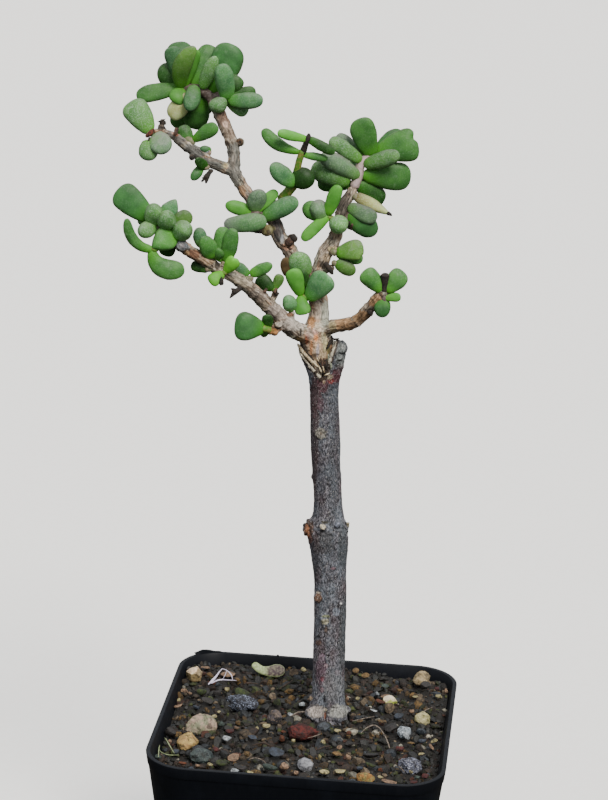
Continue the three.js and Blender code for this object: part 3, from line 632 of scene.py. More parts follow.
@dataclass(frozen=True)
class LeafSkin:
    """Living succulent leaf: smooth waxy skin over green flesh, with a pale bloom that wears off in spots.

    Attributes:
        name: The material's name.
        flesh: The green of the leaf.
        shade: The deeper green of its broad blotches.
        root: The colour at its base.
        bloom: The colour of the wax.
        bloomed: How much of the leaf the wax dulls, from 0 to 1.
        mottled: How strongly the pale spots show, from 0 to 1.
        roughness: Fresh leaves are smoother than bloomed ones.
        spot: The colour of the spots.
        sunned: How far the sun has turned the upper side grey-purple, from 0 to 1.
        sun_tint: The colour that the sun gives it.
        edge_shade: The colour of the painted shade along its edges.
    """

    name: str
    flesh: str
    shade: str
    root: str
    bloom: str = "#7f9c7c"
    bloomed: float = 0.2
    mottled: float = 0.15
    roughness: float = 0.42
    spot: str = "#9dbb90"
    sunned: float = 0.15
    sun_tint: str = "#75786f"
    edge_shade: str = "#3a3a26"

    def material(self) -> bpy.types.Material:
        """Builds the material: broad blotches 3 mm wide, wax 1.2 mm and spots 0.3 mm wide.

        Returns:
            The material.
        """
        skin = Skin(self.name)
        along, tone, sky, edge = (skin.add("Attribute", attribute_name=name).outputs["Fac"]
                                  for name in ("along", "tone", "sky", "edge"))
        broad = skin.add("TexNoise", {"Vector": skin.place, "Scale": 1 / 3.0, "Detail": 2.0})
        blotch = skin.add("MapRange", {"Value": broad, "From Min": 0.35, "From Max": 0.65})
        base = skin.add("MapRange", {"Value": along, "From Min": 0.45, "From Max": 0.05})
        wax = skin.add("TexNoise", {"Vector": skin.place, "Scale": 1 / 1.2, "Detail": 3.0, "Roughness": 0.6})
        waxed = skin.add("MapRange", {"Value": wax, "From Min": 0.62 - 0.3 * self.bloomed,
                                      "From Max": 0.78 - 0.2 * self.bloomed, "To Max": 0.75 * self.bloomed})
        outer = skin.add("MapRange", {"Value": along, "From Min": 0.1, "From Max": 0.7})
        dulled = skin.add("Math", {0: waxed, 1: outer}, operation="MULTIPLY")
        spots = skin.add("TexNoise", {"Vector": skin.place, "Scale": 1 / 0.3, "Detail": 2.0, "Roughness": 0.7})
        spotted = skin.add("MapRange", {"Value": spots, "From Min": 0.5, "From Max": 0.64,
                                        "To Max": self.mottled})
        upper = skin.add("Math", {0: sky, 1: wax}, operation="MULTIPLY")
        worn = skin.add("MapRange", {"Value": upper, "From Min": 0.2, "From Max": 0.42, "To Max": self.sunned})
        # Painted shade along the leaf's edges, where its fat sides turn from the light.
        rim = skin.add("MapRange", {"Value": edge, "From Min": 0.82, "From Max": 1.0, "To Max": 0.3})
        colour: Input = linear(self.flesh)
        for share, tint in ((blotch, self.shade), (base, self.root), (dulled, self.bloom),
                            (spotted, self.spot), (worn, self.sun_tint), (rim, self.edge_shade)):
            colour = skin.tinted(colour, share, linear(tint))
        toned = skin.add("HueSaturation", {"Color": colour, "Value": tone})
        gloss = skin.add("MapRange", {"Value": spots, "To Min": self.roughness,
                                      "To Max": self.roughness + 0.15})
        height = skin.add("Math", {0: broad, 1: spotted}, operation="ADD")
        bump = skin.add("Bump", {"Height": height, "Strength": 0.35, "Distance": 0.12 * MM})
        return skin.finished(Base_Color=toned, Roughness=gloss, Normal=bump, IOR=1.4, Specular_IOR_Level=0.26,
                             Subsurface_Weight=0.12, Subsurface_Radius=(0.4, 1.0, 0.25),
                             Subsurface_Scale=1.2 * MM)


class Leafage(Enum):
    """The leaf finishes that the plant shows, from young to old, and a darker copy of the green for leaves in
    the crown's shade, which is painted shade.
    """

    LIME = LeafSkin("new_lime_leaf_skin", "#71c23e", "#5fae34", "#6fbe30", bloomed=0.05, mottled=0.0,
                    sunned=0.0)
    FRESH = LeafSkin("fresh_leaf_skin", "#62a845", "#4f9436", "#5aa82a", bloomed=0.12, mottled=0.05,
                     sunned=0.05)
    MATURE = LeafSkin("mature_leaf_skin", "#457a35", "#35652c", "#468a20", bloomed=0.25, mottled=0.1)
    RICH = LeafSkin("rich_even_leaf_skin", "#386a34", "#2c572a", "#37761a", bloomed=0.2, mottled=0.04)
    # A darker copy of the green for leaves deep in the crown's shade: painted shade.
    DEEP = LeafSkin("deep_shaded_leaf_skin", "#234b16", "#173610", "#24550f", bloomed=0.1, mottled=0.06)
    BLOOMED = LeafSkin("bloomed_leaf_skin", "#4c7a4a", "#3c6840", "#43842a", "#6f9474", 0.45, 0.16, 0.48,
                       sunned=0.3)
    MOTTLED = LeafSkin("pale_mottled_leaf_skin", "#5f8f4c", "#4a7740", "#55932f", "#86a883", 0.5, 0.3, 0.5,
                       "#b4cdb0", 0.3)
    OLIVE = LeafSkin("olive_leaf_skin", "#5b8438", "#46702c", "#47851c", "#7f9670", 0.3, 0.15, 0.5,
                     sunned=0.5)
    DULL = LeafSkin("dull_purple_leaf_skin", "#5d7f58", "#526a52", "#55843c", "#86998a", 0.5, 0.3, 0.5,
                    sunned=0.8)
    TWOFOLD = LeafSkin("half_purple_leaf_skin", "#55834c", "#476f44", "#5d685c", "#7f9a80", 0.4, 0.2, 0.48,
                       sunned=0.35)
    PALE = LeafSkin("pale_drying_leaf_skin", "#b3c184", "#a0a465", "#5a4a22", "#cdd0a8", 0.4, 0.3, 0.52,
                    "#d2d6b4", 0.3)
    DRY = LeafSkin("dry_brown_leaf_skin", "#5a4a30", "#382a1c", "#3a2c1c", "#6a5745", 0.2, 0.1, 0.7,
                   "#7b6a55", 0.0)


@dataclass(frozen=True)
class StemSkin:
    """Young stem: thin green or pinkish skin that corks over in tan flecks."""

    name: str
    skin: str
    cork: str

    def material(self) -> bpy.types.Material:
        """Builds the material: cork flecks about 0.8 mm wide.

        Returns:
            The material.
        """
        stem = Skin(self.name)
        flecks = stem.add("TexNoise", {"Vector": stem.place, "Scale": 1 / 0.8, "Detail": 4.0})
        corked = stem.add("MapRange", {"Value": flecks, "From Min": 0.48, "From Max": 0.6})
        colour = stem.tinted(linear(self.skin), corked, linear(self.cork))
        bump = stem.add("Bump", {"Height": flecks, "Strength": 0.6, "Distance": 0.2 * MM})
        return stem.finished(Base_Color=colour, Normal=bump, Roughness=0.6, IOR=1.45)


class StemLook(Enum):
    """The skins of young stems, and a darker brown copy for stems in the crown's shade, which is painted
    shade.
    """

    GREEN = StemSkin("green_young_stem_skin", "#4f7a22", "#7d7a3c")
    CORKED = StemSkin("corked_young_stem_skin", "#66694a", "#867763")
    PINK = StemSkin("pinkish_young_stem_skin", "#b0999a", "#96897c")
    # A darker brown copy for stems deep in the crown's shade: painted shade.
    SHADED = StemSkin("shaded_brown_stem_skin", "#4a3d35", "#6b5c58")


@dataclass(frozen=True)
class FlakyBark:
    """Bark of the grafted crown: thin papery flakes, tan and grey, with fine dark lines along the limb."""

    name: str = "flaky_tan_bark"
    stops: tuple[tuple[float, str], ...] = (
        (0.34, "#2b231d"), (0.44, "#74665a"), (0.54, "#a39482"), (0.66, "#d8cabb"))
    flakes: tuple[tuple[str, float], ...] = (("#c08a5f", 0.5), ("#8d8f80", 0.6), ("#4f4339", 0.45))
    # The colour of the painted shade laid in patches on the limbs' undersides and left sides.
    side_shade: str = "#4a3d31"
    crack: str = "#1d1611"

    def material(self) -> bpy.types.Material:
        """Builds the material: streaks 0.4 mm and flakes 1.2 mm wide, along the limb by the grain attribute.

        Returns:
            The material.
        """
        bark = Skin(self.name)
        grain = bark.add("Attribute", attribute_name="grain").outputs["Vector"]
        paint = bark.add("Attribute", attribute_name="paint")
        under = bark.add("Attribute", attribute_name="under").outputs["Fac"]
        drawn = bark.add("Mapping", {"Vector": grain, "Scale": (1.0, 1.0, 0.3)})
        streak = bark.add("TexNoise", {"Vector": drawn, "Scale": 1 / 0.42, "Detail": 4.0, "Roughness": 0.66})
        colour: Input = bark.add("ValToRGB", {"Fac": streak})
        colour_stops(colour, self.stops)
        relief = bark.add("MapRange", {"Value": streak, "From Min": 0.34, "From Max": 0.66, "To Min": 0.4,
                                       "To Max": 1.45})
        weather = bark.add("TexNoise", {"Vector": bark.place, "Scale": 1 / 4.0, "Detail": 2.0})
        bent = bark.add("VectorMath", {0: drawn, 1: weather.outputs["Color"]}, operation="ADD")
        flake = bark.add("TexVoronoi", {"Vector": bent, "Scale": 1 / 1.2, "Randomness": 1.0})
        kinds = bark.add("SeparateColor", {"Color": flake.outputs["Color"]})
        for kind, (tint, most) in zip(kinds.outputs, self.flakes):
            share = bark.add("MapRange", {"Value": kind, "From Min": 0.6, "From Max": 0.85, "To Max": most})
            colour = bark.tinted(colour, share, linear(tint), relief)
        colour = bark.tinted(colour, paint.outputs["Alpha"], paint.outputs["Color"], relief)
        # Painted shade: the limbs' undersides and left sides, by the under attribute, darkened in patches.
        moss_and_shade = bark.add("Math", {0: under, 1: weather}, operation="MULTIPLY")
        painted_side_shade = bark.add("MapRange", {"Value": moss_and_shade, "From Min": 0.12, "From Max": 0.45, "To Max": 0.5})
        colour = bark.tinted(colour, painted_side_shade, linear(self.side_shade), relief)
        drawn_out = bark.add("Mapping", {"Vector": grain, "Scale": (1.0, 1.0, 0.16)})
        lines = bark.add("TexNoise", {"Vector": drawn_out, "Scale": 1 / 0.9, "Detail": 2.0})
        middle = bark.add("Math", {0: lines, 1: 0.5}, operation="SUBTRACT")
        off = bark.add("Math", {0: middle}, operation="ABSOLUTE")
        line = bark.add("MapRange", {"Value": off, "From Min": 0.02, "From Max": 0.0})
        some = bark.add("MapRange", {"Value": weather, "From Min": 0.46, "From Max": 0.56, "To Max": 0.85})
        split = bark.add("Math", {0: line, 1: some}, operation="MULTIPLY")
        colour = bark.tinted(colour, split, linear(self.crack))
        height = bark.add("Math", {0: streak, 1: split}, operation="SUBTRACT")
        bump = bark.add("Bump", {"Height": height, "Strength": 0.7, "Distance": 0.25 * MM})
        return bark.finished(Base_Color=colour, Normal=bump, Roughness=0.82, IOR=1.45, Specular_IOR_Level=0.35)


@dataclass(frozen=True)
class FissuredBark:
    """Bark of the rootstock: hard and grey in fine upright wrinkles, with black pits and pale grains."""

    name: str = "fissured_grey_bark"
    stops: tuple[tuple[float, str], ...] = (
        (0.38, "#18161a"), (0.46, "#3f3d41"), (0.55, "#626066"), (0.67, "#98959b"))
    clouds: tuple[tuple[float, float, str, float], ...] = (
        (0.54, 0.36, "#6d757e", 0.6), (0.55, 0.72, "#5f4a4c", 0.5))
    pale: str = "#b5b1ae"

    def material(self) -> bpy.types.Material:
        """Builds the material: wrinkles 0.36 mm wide and twice as tall, in clouds 3 mm wide.

        Returns:
            The material.
        """
        bark = Skin(self.name)
        paint = bark.add("Attribute", attribute_name="paint")
        drawn = bark.add("Mapping", {"Vector": bark.place, "Scale": (1.0, 1.0, 0.5)})
        wrinkle = bark.add("TexNoise", {"Vector": drawn, "Scale": 1 / 0.36, "Detail": 4.0,
                                        "Roughness": 0.64, "Distortion": 0.5})
        colour: Input = bark.add("ValToRGB", {"Fac": wrinkle})
        colour_stops(colour, self.stops)
        relief = bark.add("MapRange", {"Value": wrinkle, "From Min": 0.36, "From Max": 0.66, "To Min": 0.25,
                                       "To Max": 1.45})
        broad = bark.add("TexNoise", {"Vector": drawn, "Scale": 1 / 3.0, "Detail": 2.0})
        for start, end, tint, most in self.clouds:
            share = bark.add("MapRange", {"Value": broad, "From Min": start, "From Max": end, "To Max": most})
            colour = bark.tinted(colour, share, linear(tint), relief)
        colour = bark.tinted(colour, paint.outputs["Alpha"], paint.outputs["Color"], relief)
        grains = bark.add("TexNoise", {"Vector": bark.place, "Scale": 1 / 0.35, "Detail": 1.0})
        pale = bark.add("MapRange", {"Value": grains, "From Min": 0.64, "From Max": 0.7, "To Max": 0.6})
        colour = bark.tinted(colour, pale, linear(self.pale))
        height = bark.add("Math", {0: wrinkle, 1: pale}, operation="ADD")
        bump = bark.add("Bump", {"Height": height, "Strength": 0.9, "Distance": 0.3 * MM})
        return bark.finished(Base_Color=colour, Normal=bump, Roughness=0.76, IOR=1.45, Specular_IOR_Level=0.35)


@dataclass(frozen=True)
class MineralSkin:
    """Broken mineral: rough matte faces with grains of a second colour and specks of a third.

    Attributes:
        name: The material's name.
        main: The main colour.
        second: The colour of its patches.
        speck: The colour of its specks.
        patch: The width of a patch in millimetres.
        grain: The width of a speck in millimetres.
        specked: How strongly the specks show, from 0 to 1.
        roughness: Damp basalt is smoother than dry pumice.
        stain: The width of a stain of damp soil in millimetres.
        stained: How dark the stains are, from 0 to 1.
        under: The colour of its steep and lower faces, where they differ, by the sky attribute.
        soil: The colour of the stains.
    """

    name: str
    main: str
    second: str
    speck: str = "#2a2622"
    patch: float = 2.0
    grain: float = 0.45
    specked: float = 0.5
    roughness: float = 0.85
    stain: float = 1.7
    stained: float = 0.7
    under: str = ""
    soil: str = "#120d09"

    def material(self) -> bpy.types.Material:
        """Builds the material. The shade attribute makes each grain a little lighter or darker.

        Returns:
            The material.
        """
        stone = Skin(self.name)
        shade = stone.add("Attribute", attribute_name="shade").outputs["Fac"]
        broad = stone.add("TexNoise", {"Vector": stone.place, "Scale": 1 / self.patch, "Detail": 3.0,
                                       "Roughness": 0.6})
        patched = stone.add("MapRange", {"Value": broad, "From Min": 0.42, "From Max": 0.6})
        colour = stone.tinted(linear(self.main), patched, linear(self.second))
        if self.under:
            sky = stone.add("Attribute", attribute_name="sky").outputs["Fac"]
            steep = stone.add("MapRange", {"Value": sky, "From Min": 0.6, "From Max": 0.25})
            colour = stone.tinted(colour, steep, linear(self.under))
        fine = stone.add("TexNoise", {"Vector": stone.place, "Scale": 1 / self.grain, "Detail": 3.0,
                                      "Roughness": 0.7})
        specks = stone.add("MapRange", {"Value": fine, "From Min": 0.55, "From Max": 0.65,
                                        "To Max": self.specked})
        colour = stone.tinted(colour, specks, linear(self.speck))
        damp = stone.add("TexNoise", {"Vector": stone.place, "Scale": 1 / self.stain, "Detail": 4.0,
                                      "Roughness": 0.65, "Distortion": 0.6})
        stains = stone.add("MapRange", {"Value": damp, "From Min": 0.5, "From Max": 0.62,
                                        "To Max": self.stained})
        colour = stone.tinted(colour, stains, linear(self.soil))
        toned = stone.add("HueSaturation", {"Color": colour, "Value": shade})
        bump = stone.add("Bump", {"Height": fine, "Strength": 0.8, "Distance": 0.25 * MM})
        return stone.finished(Base_Color=toned, Normal=bump, Roughness=self.roughness, IOR=1.5)


@dataclass(frozen=True)
class PotPlastic:
    """Injection-moulded black polypropylene: satin, faintly rippled, with fine scuffs and a film of dust, its
    black and dust tinted blue as painted reflection of the sky.
    """

    name: str = "black_moulded_polypropylene"
    # The black's blue tint is painted reflection of the sky.
    black: str = "#0d0f14"
    dust_and_sky_reflection: str = "#1a1e26"

    def material(self) -> bpy.types.Material:
        """Builds the material: scuffs 0.5 mm wide, drawn out upwards, and dust in clouds 6 mm wide, tinted
        blue as painted reflection.

        Returns:
            The material.
        """
        plastic = Skin(self.name)
        drawn = plastic.add("Mapping", {"Vector": plastic.place, "Scale": (1.0, 1.0, 0.12)})
        scuffs = plastic.add("TexNoise", {"Vector": drawn, "Scale": 1 / 0.5, "Detail": 4.0, "Roughness": 0.7})
        dust = plastic.add("TexNoise", {"Vector": plastic.place, "Scale": 1 / 6.0, "Detail": 5.0})
        dust_and_reflection_share = plastic.add("MapRange", {"Value": dust, "From Min": 0.5, "From Max": 0.75, "To Max": 0.35})
        # The bluish black and the bluer dust clouds are partly painted reflection of the sky.
        colour = plastic.tinted(linear(self.black), dust_and_reflection_share, linear(self.dust_and_sky_reflection))
        gloss = plastic.add("MapRange", {"Value": scuffs, "From Min": 0.3, "From Max": 0.7, "To Min": 0.36,
                                         "To Max": 0.6})
        bump = plastic.add("Bump", {"Height": dust, "Strength": 0.25, "Distance": 0.3 * MM})
        return plastic.finished(Base_Color=colour, Roughness=gloss, Normal=bump, IOR=1.49,
                                Specular_IOR_Level=0.15)


@dataclass(frozen=True)
class DriedSkin:
    """Dead plant matter: matte, fibrous, darker in its folds."""

    name: str
    light: str
    dark: str
    roughness: float = 0.85

    def material(self) -> bpy.types.Material:
        """Builds the material: fibres 0.6 mm wide.

        Returns:
            The material.
        """
        dried = Skin(self.name)
        fibre = dried.add("TexNoise", {"Vector": dried.place, "Scale": 1 / 0.6, "Detail": 4.0,
                                       "Roughness": 0.7})
        share = dried.add("MapRange", {"Value": fibre, "From Min": 0.4, "From Max": 0.62})
        colour = dried.tinted(linear(self.dark), share, linear(self.light))
        bump = dried.add("Bump", {"Height": fibre, "Strength": 0.8, "Distance": 0.2 * MM})
        return dried.finished(Base_Color=colour, Normal=bump, Roughness=self.roughness)


# Pot

@dataclass
class NurseryPot:
    """Square moulded pot with round corners, leaning walls, a rim band and four drain holes.

    Attributes:
        width: Its width across the top.
        height: Its height.
        corner: The radius of its corners.
        taper: How far each wall leans in, for each millimetre down.
        rim_height: The height of the band round the rim.
        rim_step: How far the band stands out.
        wall: The wall's thickness below the band.
        lip: The wall's thickness at the top.
        floor: The floor's thickness.
        drain_radius: The radius of a drain hole.
        drain_offset: How far a drain hole is from the middle, along x and y.
        drain_cut: The length of a drain hole's cutter, half of it within the pot.
        edge: How far the edges are rounded.
        corner_steps: How many faces a corner has.
        scrap_outline: Places along the torn scrap, from 0 to 1, with its height there.
        scrap_sweep: The angles round the corner at which the scrap starts and ends.
        scrap_sunk: How deep the scrap is set in the rim.
        nubs: The x, y, height over the rim and radius of each nub.
    """

    width: float = 76.0
    height: float = 76.0
    corner: float = 11.5
    taper: float = 0.13
    rim_height: float = 3.0
    rim_step: float = 0.2
    wall: float = 1.7
    lip: float = 1.1
    floor: float = 1.4
    drain_radius: float = 4.0
    drain_offset: float = 17.0
    drain_cut: float = 6.0
    edge: float = 0.35
    corner_steps: int = 12
    scrap_outline: tuple[tuple[float, float], ...] = (
        (0.0, 0.35), (0.06, 0.7), (0.22, 1.15), (0.42, 0.9), (0.72, 0.35), (1.0, 0.12))
    scrap_sweep: tuple[float, float] = (133.0, 96.0)
    scrap_sunk: float = 0.4
    nubs: tuple[Station, ...] = ((-28.6, 37.3, 0.05, 0.3), (-12.0, 37.45, 0.1, 0.35))

    def scale_at(self, height: float) -> float:
        """Gives how much smaller than at the top the pot is at a height."""
        return 1.0 - self.taper * (self.height - height) / (self.width / 2)

    def shell(self) -> Piece:
        """Models the shell: a bevelled block, tapered, opened at the top and banded at the rim.

        Returns:
            The shell.
        """
        outer = self.width - 2 * self.rim_step
        deep = self.height - self.floor
        band = self.height - self.rim_height
        shell = fresh(bpy.ops.mesh.primitive_cube_add, size=1.0, location=(0, 0, self.height / 2),
                      scale=(outer, outer, self.height))
        bpy.ops.object.transform_apply(location=True, rotation=False, scale=True)
        edit(shell, "EDGE")
        bpy.ops.object.mode_set(mode="OBJECT")
        for side in shell.data.edges:
            a, b = (shell.data.vertices[i].co for i in side.vertices)
            side.select = abs(a.z - b.z) > self.height / 2
        bpy.ops.object.mode_set(mode="EDIT")
        bpy.ops.mesh.bevel(offset=self.corner - self.rim_step, segments=self.corner_steps, affect="EDGES")
        bpy.ops.mesh.select_mode(type="FACE")
        pick(shell, lambda middle, normal: normal.z < -0.9)
        low = self.scale_at(0.0)
        bpy.ops.transform.resize(value=(low, low, 1.0), center_override=(0, 0, 0))
        pick(shell, lambda middle, normal: normal.z > 0.9)
        bpy.ops.mesh.inset(thickness=self.lip - self.rim_step, depth=0.0)
        thicker = (self.wall - self.lip) / (self.width / 2)
        for down, reach in ((self.rim_height, -thicker), (deep - self.rim_height, 0.0)):
            bpy.ops.mesh.extrude_region_move(TRANSFORM_OT_translate={"value": (0, 0, -down)})
            narrower = 1.0 - self.taper * down / (self.width / 2) + reach
            bpy.ops.transform.resize(value=(narrower, narrower, 1.0), center_override=(0, 0, 0))
        bpy.ops.mesh.select_all(action="SELECT")
        bpy.ops.mesh.bisect(plane_co=(0, 0, band), plane_no=(0, 0, 1))
        pick(shell, lambda middle, normal: middle.z > band and abs(normal.z) < 0.5
             and normal.xy.dot(middle.xy) > 0)
        bpy.ops.mesh.extrude_region_shrink_fatten(
            TRANSFORM_OT_shrink_fatten={"value": self.rim_step, "use_even_offset": True})
        bpy.ops.object.mode_set(mode="OBJECT")
        return shell

    def drains(self) -> Piece:
        """Models the four cutters of the drain holes.

        Returns:
            The cutters as one piece.
        """
        sides = (-self.drain_offset, self.drain_offset)
        return joined([
            fresh(bpy.ops.mesh.primitive_cylinder_add, vertices=32, radius=self.drain_radius,
                  depth=self.drain_cut, location=(x, y, 0.0)) for x in sides for y in sides
        ])

    def torn_scrap(self) -> Piece:
        """Models the torn scrap of plastic on the rim's round back left corner, and two nubs beside it.

        Returns:
            The scrap and the nubs as one piece.
        """
        scrap = fresh(bpy.ops.mesh.primitive_cube_add, size=1.0)
        edit(scrap, action="SELECT")
        bpy.ops.mesh.subdivide(number_cuts=11)
        bpy.ops.object.mode_set(mode="OBJECT")
        points = points_of(scrap)
        along, up = points[:, 0] + 0.5, points[:, 2] + 0.5
        tall = np.interp(along, *np.array(self.scrap_outline).T)
        angle = np.radians(np.interp(along, (0.0, 1.0), self.scrap_sweep))
        middle = self.width / 2 - self.corner
        thick = 0.8 - 0.35 * up
        reach = self.corner - self.lip / 2 + points[:, 1] * thick
        hook = np.clip(0.14 - along, 0.0, None) * 6.0 * up
        points[:, 0] = -middle + np.cos(angle) * reach - hook
        points[:, 1] = middle + np.sin(angle) * reach
        sunk = self.scrap_sunk
        points[:, 2] = self.height - sunk + up * (sunk + tall) + 0.12 * up * ripple(points, 0.9)
        put_points(scrap, points)
        nubs = [fresh(bpy.ops.mesh.primitive_ico_sphere_add, subdivisions=2, radius=size,
                      location=(x, y, self.height + proud)) for x, y, proud, size in self.nubs]
        return joined([scrap, *nubs])

    def build(self) -> None:
        """Makes the pot and settles it."""
        shell, cutters = self.shell(), self.drains()
        modify(shell, "BOOLEAN", operation="DIFFERENCE", object=cutters, solver="EXACT")
        bpy.data.objects.remove(cutters)
        modify(shell, "BEVEL", width=self.edge, segments=3, limit_method="ANGLE",
               angle_limit=math.radians(40))
        outward(shell)
        pot = joined([shell, self.torn_scrap()])
        settle(pot, "nursery_pot", "pot_plastic", [PotPlastic().material()], ["pot"], sharp=32.0)


# Soil and stones

@dataclass(frozen=True)
class GritKind:
    """One mineral in the soil, with its share of the scattered grains."""

    skin: MineralSkin
    share: float


FINE_SOIL = MineralSkin("damp_fine_soil", "#0b0907", "#17120d", "#2c241a", 1.0, 0.4, 0.4, 0.8)

GRIT = {
    "basalt_grit": GritKind(
        MineralSkin("damp_black_basalt_grit", "#0b0b0a", "#171712", "#3a3b33", 1.0, 0.4, 0.4, 0.6), 0.31),
    "bark_crumbs": GritKind(
        MineralSkin("damp_bark_crumbs", "#160e09", "#2b1c11", "#4a3622", 0.8, 0.3, 0.4, 0.75), 0.24),
    "mossy_grit": GritKind(
        MineralSkin("moss_stained_grit", "#1d240b", "#3c4317", "#0e1007", 1.0, 0.4, 0.4, 0.8), 0.14),
    "ochre_pumice": GritKind(
        MineralSkin("ochre_pumice", "#5a4320", "#33270f", "#93773d", 1.0, 0.35, 0.5), 0.09),
    "tan_pumice": GritKind(
        MineralSkin("tan_pumice", "#695b48", "#463a2d", "#877960", 1.0, 0.35, 0.5), 0.07),
    "slate_grit": GritKind(
        MineralSkin("blue_grey_slate_grit", "#1b2026", "#2b3138", "#525b62", 1.0, 0.35, 0.5, 0.65), 0.09),
    "rust_lava": GritKind(
        MineralSkin("rust_lava_grit", "#3f1f11", "#2e150c", "#76421f", 0.9, 0.35, 0.5), 0.05),
    "chalk_chips": GritKind(
        MineralSkin("white_quartz_chips", "#948f80", "#6d695b", "#c9c4b3", 1.2, 0.4, 0.4, 0.6), 0.02),
}

# The grains that catch the eye, laid in their places: x, y, width and height in the pot's frame.
LAID = {
    "tan": (
        (-30.6, 28.6, 2.8, 0.5), (-24.3, 25.5, 3.8, 0.7), (-34.2, 13.2, 2.2, 1.0), (-32.6, 12.3, 1.1, 0.9),
        (-34.7, 5.4, 2.4, 0.5), (-17.7, -4.3, 1.5, 0.7), (-16.6, -21.1, 3.2, 0.5),
        (-24.7, -27.9, 1.5, 0.7), (-28.9, -30.7, 1.5, 0.5), (-2.8, -25.1, 2.6, 1.9),
        (-33.7, -15.5, 1.2, 0.8), (0.4, -28.1, 1.2, 1.0), (35.3, 23.4, 1.1, 1.6), (19.5, 19.1, 3.0, 0.5),
        (9.4, 14.5, 1.0, 1.3), (-0.6, 13.3, 1.2, 1.3), (27.0, 11.3, 1.4, 1.0), (33.3, -6.9, 1.9, 0.7),
        (9.8, -11.4, 1.4, 1.0), (12.6, -17.1, 1.5, 1.7), (24.1, -29.0, 4.6, 0.5),
    ),
    "ochre": (
        (-28.8, 23.9, 2.5, 1.2), (-21.1, 21.5, 1.5, 1.5), (-19.0, 21.1, 1.2, 2.3), (-26.9, 3.4, 1.9, 1.3),
        (-23.1, -11.1, 1.6, 0.9), (-13.1, -19.4, 1.8, 1.4), (9.9, 33.5, 1.9, 1.0), (12.8, 31.3, 2.2, 0.5),
        (22.8, 22.9, 1.9, 1.0), (13.7, 4.4, 1.8, 0.5), (19.7, 4.9, 2.9, 0.7), (17.4, -3.6, 1.2, 1.5),
        (27.9, -5.4, 2.1, 0.6), (27.9, -16.4, 1.6, 1.2), (9.5, -15.5, 2.9, 0.8),
    ),
    "cream": (
        (-23.0, 15.9, 1.5, 1.2), (-34.9, 8.0, 1.1, 0.9), (-24.4, 1.1, 2.0, 0.7), (-23.5, 3.1, 1.1, 0.7),
        (-10.3, -2.4, 2.2, 1.0), (-12.4, -4.0, 1.1, 1.0), (-2.3, -9.2, 1.1, 0.8), (-21.5, -26.7, 1.5, 0.7),
        (-10.8, -30.1, 1.8, 0.9), (-4.2, 31.5, 1.4, 1.0), (33.6, 20.7, 2.2, 0.8), (12.0, 16.2, 1.1, 0.8),
        (27.3, 19.6, 1.9, 0.5), (8.5, -2.1, 1.9, 1.0), (33.9, -3.6, 2.1, 0.8), (30.9, -11.5, 2.0, 0.5),
        (29.0, -22.4, 1.1, 0.8), (5.3, -9.3, 1.4, 1.0), (7.4, -26.2, 2.4, 0.8), (11.4, -24.7, 2.9, 0.5),
        (21.7, -26.7, 1.5, 0.7), (5.5, -18.4, 0.9, 1.4),
    ),
    "green": (
        (-29.8, 13.3, 2.8, 1.7), (-18.5, 13.8, 4.2, 1.9), (-8.7, 10.0, 2.4, 1.7), (-18.8, -25.8, 3.0, 1.1),
        (14.6, -2.2, 1.6, 0.5), (13.6, -14.3, 1.2, 1.1), (18.8, -19.9, 3.1, 0.7), (1.8, -17.0, 1.2, 0.9),
    ),
    "dark": (
        (-25.1, 13.1, 2.8, 1.4), (-27.1, 8.2, 3.8, 1.5), (-34.1, -10.1, 3.5, 2.3),
        (-13.9, -27.1, 3.2, 0.8), (29.6, 25.4, 3.2, 1.9), (22.3, 1.8, 4.0, 1.4), (12.0, -8.9, 2.8, 1.4),
        (18.1, -15.0, 4.2, 1.3),
    ),
    "blue": (
        (-29.6, 5.1, 2.2, 1.0), (-5.8, -16.8, 4.0, 1.4), (-26.1, -29.5, 1.8, 0.6),
        (-31.5, -20.4, 1.9, 0.7), (-13.0, -9.6, 3.2, 0.8), (15.9, -22.5, 2.0, 1.0), (23.5, 7.8, 2.2, 1.3),
        (30.6, -4.2, 2.2, 1.0),
    ),
    "white": (
        (-4.6, 4.6, 1.9, 1.1), (-19.4, -10.6, 2.4, 0.8), (-15.0, -30.2, 2.6, 0.9), (16.9, 19.5, 1.5, 1.0),
        (-2.1, 10.4, 1.9, 1.1), (17.0, 10.5, 2.1, 0.5), (26.5, -2.6, 2.4, 1.4),
    ),
    "teal": (
        (-22.0, -3.0, 2.0, 1.4), (-6.5, -26.1, 3.8, 1.5), (-35.5, -24.5, 2.4, 0.7), (18.7, 24.1, 2.4, 0.9),
        (30.9, -25.2, 1.5, 0.7),
    ),
    "red": (
        (-19.1, -6.6, 2.5, 1.0), (-21.1, -18.1, 2.0, 1.2), (32.8, 25.4, 1.4, 1.0), (25.4, -9.6, 2.5, 1.2),
        (32.9, -24.2, 2.0, 0.8), (30.0, -28.0, 2.0, 0.6),
    ),
    "rust": (
        (-5.3, -8.9, 1.6, 1.6), (-5.5, -4.9, 1.5, 0.6), (-28.5, -27.4, 2.1, 0.8), (18.3, 15.6, 2.8, 0.8),
        (11.5, -2.6, 1.4, 0.7), (21.4, -23.0, 1.4, 1.0),
    ),
}

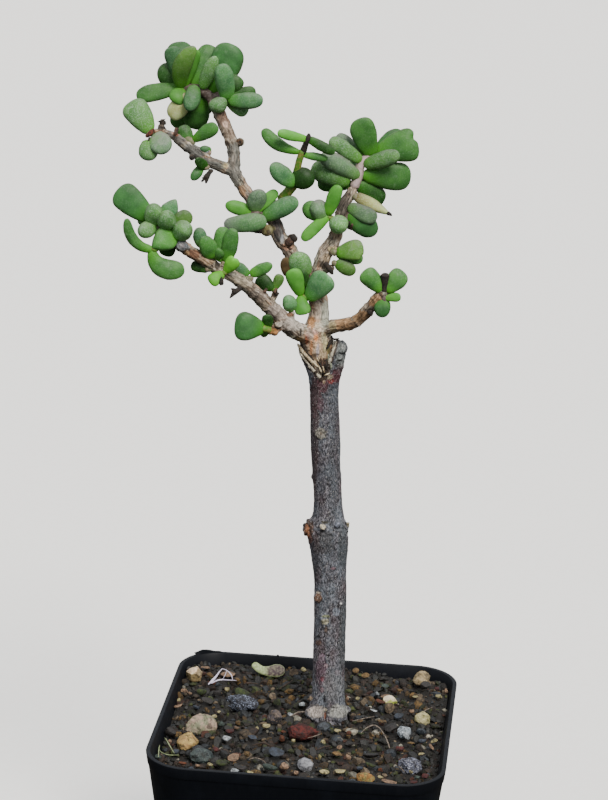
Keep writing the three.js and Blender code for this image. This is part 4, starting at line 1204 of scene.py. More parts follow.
LAID_SKINS = {
    "tan": MineralSkin("pinkish_tan_grain", "#806650", "#584537", "#a58a6e", 0.9, 0.3, 0.6),
    "ochre": MineralSkin("ochre_grain", "#5d4728", "#3f3019", "#8c7446", 0.8, 0.3, 0.6),
    "cream": MineralSkin("cream_yellow_grain", "#958c66", "#6b6440", "#bdb48a", 0.9, 0.3, 0.6),
    "green": MineralSkin("moss_on_grain", "#1f2a10", "#323b18", "#0d1007", 0.8, 0.3, 0.7, 0.9),
    "dark": MineralSkin("large_black_grain", "#100e0d", "#1c1716", "#332d2c", 1.2, 0.35, 0.4, 0.65),
    "blue": MineralSkin("blue_grey_grain", "#1a2029", "#2a323e", "#48536a", 0.9, 0.3, 0.5, 0.65),
    "white": MineralSkin("white_grain", "#a8adb0", "#6e757a", "#dfe3e5", 0.9, 0.3, 0.6, 0.65),
    "teal": MineralSkin("green_grey_grain", "#1f2b27", "#323f39", "#55665d", 0.9, 0.3, 0.5, 0.7),
    "red": MineralSkin("dark_red_grain", "#321113", "#4a1c17", "#1b0b0b", 0.9, 0.3, 0.5),
    "rust": MineralSkin("orange_brown_grain", "#54290f", "#3c1b0a", "#8b4c1d", 0.8, 0.3, 0.5),
}


@dataclass
class SoilBed:
    """Mineral grit that fills the pot: a crumbly bed with loose grains over all of its top.

    Attributes:
        top: The height of the bed's top at the front.
        reach: How far from the middle the grains lie, along x and y.
        corner: The radius of the corners of the square that they fill.
        layers: For each layer of grains the space between them and their least and greatest size.
        shapes: How many different grains are modelled before they are copied.
        crumb: How coarse the bed's own top is.
        deep: How deep the crumbly top goes.
        spread: How much wider the top is, so that it meets the pot's leaning wall.
        sunk: How far below the bed's top a grain may lie.
        stem_reach: How far from the stem's middle the scattered grains start.
        stone_share: The same for a stone, as a share of its least width.
        chip_share: The same for a laid grain, as a share of its width.
        seed: The seed of the random draw.
    """

    top: float = SOIL_TOP
    reach: float = 36.1
    corner: float = 10.0
    layers: tuple[Place, ...] = ((1.3, 0.6, 1.8), (2.9, 1.8, 3.1), (5.6, 2.8, 4.2))
    shapes: int = 8
    crumb: float = 0.7
    deep: float = 3.0
    spread: float = 0.012
    sunk: float = 2.6
    stem_reach: float = 4.4
    stone_share: float = 0.42
    chip_share: float = 0.3
    seed: int = 11

    def bed(self) -> Piece:
        """Refines the bed's solid: the same block and holes, with a crumbly top.

        Returns:
            The bed.
        """
        bed = solid_copy("soil", "soil_bed")
        modify(bed, "SUBSURF", levels=1, subdivision_type="SIMPLE")
        points, normals = points_of(bed), normals_of(bed)
        above = points[:, 2] - self.top + self.deep
        upper = np.clip(above, 0.0, 1.0) * (normals[:, 2] > 0.3)
        points[:, :2] *= 1.0 + self.spread * np.clip(above / self.deep, 0.0, 1.0)[:, None]
        crumbs = ripple(points, 1.5) + 0.5 * ripple(points, 0.7, 5.0) - 0.5
        points[:, 2] += upper * (self.crumb * crumbs + rise_at(points[:, 1]))
        put_points(bed, points)
        return bed

    def pebble(self, draw: random.Random) -> Shape:
        """Models one broken grain: a ball with a few faces cut flat.

        Args:
            draw: The random draw.

        Returns:
            Its points, about one unit across, and its faces.
        """
        grain = fresh(bpy.ops.mesh.primitive_ico_sphere_add, subdivisions=2, radius=0.56)
        edit(grain)
        for _ in range(7):
            way = Vector((draw.uniform(-1, 1), draw.uniform(-1, 1), draw.uniform(-1, 1))).normalized()
            bpy.ops.mesh.select_all(action="SELECT")
            bpy.ops.mesh.bisect(plane_co=way * draw.uniform(0.28, 0.46), plane_no=way, use_fill=True,
                                clear_outer=True)
        bpy.ops.mesh.select_all(action="SELECT")
        bpy.ops.mesh.remove_doubles(threshold=0.05)
        bpy.ops.transform.resize(value=(1.0, draw.uniform(0.6, 0.9), draw.uniform(0.4, 0.7)),
                                 center_override=(0, 0, 0))
        bpy.ops.object.mode_set(mode="OBJECT")
        return taken_apart(grain)

    def chip(self, draw: random.Random) -> Shape:
        """Models one larger grain, finely enough to be looked at by itself.

        Args:
            draw: The random draw.

        Returns:
            Its points, one unit across, and its faces.
        """
        points, faces = taken_apart(
            fresh(bpy.ops.mesh.primitive_ico_sphere_add, subdivisions=3, radius=0.54))
        points = cleaved(points, draw, 9, 0.45, 0.85)
        points *= 1.0 + 0.09 * ripple(points, 0.3, draw.uniform(0.0, 50.0))[:, None]
        return points, faces

    def inside(self, x: float, y: float) -> bool:
        """Tells whether a place lies within the pot's rounded square.

        Args:
            x: The place's x.
            y: The place's y.

        Returns:
            Whether it does.
        """
        straight = self.reach - self.corner
        past_x, past_y = max(abs(x) - straight, 0.0), max(abs(y) - straight, 0.0)
        return math.hypot(past_x, past_y) < self.corner

    def keep_clear(self) -> list[Place]:
        """Lists what the scattered grains keep clear of: the stem, the stones and the laid grains.

        Returns:
            The x, y and radius of each.
        """
        posts = [(STEM_PLACE.x, STEM_PLACE.y, self.stem_reach)]
        for name in STONES:
            low, high = (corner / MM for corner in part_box(name))
            middle, size = (low + high) / 2, high - low
            posts.append((middle.x, middle.y, min(size.x, size.y) * self.stone_share))
        for chips in LAID.values():
            posts.extend((x, y, wide * self.chip_share) for x, y, wide, _ in chips)
        return posts

    def sites(self, draw: random.Random, surface: BVHTree) -> Iterator[tuple[Vector, float]]:
        """Spreads grains evenly over the bed, by a jittered grid, with a coarser layer on top.

        Args:
            draw: The random draw.
            surface: The bed's surface.

        Yields:
            Where each grain lies and its size, in millimetres.
        """
        posts = self.keep_clear()
        for pitch, small, large in self.layers:
            count = int(2 * self.reach / pitch)
            for i in range(count):
                for j in range(count):
                    x = (i + draw.uniform(0.0, 1.0)) * pitch - self.reach
                    y = (j + draw.uniform(0.0, 1.0)) * pitch - self.reach
                    size = draw.uniform(small, large)
                    reach = size * self.chip_share
                    if not self.inside(x, y) or any(
                        math.hypot(x - post[0], y - post[1]) < post[2] + reach for post in posts
                    ):
                        continue
                    hit = surface.ray_cast(Vector((x, y, self.top + 5)), Vector((0, 0, -1)))[0]
                    if hit is not None and hit.z > self.top - self.sunk:
                        yield Vector((x, y, hit.z)), size

    def build(self) -> None:
        """Makes the bed and its grains and settles them."""
        draw = random.Random(self.seed)
        bed = self.bed()
        faces = [face.vertices[:] for face in bed.data.polygons]
        surface = BVHTree.FromPolygons(points_of(bed).tolist(), faces)
        blanks = [self.pebble(draw) for _ in range(self.shapes)]
        shares = [kind.share for kind in GRIT.values()]
        heaps: dict[str, list[tuple[np.ndarray, list[list[int]], float]]] = {kind: [] for kind in GRIT}
        for place, size in self.sites(draw, surface):
            kind = draw.choices(list(GRIT), shares)[0]
            points, faces = draw.choice(blanks)
            turn = Matrix.Rotation(draw.uniform(0, math.tau), 3, "Z")
            tip = Matrix.Rotation(draw.gauss(0, 0.8), 3, draw.choice("XY"))
            laid = points @ np.array(turn @ tip).T * size + np.array(place + Vector((0, 0, size * 0.12)))
            heaps[kind].append((laid, faces, draw.uniform(0.2, 1.15)))
        put_values(bed, "shade", np.ones(len(bed.data.vertices)))
        settle(bed, "soil_bed", "soil_grit", [FINE_SOIL.material()], ["soil"], sharp=50.0)
        for kind, heap in heaps.items():
            settle(heaped(heap), kind, "soil_grit", [GRIT[kind].skin.material()], ["soil"], sharp=25.0)
        self.lay_chips(draw)

    def lay_chips(self, draw: random.Random) -> None:
        """Lays the larger grains in their places and settles them, one piece of each colour.

        Args:
            draw: The random draw.
        """
        blanks = [self.chip(draw) for _ in range(self.shapes)]
        for kind, chips in LAID.items():
            heap = []
            for x, y, wide, high in chips:
                points, faces = draw.choice(blanks)
                size = Matrix.Diagonal((wide, wide * draw.uniform(0.7, 1.0), high * 1.25))
                turn = Matrix.Rotation(draw.uniform(-0.6, 0.6), 3, "Z")
                tip = Matrix.Rotation(draw.gauss(0, 0.25), 3, draw.choice("XY"))
                middle = np.array((x, y, self.top + 0.35 + rise_at(y) + high * 0.4))
                heap.append((points @ np.array(turn @ tip @ size).T + middle, faces, draw.uniform(0.8, 1.2)))
            settle(heaped(heap), f"{kind}_grains", "soil_grit", [LAID_SKINS[kind].material()], ["soil"],
                   sharp=35.0)


def heaped(heap: Sequence[tuple[np.ndarray, Sequence[Sequence[int]], float]]) -> Piece:
    """Makes one mesh of many laid copies.

    Args:
        heap: For each copy its points, its faces and its shade.

    Returns:
        The object, with the shade attribute.
    """
    points: list[np.ndarray] = []
    faces: list[list[int]] = []
    shades: list[np.ndarray] = []
    start = 0
    for laid, corners, shade in heap:
        points.append(laid)
        faces.extend([[start + corner for corner in face] for face in corners])
        shades.append(np.full(len(laid), shade))
        start += len(laid)
    mesh = bpy.data.meshes.new("heap")
    mesh.from_pydata(np.concatenate(points).tolist(), [], faces)
    made = added("heap", mesh)
    put_values(made, "shade", np.concatenate(shades))
    return made


@dataclass(frozen=True)
class StoneLook:
    """How one loose stone is refined.

    Attributes:
        skin: Its mineral.
        slot: The slot of its solid.
        rough: How far its faces are roughened, in millimetres.
        pits: How deep its pits are, as a share of the deepest.
        shift: How far it is moved to lie on the soil.
        wide: How much wider it is than its solid.
    """

    skin: MineralSkin
    slot: str = "pale_stone"
    rough: float = 0.12
    pits: float = 0.0
    shift: Place = (0.0, 0.0, 0.0)
    wide: float = 1.0


STONES = {
    "stone_pink": StoneLook(
        MineralSkin("pink_grey_tuff", "#9a8474", "#77785f", "#463b30", 2.2, 0.35, 0.65), rough=0.16),
    "stone_ochre": StoneLook(
        MineralSkin("ochre_sandstone", "#a18a50", "#8e6f45", "#cdb880", 1.6, 0.35, 0.55), rough=0.16),
    "stone_green_grey": StoneLook(
        MineralSkin("green_grey_schist", "#20282b", "#323c3a", "#6e7c76", 1.4, 0.3, 0.5, 0.6),
        "dark_stone", 0.14),
    "stone_blue_grey": StoneLook(
        MineralSkin("crumbled_blue_slag", "#2a2c36", "#15181f", "#a9b4cc", 0.7, 0.28, 0.9),
        "dark_stone", 0.34, 0.35),
    "stone_red": StoneLook(
        MineralSkin("porous_red_lava", "#4f1710", "#300d0a", "#180706", 1.0, 0.4, 0.8),
        "red_stone", 0.18, 0.4),
    "stone_dark": StoneLook(
        MineralSkin("dark_tuff_with_tan_crust", "#5d5148", "#38333a", "#ad947a", 1.2, 0.45, 0.4,
                    under="#17151a"),
        "dark_stone", 0.18),
    "stone_tan": StoneLook(
        MineralSkin("round_tan_pumice", "#a89674", "#80704f", "#4d3f2a", 1.1, 0.35, 0.6), rough=0.14,
        shift=(0.9, 1.4, 0.5)),
    "stone_cream": StoneLook(
        MineralSkin("cream_pumice", "#a39b74", "#7f7a4e", "#d2caa4", 1.2, 0.35, 0.6), rough=0.18),
    "stone_white": StoneLook(
        MineralSkin("white_quartz", "#a4adb5", "#697279", "#eef2f4", 0.9, 0.3, 0.6), rough=0.16),
    "stone_pale": StoneLook(
        MineralSkin("pale_pink_chip", "#dccbb6", "#c2b58c", "#5f6a24", 2.4, 0.4, 0.25, under="#8f9a3e")),
    "stone_speckled": StoneLook(
        MineralSkin("speckled_blue_granite", "#585b6c", "#2b2d38", "#c4c7d0", 0.8, 0.3, 0.8),
        "dark_stone", 0.28, 0.25),
    "stone_light_grey": StoneLook(
        MineralSkin("light_grey_pumice", "#85868b", "#616268", "#b4b5b8", 1.2, 0.35, 0.6), rough=0.16),
    "stone_orange": StoneLook(
        MineralSkin("orange_brown_jasper", "#7d5426", "#6b6438", "#cfa765", 1.3, 0.35, 0.55)),
    "stone_peach": StoneLook(
        MineralSkin("peach_grey_chip", "#d3b494", "#d9cfae", "#6b533e", 1.4, 0.35, 0.45, under="#86744e"),
        rough=0.14, shift=(-1.25, 0.6, 0.2), wide=1.13),
}


@dataclass
class LooseStones:
    """The larger stones that lie on the soil, each refined from its own solid.

    Attributes:
        swell: How much larger a stone is before its faces are broken flat.
        cuts: How many flat faces it gets.
        cut_range: The least and greatest share of its reach at which a face lies.
    """

    swell: float = 1.08
    cuts: int = 16
    cut_range: tuple[float, float] = (0.72, 0.95)

    def stone(self, name: str, look: StoneLook) -> Piece:
        """Refines one stone: the solid's form with rougher, pitted faces.

        Args:
            name: The solid's name.
            look: How it is refined.

        Returns:
            The stone.
        """
        stone = solid_copy(name, name)
        modify(stone, "SUBSURF", levels=1)
        modify(stone, "SUBSURF", levels=2, subdivision_type="SIMPLE")
        points = points_of(stone)
        middle = points.mean(axis=0)
        swell = self.swell * np.array((look.wide, 1.0, 1.0))
        points = cleaved(middle + (points - middle) * swell, random.Random(name), self.cuts, *self.cut_range)
        points += np.array(look.shift) + (0.0, 0.0, rise_at(float(middle[1])))
        put_points(stone, points)
        normals = normals_of(stone)
        push = look.rough * (ripple(points, 1.1, 3.0) + 0.7 * ripple(points, 0.45, 8.0))
        pit = np.clip(ripple(points, 0.7, 14.0) - 0.15, 0.0, 1.0) * 2.0 * look.pits
        put_points(stone, points + normals * (push - pit)[:, None])
        put_values(stone, "shade", np.ones(len(points)))
        put_values(stone, "sky", normals[:, 2])
        return stone

    def build(self) -> None:
        """Makes and settles every stone."""
        for name, look in STONES.items():
            settle(self.stone(name, look), name.replace("stone_", "") + "_stone", look.slot,
                   [look.skin.material()], [name], sharp=38.0)


# Litter

@dataclass(frozen=True)
class FallenLeafSkin:
    """Waxy skin of a leaf that dries from its tip: pale green, then mottled purple grey in a green rim."""

    name: str = "drying_fallen_leaf_skin"
    dull: tuple[str, str] = ("#4e3f42", "#7c7563")
    live: tuple[str, str] = ("#8b9a66", "#aab58a")

    def material(self) -> bpy.types.Material:
        """Builds the material: mottling 0.6 mm wide, and the drying from the bruise attribute.

        Returns:
            The material.
        """
        leaf = Skin(self.name)
        dried = leaf.add("Attribute", attribute_name="bruise").outputs["Fac"]
        spots = leaf.add("TexNoise", {"Vector": leaf.place, "Scale": 1 / 0.6, "Detail": 3.0})
        spotted = leaf.add("MapRange", {"Value": spots, "From Min": 0.42, "From Max": 0.6})
        dull, live = (leaf.tinted(linear(dark), spotted, linear(light))
                      for dark, light in (self.dull, self.live))
        colour = leaf.tinted(live, dried, dull)
        bump = leaf.add("Bump", {"Height": spots, "Strength": 0.5, "Distance": 0.15 * MM})
        return leaf.finished(Base_Color=colour, Normal=bump, Roughness=0.5, Specular_IOR_Level=0.3)


# Each strand's skin and its stations of x, y, z and width, in the pot's frame.
STRANDS = (
    ("husk", ((-28.3, 16.2, 73.9, 0.3), (-27.4, 18.0, 74.2, 0.8), (-26.7, 20.3, 74.4, 0.56),
              (-26.1, 22.8, 74.7, 0.3), (-25.6, 24.6, 74.7, 0.2))),
    ("husk", ((-27.6, 17.0, 73.9, 0.4), (-25.6, 18.6, 74.2, 0.4), (-23.4, 18.9, 74.2, 0.28),
              (-21.1, 19.4, 74.0, 0.12))),
    ("husk", ((-25.7, 24.7, 74.6, 0.15), (-24.2, 23.6, 74.6, 0.25), (-22.7, 21.4, 74.3, 0.3),
              (-22.2, 19.6, 74.1, 0.15))),
    ("husk", ((-25.0, 18.6, 74.1, 0.1), (-24.5, 21.4, 74.3, 0.18), (-24.4, 23.6, 74.5, 0.1))),
    ("root", ((-12.2, -22.6, 73.0, 0.15), (-11.0, -22.5, 73.5, 0.3), (-9.8, -22.8, 73.6, 0.3),
              (-8.5, -23.4, 73.4, 0.25), (-7.6, -24.3, 73.0, 0.12))),
    ("root", ((14.6, -2.6, 73.0, 0.2), (15.9, -1.1, 73.8, 0.35), (17.7, -0.5, 74.4, 0.4),
              (19.3, -1.8, 74.4, 0.4), (20.6, -4.2, 74.1, 0.35), (21.8, -7.2, 73.7, 0.4),
              (22.6, -9.6, 73.0, 0.3))),
    ("root", ((11.8, 3.2, 73.2, 0.15), (14.6, 4.6, 73.4, 0.25), (17.4, 6.4, 73.3, 0.12))),
    ("root", ((29.2, 8.8, 73.2, 0.2), (30.6, 10.4, 74.0, 0.3), (32.2, 12.4, 73.9, 0.15))),
    ("root", ((1.2, -7.4, 73.0, 0.2), (3.2, -6.9, 73.5, 0.3), (4.3, -5.2, 73.3, 0.15))),
    ("root", ((-4.6, 3.2, 73.2, 0.25), (-2.6, 4.4, 73.9, 0.6), (-1.0, 5.2, 73.8, 0.25))),
    ("root", ((25.4, -20.2, 73.1, 0.15), (26.2, -21.8, 73.6, 0.4), (27.4, -23.4, 73.2, 0.2))),
    ("grass", ((-35.4, -13.6, 73.1, 0.15), (-34.4, -17.0, 74.2, 0.3), (-33.0, -20.2, 74.1, 0.35),
               (-31.4, -22.9, 73.4, 0.15))),
    ("grass", ((-35.8, -18.6, 73.3, 0.15), (-35.5, -21.8, 73.9, 0.35), (-35.0, -25.8, 73.4, 0.2))),
    ("grass", ((-35.6, -20.8, 73.3, 0.1), (-34.6, -23.4, 73.6, 0.22), (-32.6, -24.6, 73.6, 0.22),
               (-30.2, -23.4, 73.2, 0.1))),
    ("fibre", ((-19.4, 18.8, 73.3, 0.15), (-17.4, 18.6, 73.9, 0.5), (-15.2, 19.4, 73.5, 0.2))),
    ("fibre", ((-9.2, 17.4, 73.4, 0.2), (-7.4, 19.6, 73.9, 0.5), (-6.2, 22.6, 73.7, 0.2))),
    ("fibre", ((3.6, -14.8, 73.1, 0.2), (5.8, -13.4, 73.6, 0.5), (7.6, -11.2, 73.2, 0.2))),
    ("fibre", ((-12.4, -14.2, 73.1, 0.2), (-9.6, -13.6, 73.7, 0.6), (-7.2, -14.4, 73.2, 0.2))),
)

STRAND_SKINS = {
    "husk": DriedSkin("white_papery_husk", "#e2ddeb", "#a9a0b8", 0.6),
    "root": DriedSkin("dead_fine_root", "#7f7469", "#3f362e"),
    "grass": DriedSkin("dry_grass_blade", "#9aa57e", "#5f6b45", 0.7),
    "fibre": DriedSkin("dark_bark_fibre", "#3d2c20", "#1b130e"),
}


@dataclass
class Litter:
    """What has dropped on the soil: one leaf that dries up, a white husk, fine roots and blades of grass.

    Attributes:
        middle: The middle of the fallen leaf, in the pot's frame.
        tilt: How steeply its face stands, in degrees.
        flat: Its thickness as a share of its width.
        spine: Across, up and half-width along the leaf, on its own face.
        sunk: How deep the strands are set in the soil.
    """

    middle: Place = (-13.6, 29.6, 75.1)
    tilt: float = 50.0
    flat: float = 0.45
    spine: tuple[Place, ...] = (
        (-4.45, 1.55, 0.4), (-4.2, 1.3, 0.85), (-3.6, 0.85, 1.1), (-2.7, 0.2, 1.15), (-1.7, -0.25, 1.2),
        (-0.5, -0.4, 1.4), (0.6, -0.4, 1.65), (2.0, -0.15, 1.95), (3.2, 0.0, 1.8), (4.0, 0.1, 1.3),
        (4.5, 0.15, 0.6),
    )

    sunk: float = 0.3

    def fallen_leaf(self) -> Piece:
        """Models the leaf: a kidney-shaped blade, flattened, with its notch at the back.

        Returns:
            The leaf, with the bruise attribute.
        """
        tilt = math.radians(self.tilt)
        along = Vector((1.0, 0.0, 0.0))
        rise = Vector((0.0, math.cos(tilt), math.sin(tilt)))
        face = np.array(along.cross(rise))
        stations = [(*(Vector(self.middle) + along * x + rise * y), 2 * half) for x, y, half in self.spine]
        line = GrownLine.through(stations, 0.25, Vector)
        leaf = swept(line.places, line.radii, 24)
        points = points_of(leaf)
        out = (points - np.array(self.middle)) @ face
        points -= (out * (1.0 - self.flat))[:, None] * face
        put_points(leaf, points)
        modify(leaf, "SMOOTH", iterations=3, factor=0.5)
        points, normals = points_of(leaf), normals_of(leaf)
        across = points[:, 0] - self.middle[0]
        rim = np.clip((0.8 - np.abs(normals @ face)) / 0.35, 0.0, 1.0)
        dried = np.clip((across + 1.2) / 1.6 + 0.25 * ripple(points, 1.0), 0.0, 1.0)
        put_values(leaf, "bruise", dried * (1 - rim))
        put_points(leaf, points + 0.08 * face * ripple(points, 0.9)[:, None])
        return leaf

    def build(self) -> None:
        """Makes and settles the leaf and the strands."""
        settle(self.fallen_leaf(), "fallen_leaf_kidney", "dry_litter", [FallenLeafSkin().material()],
               ["fallen_leaf"])
        for kind, skin in STRAND_SKINS.items():
            strands = [
                GrownLine.through([(x, y, z - self.sunk + rise_at(y), wide) for x, y, z, wide in stations],
                                  0.3, Vector).body(8)
                for name, stations in STRANDS if name == kind
            ]
            settle(joined(strands), f"{kind}_strands", "dry_litter", [skin.material()])


# Bark

@dataclass(frozen=True)
class Patch:
    """A scar, stain or knot that the front of a limb shows, where its middle is seen, or a patch of painted
    light or shade there.

    Attributes:
        right: How far right it is seen.
        up: How far up it is seen.
        wide: Its half-width in millimetres.
        tall: Its half-height.
        colour: Its sRGB hex colour.
        strength: How fully it covers the bark, from 0 to 1.
        rise: How far its ring stands out, with its middle sunk by as much.
    """

    right: float
    up: float
    wide: float
    tall: float
    colour: str
    strength: float = 0.9
    rise: float = 0.0


def seen_places(points: np.ndarray) -> tuple[np.ndarray, np.ndarray]:
    """Projects points of the plant from the eye onto the stem's upright plane.

    Args:
        points: Rows of x, y, z in the plant's frame.

    Returns:
        How far right and how far up each is seen.
    """
    eye = np.array(EYE)
    flat = eye + (points - eye) * (-eye[1] / (points[:, 1] - eye[1]))[:, None]
    return flat[:, 0], flat[:, 2]


def paint_patches(piece: Piece, patches: Sequence[Patch]) -> None:
    """Raises and colours the patches on the side of a piece that faces the eye.

    Args:
        piece: The bark, in the plant's frame. It gets the paint attribute, with the cover as its alpha.
        patches: What to paint, the later over the earlier.
    """
    points, normals = points_of(piece), normals_of(piece)
    right, up = seen_places(points)
    facing = np.clip(-normals[:, 1] * 3.0 + 0.6, 0.0, 1.0)
    wander = 0.35 * ripple(points, 0.7, 2.0)
    paint = np.zeros((len(points), 4))
    push = np.zeros(len(points))
    for patch in patches:
        far = np.hypot((right - patch.right) / patch.wide, (up - patch.up) / patch.tall) + wander
        cover = np.clip((1.15 - far) / 0.3, 0.0, 1.0) * facing * patch.strength
        paint[:, :3] += (np.array(linear(patch.colour)[:3]) - paint[:, :3]) * cover[:, None]
        paint[:, 3] = np.maximum(paint[:, 3], cover)
        ring = np.exp(-((far - 0.8) / 0.3) ** 2) - 0.9 * np.exp(-(far / 0.45) ** 2)
        push += patch.rise * ring * facing
    put_points(piece, points + normals * push[:, None])
    put_values(piece, "paint", paint)


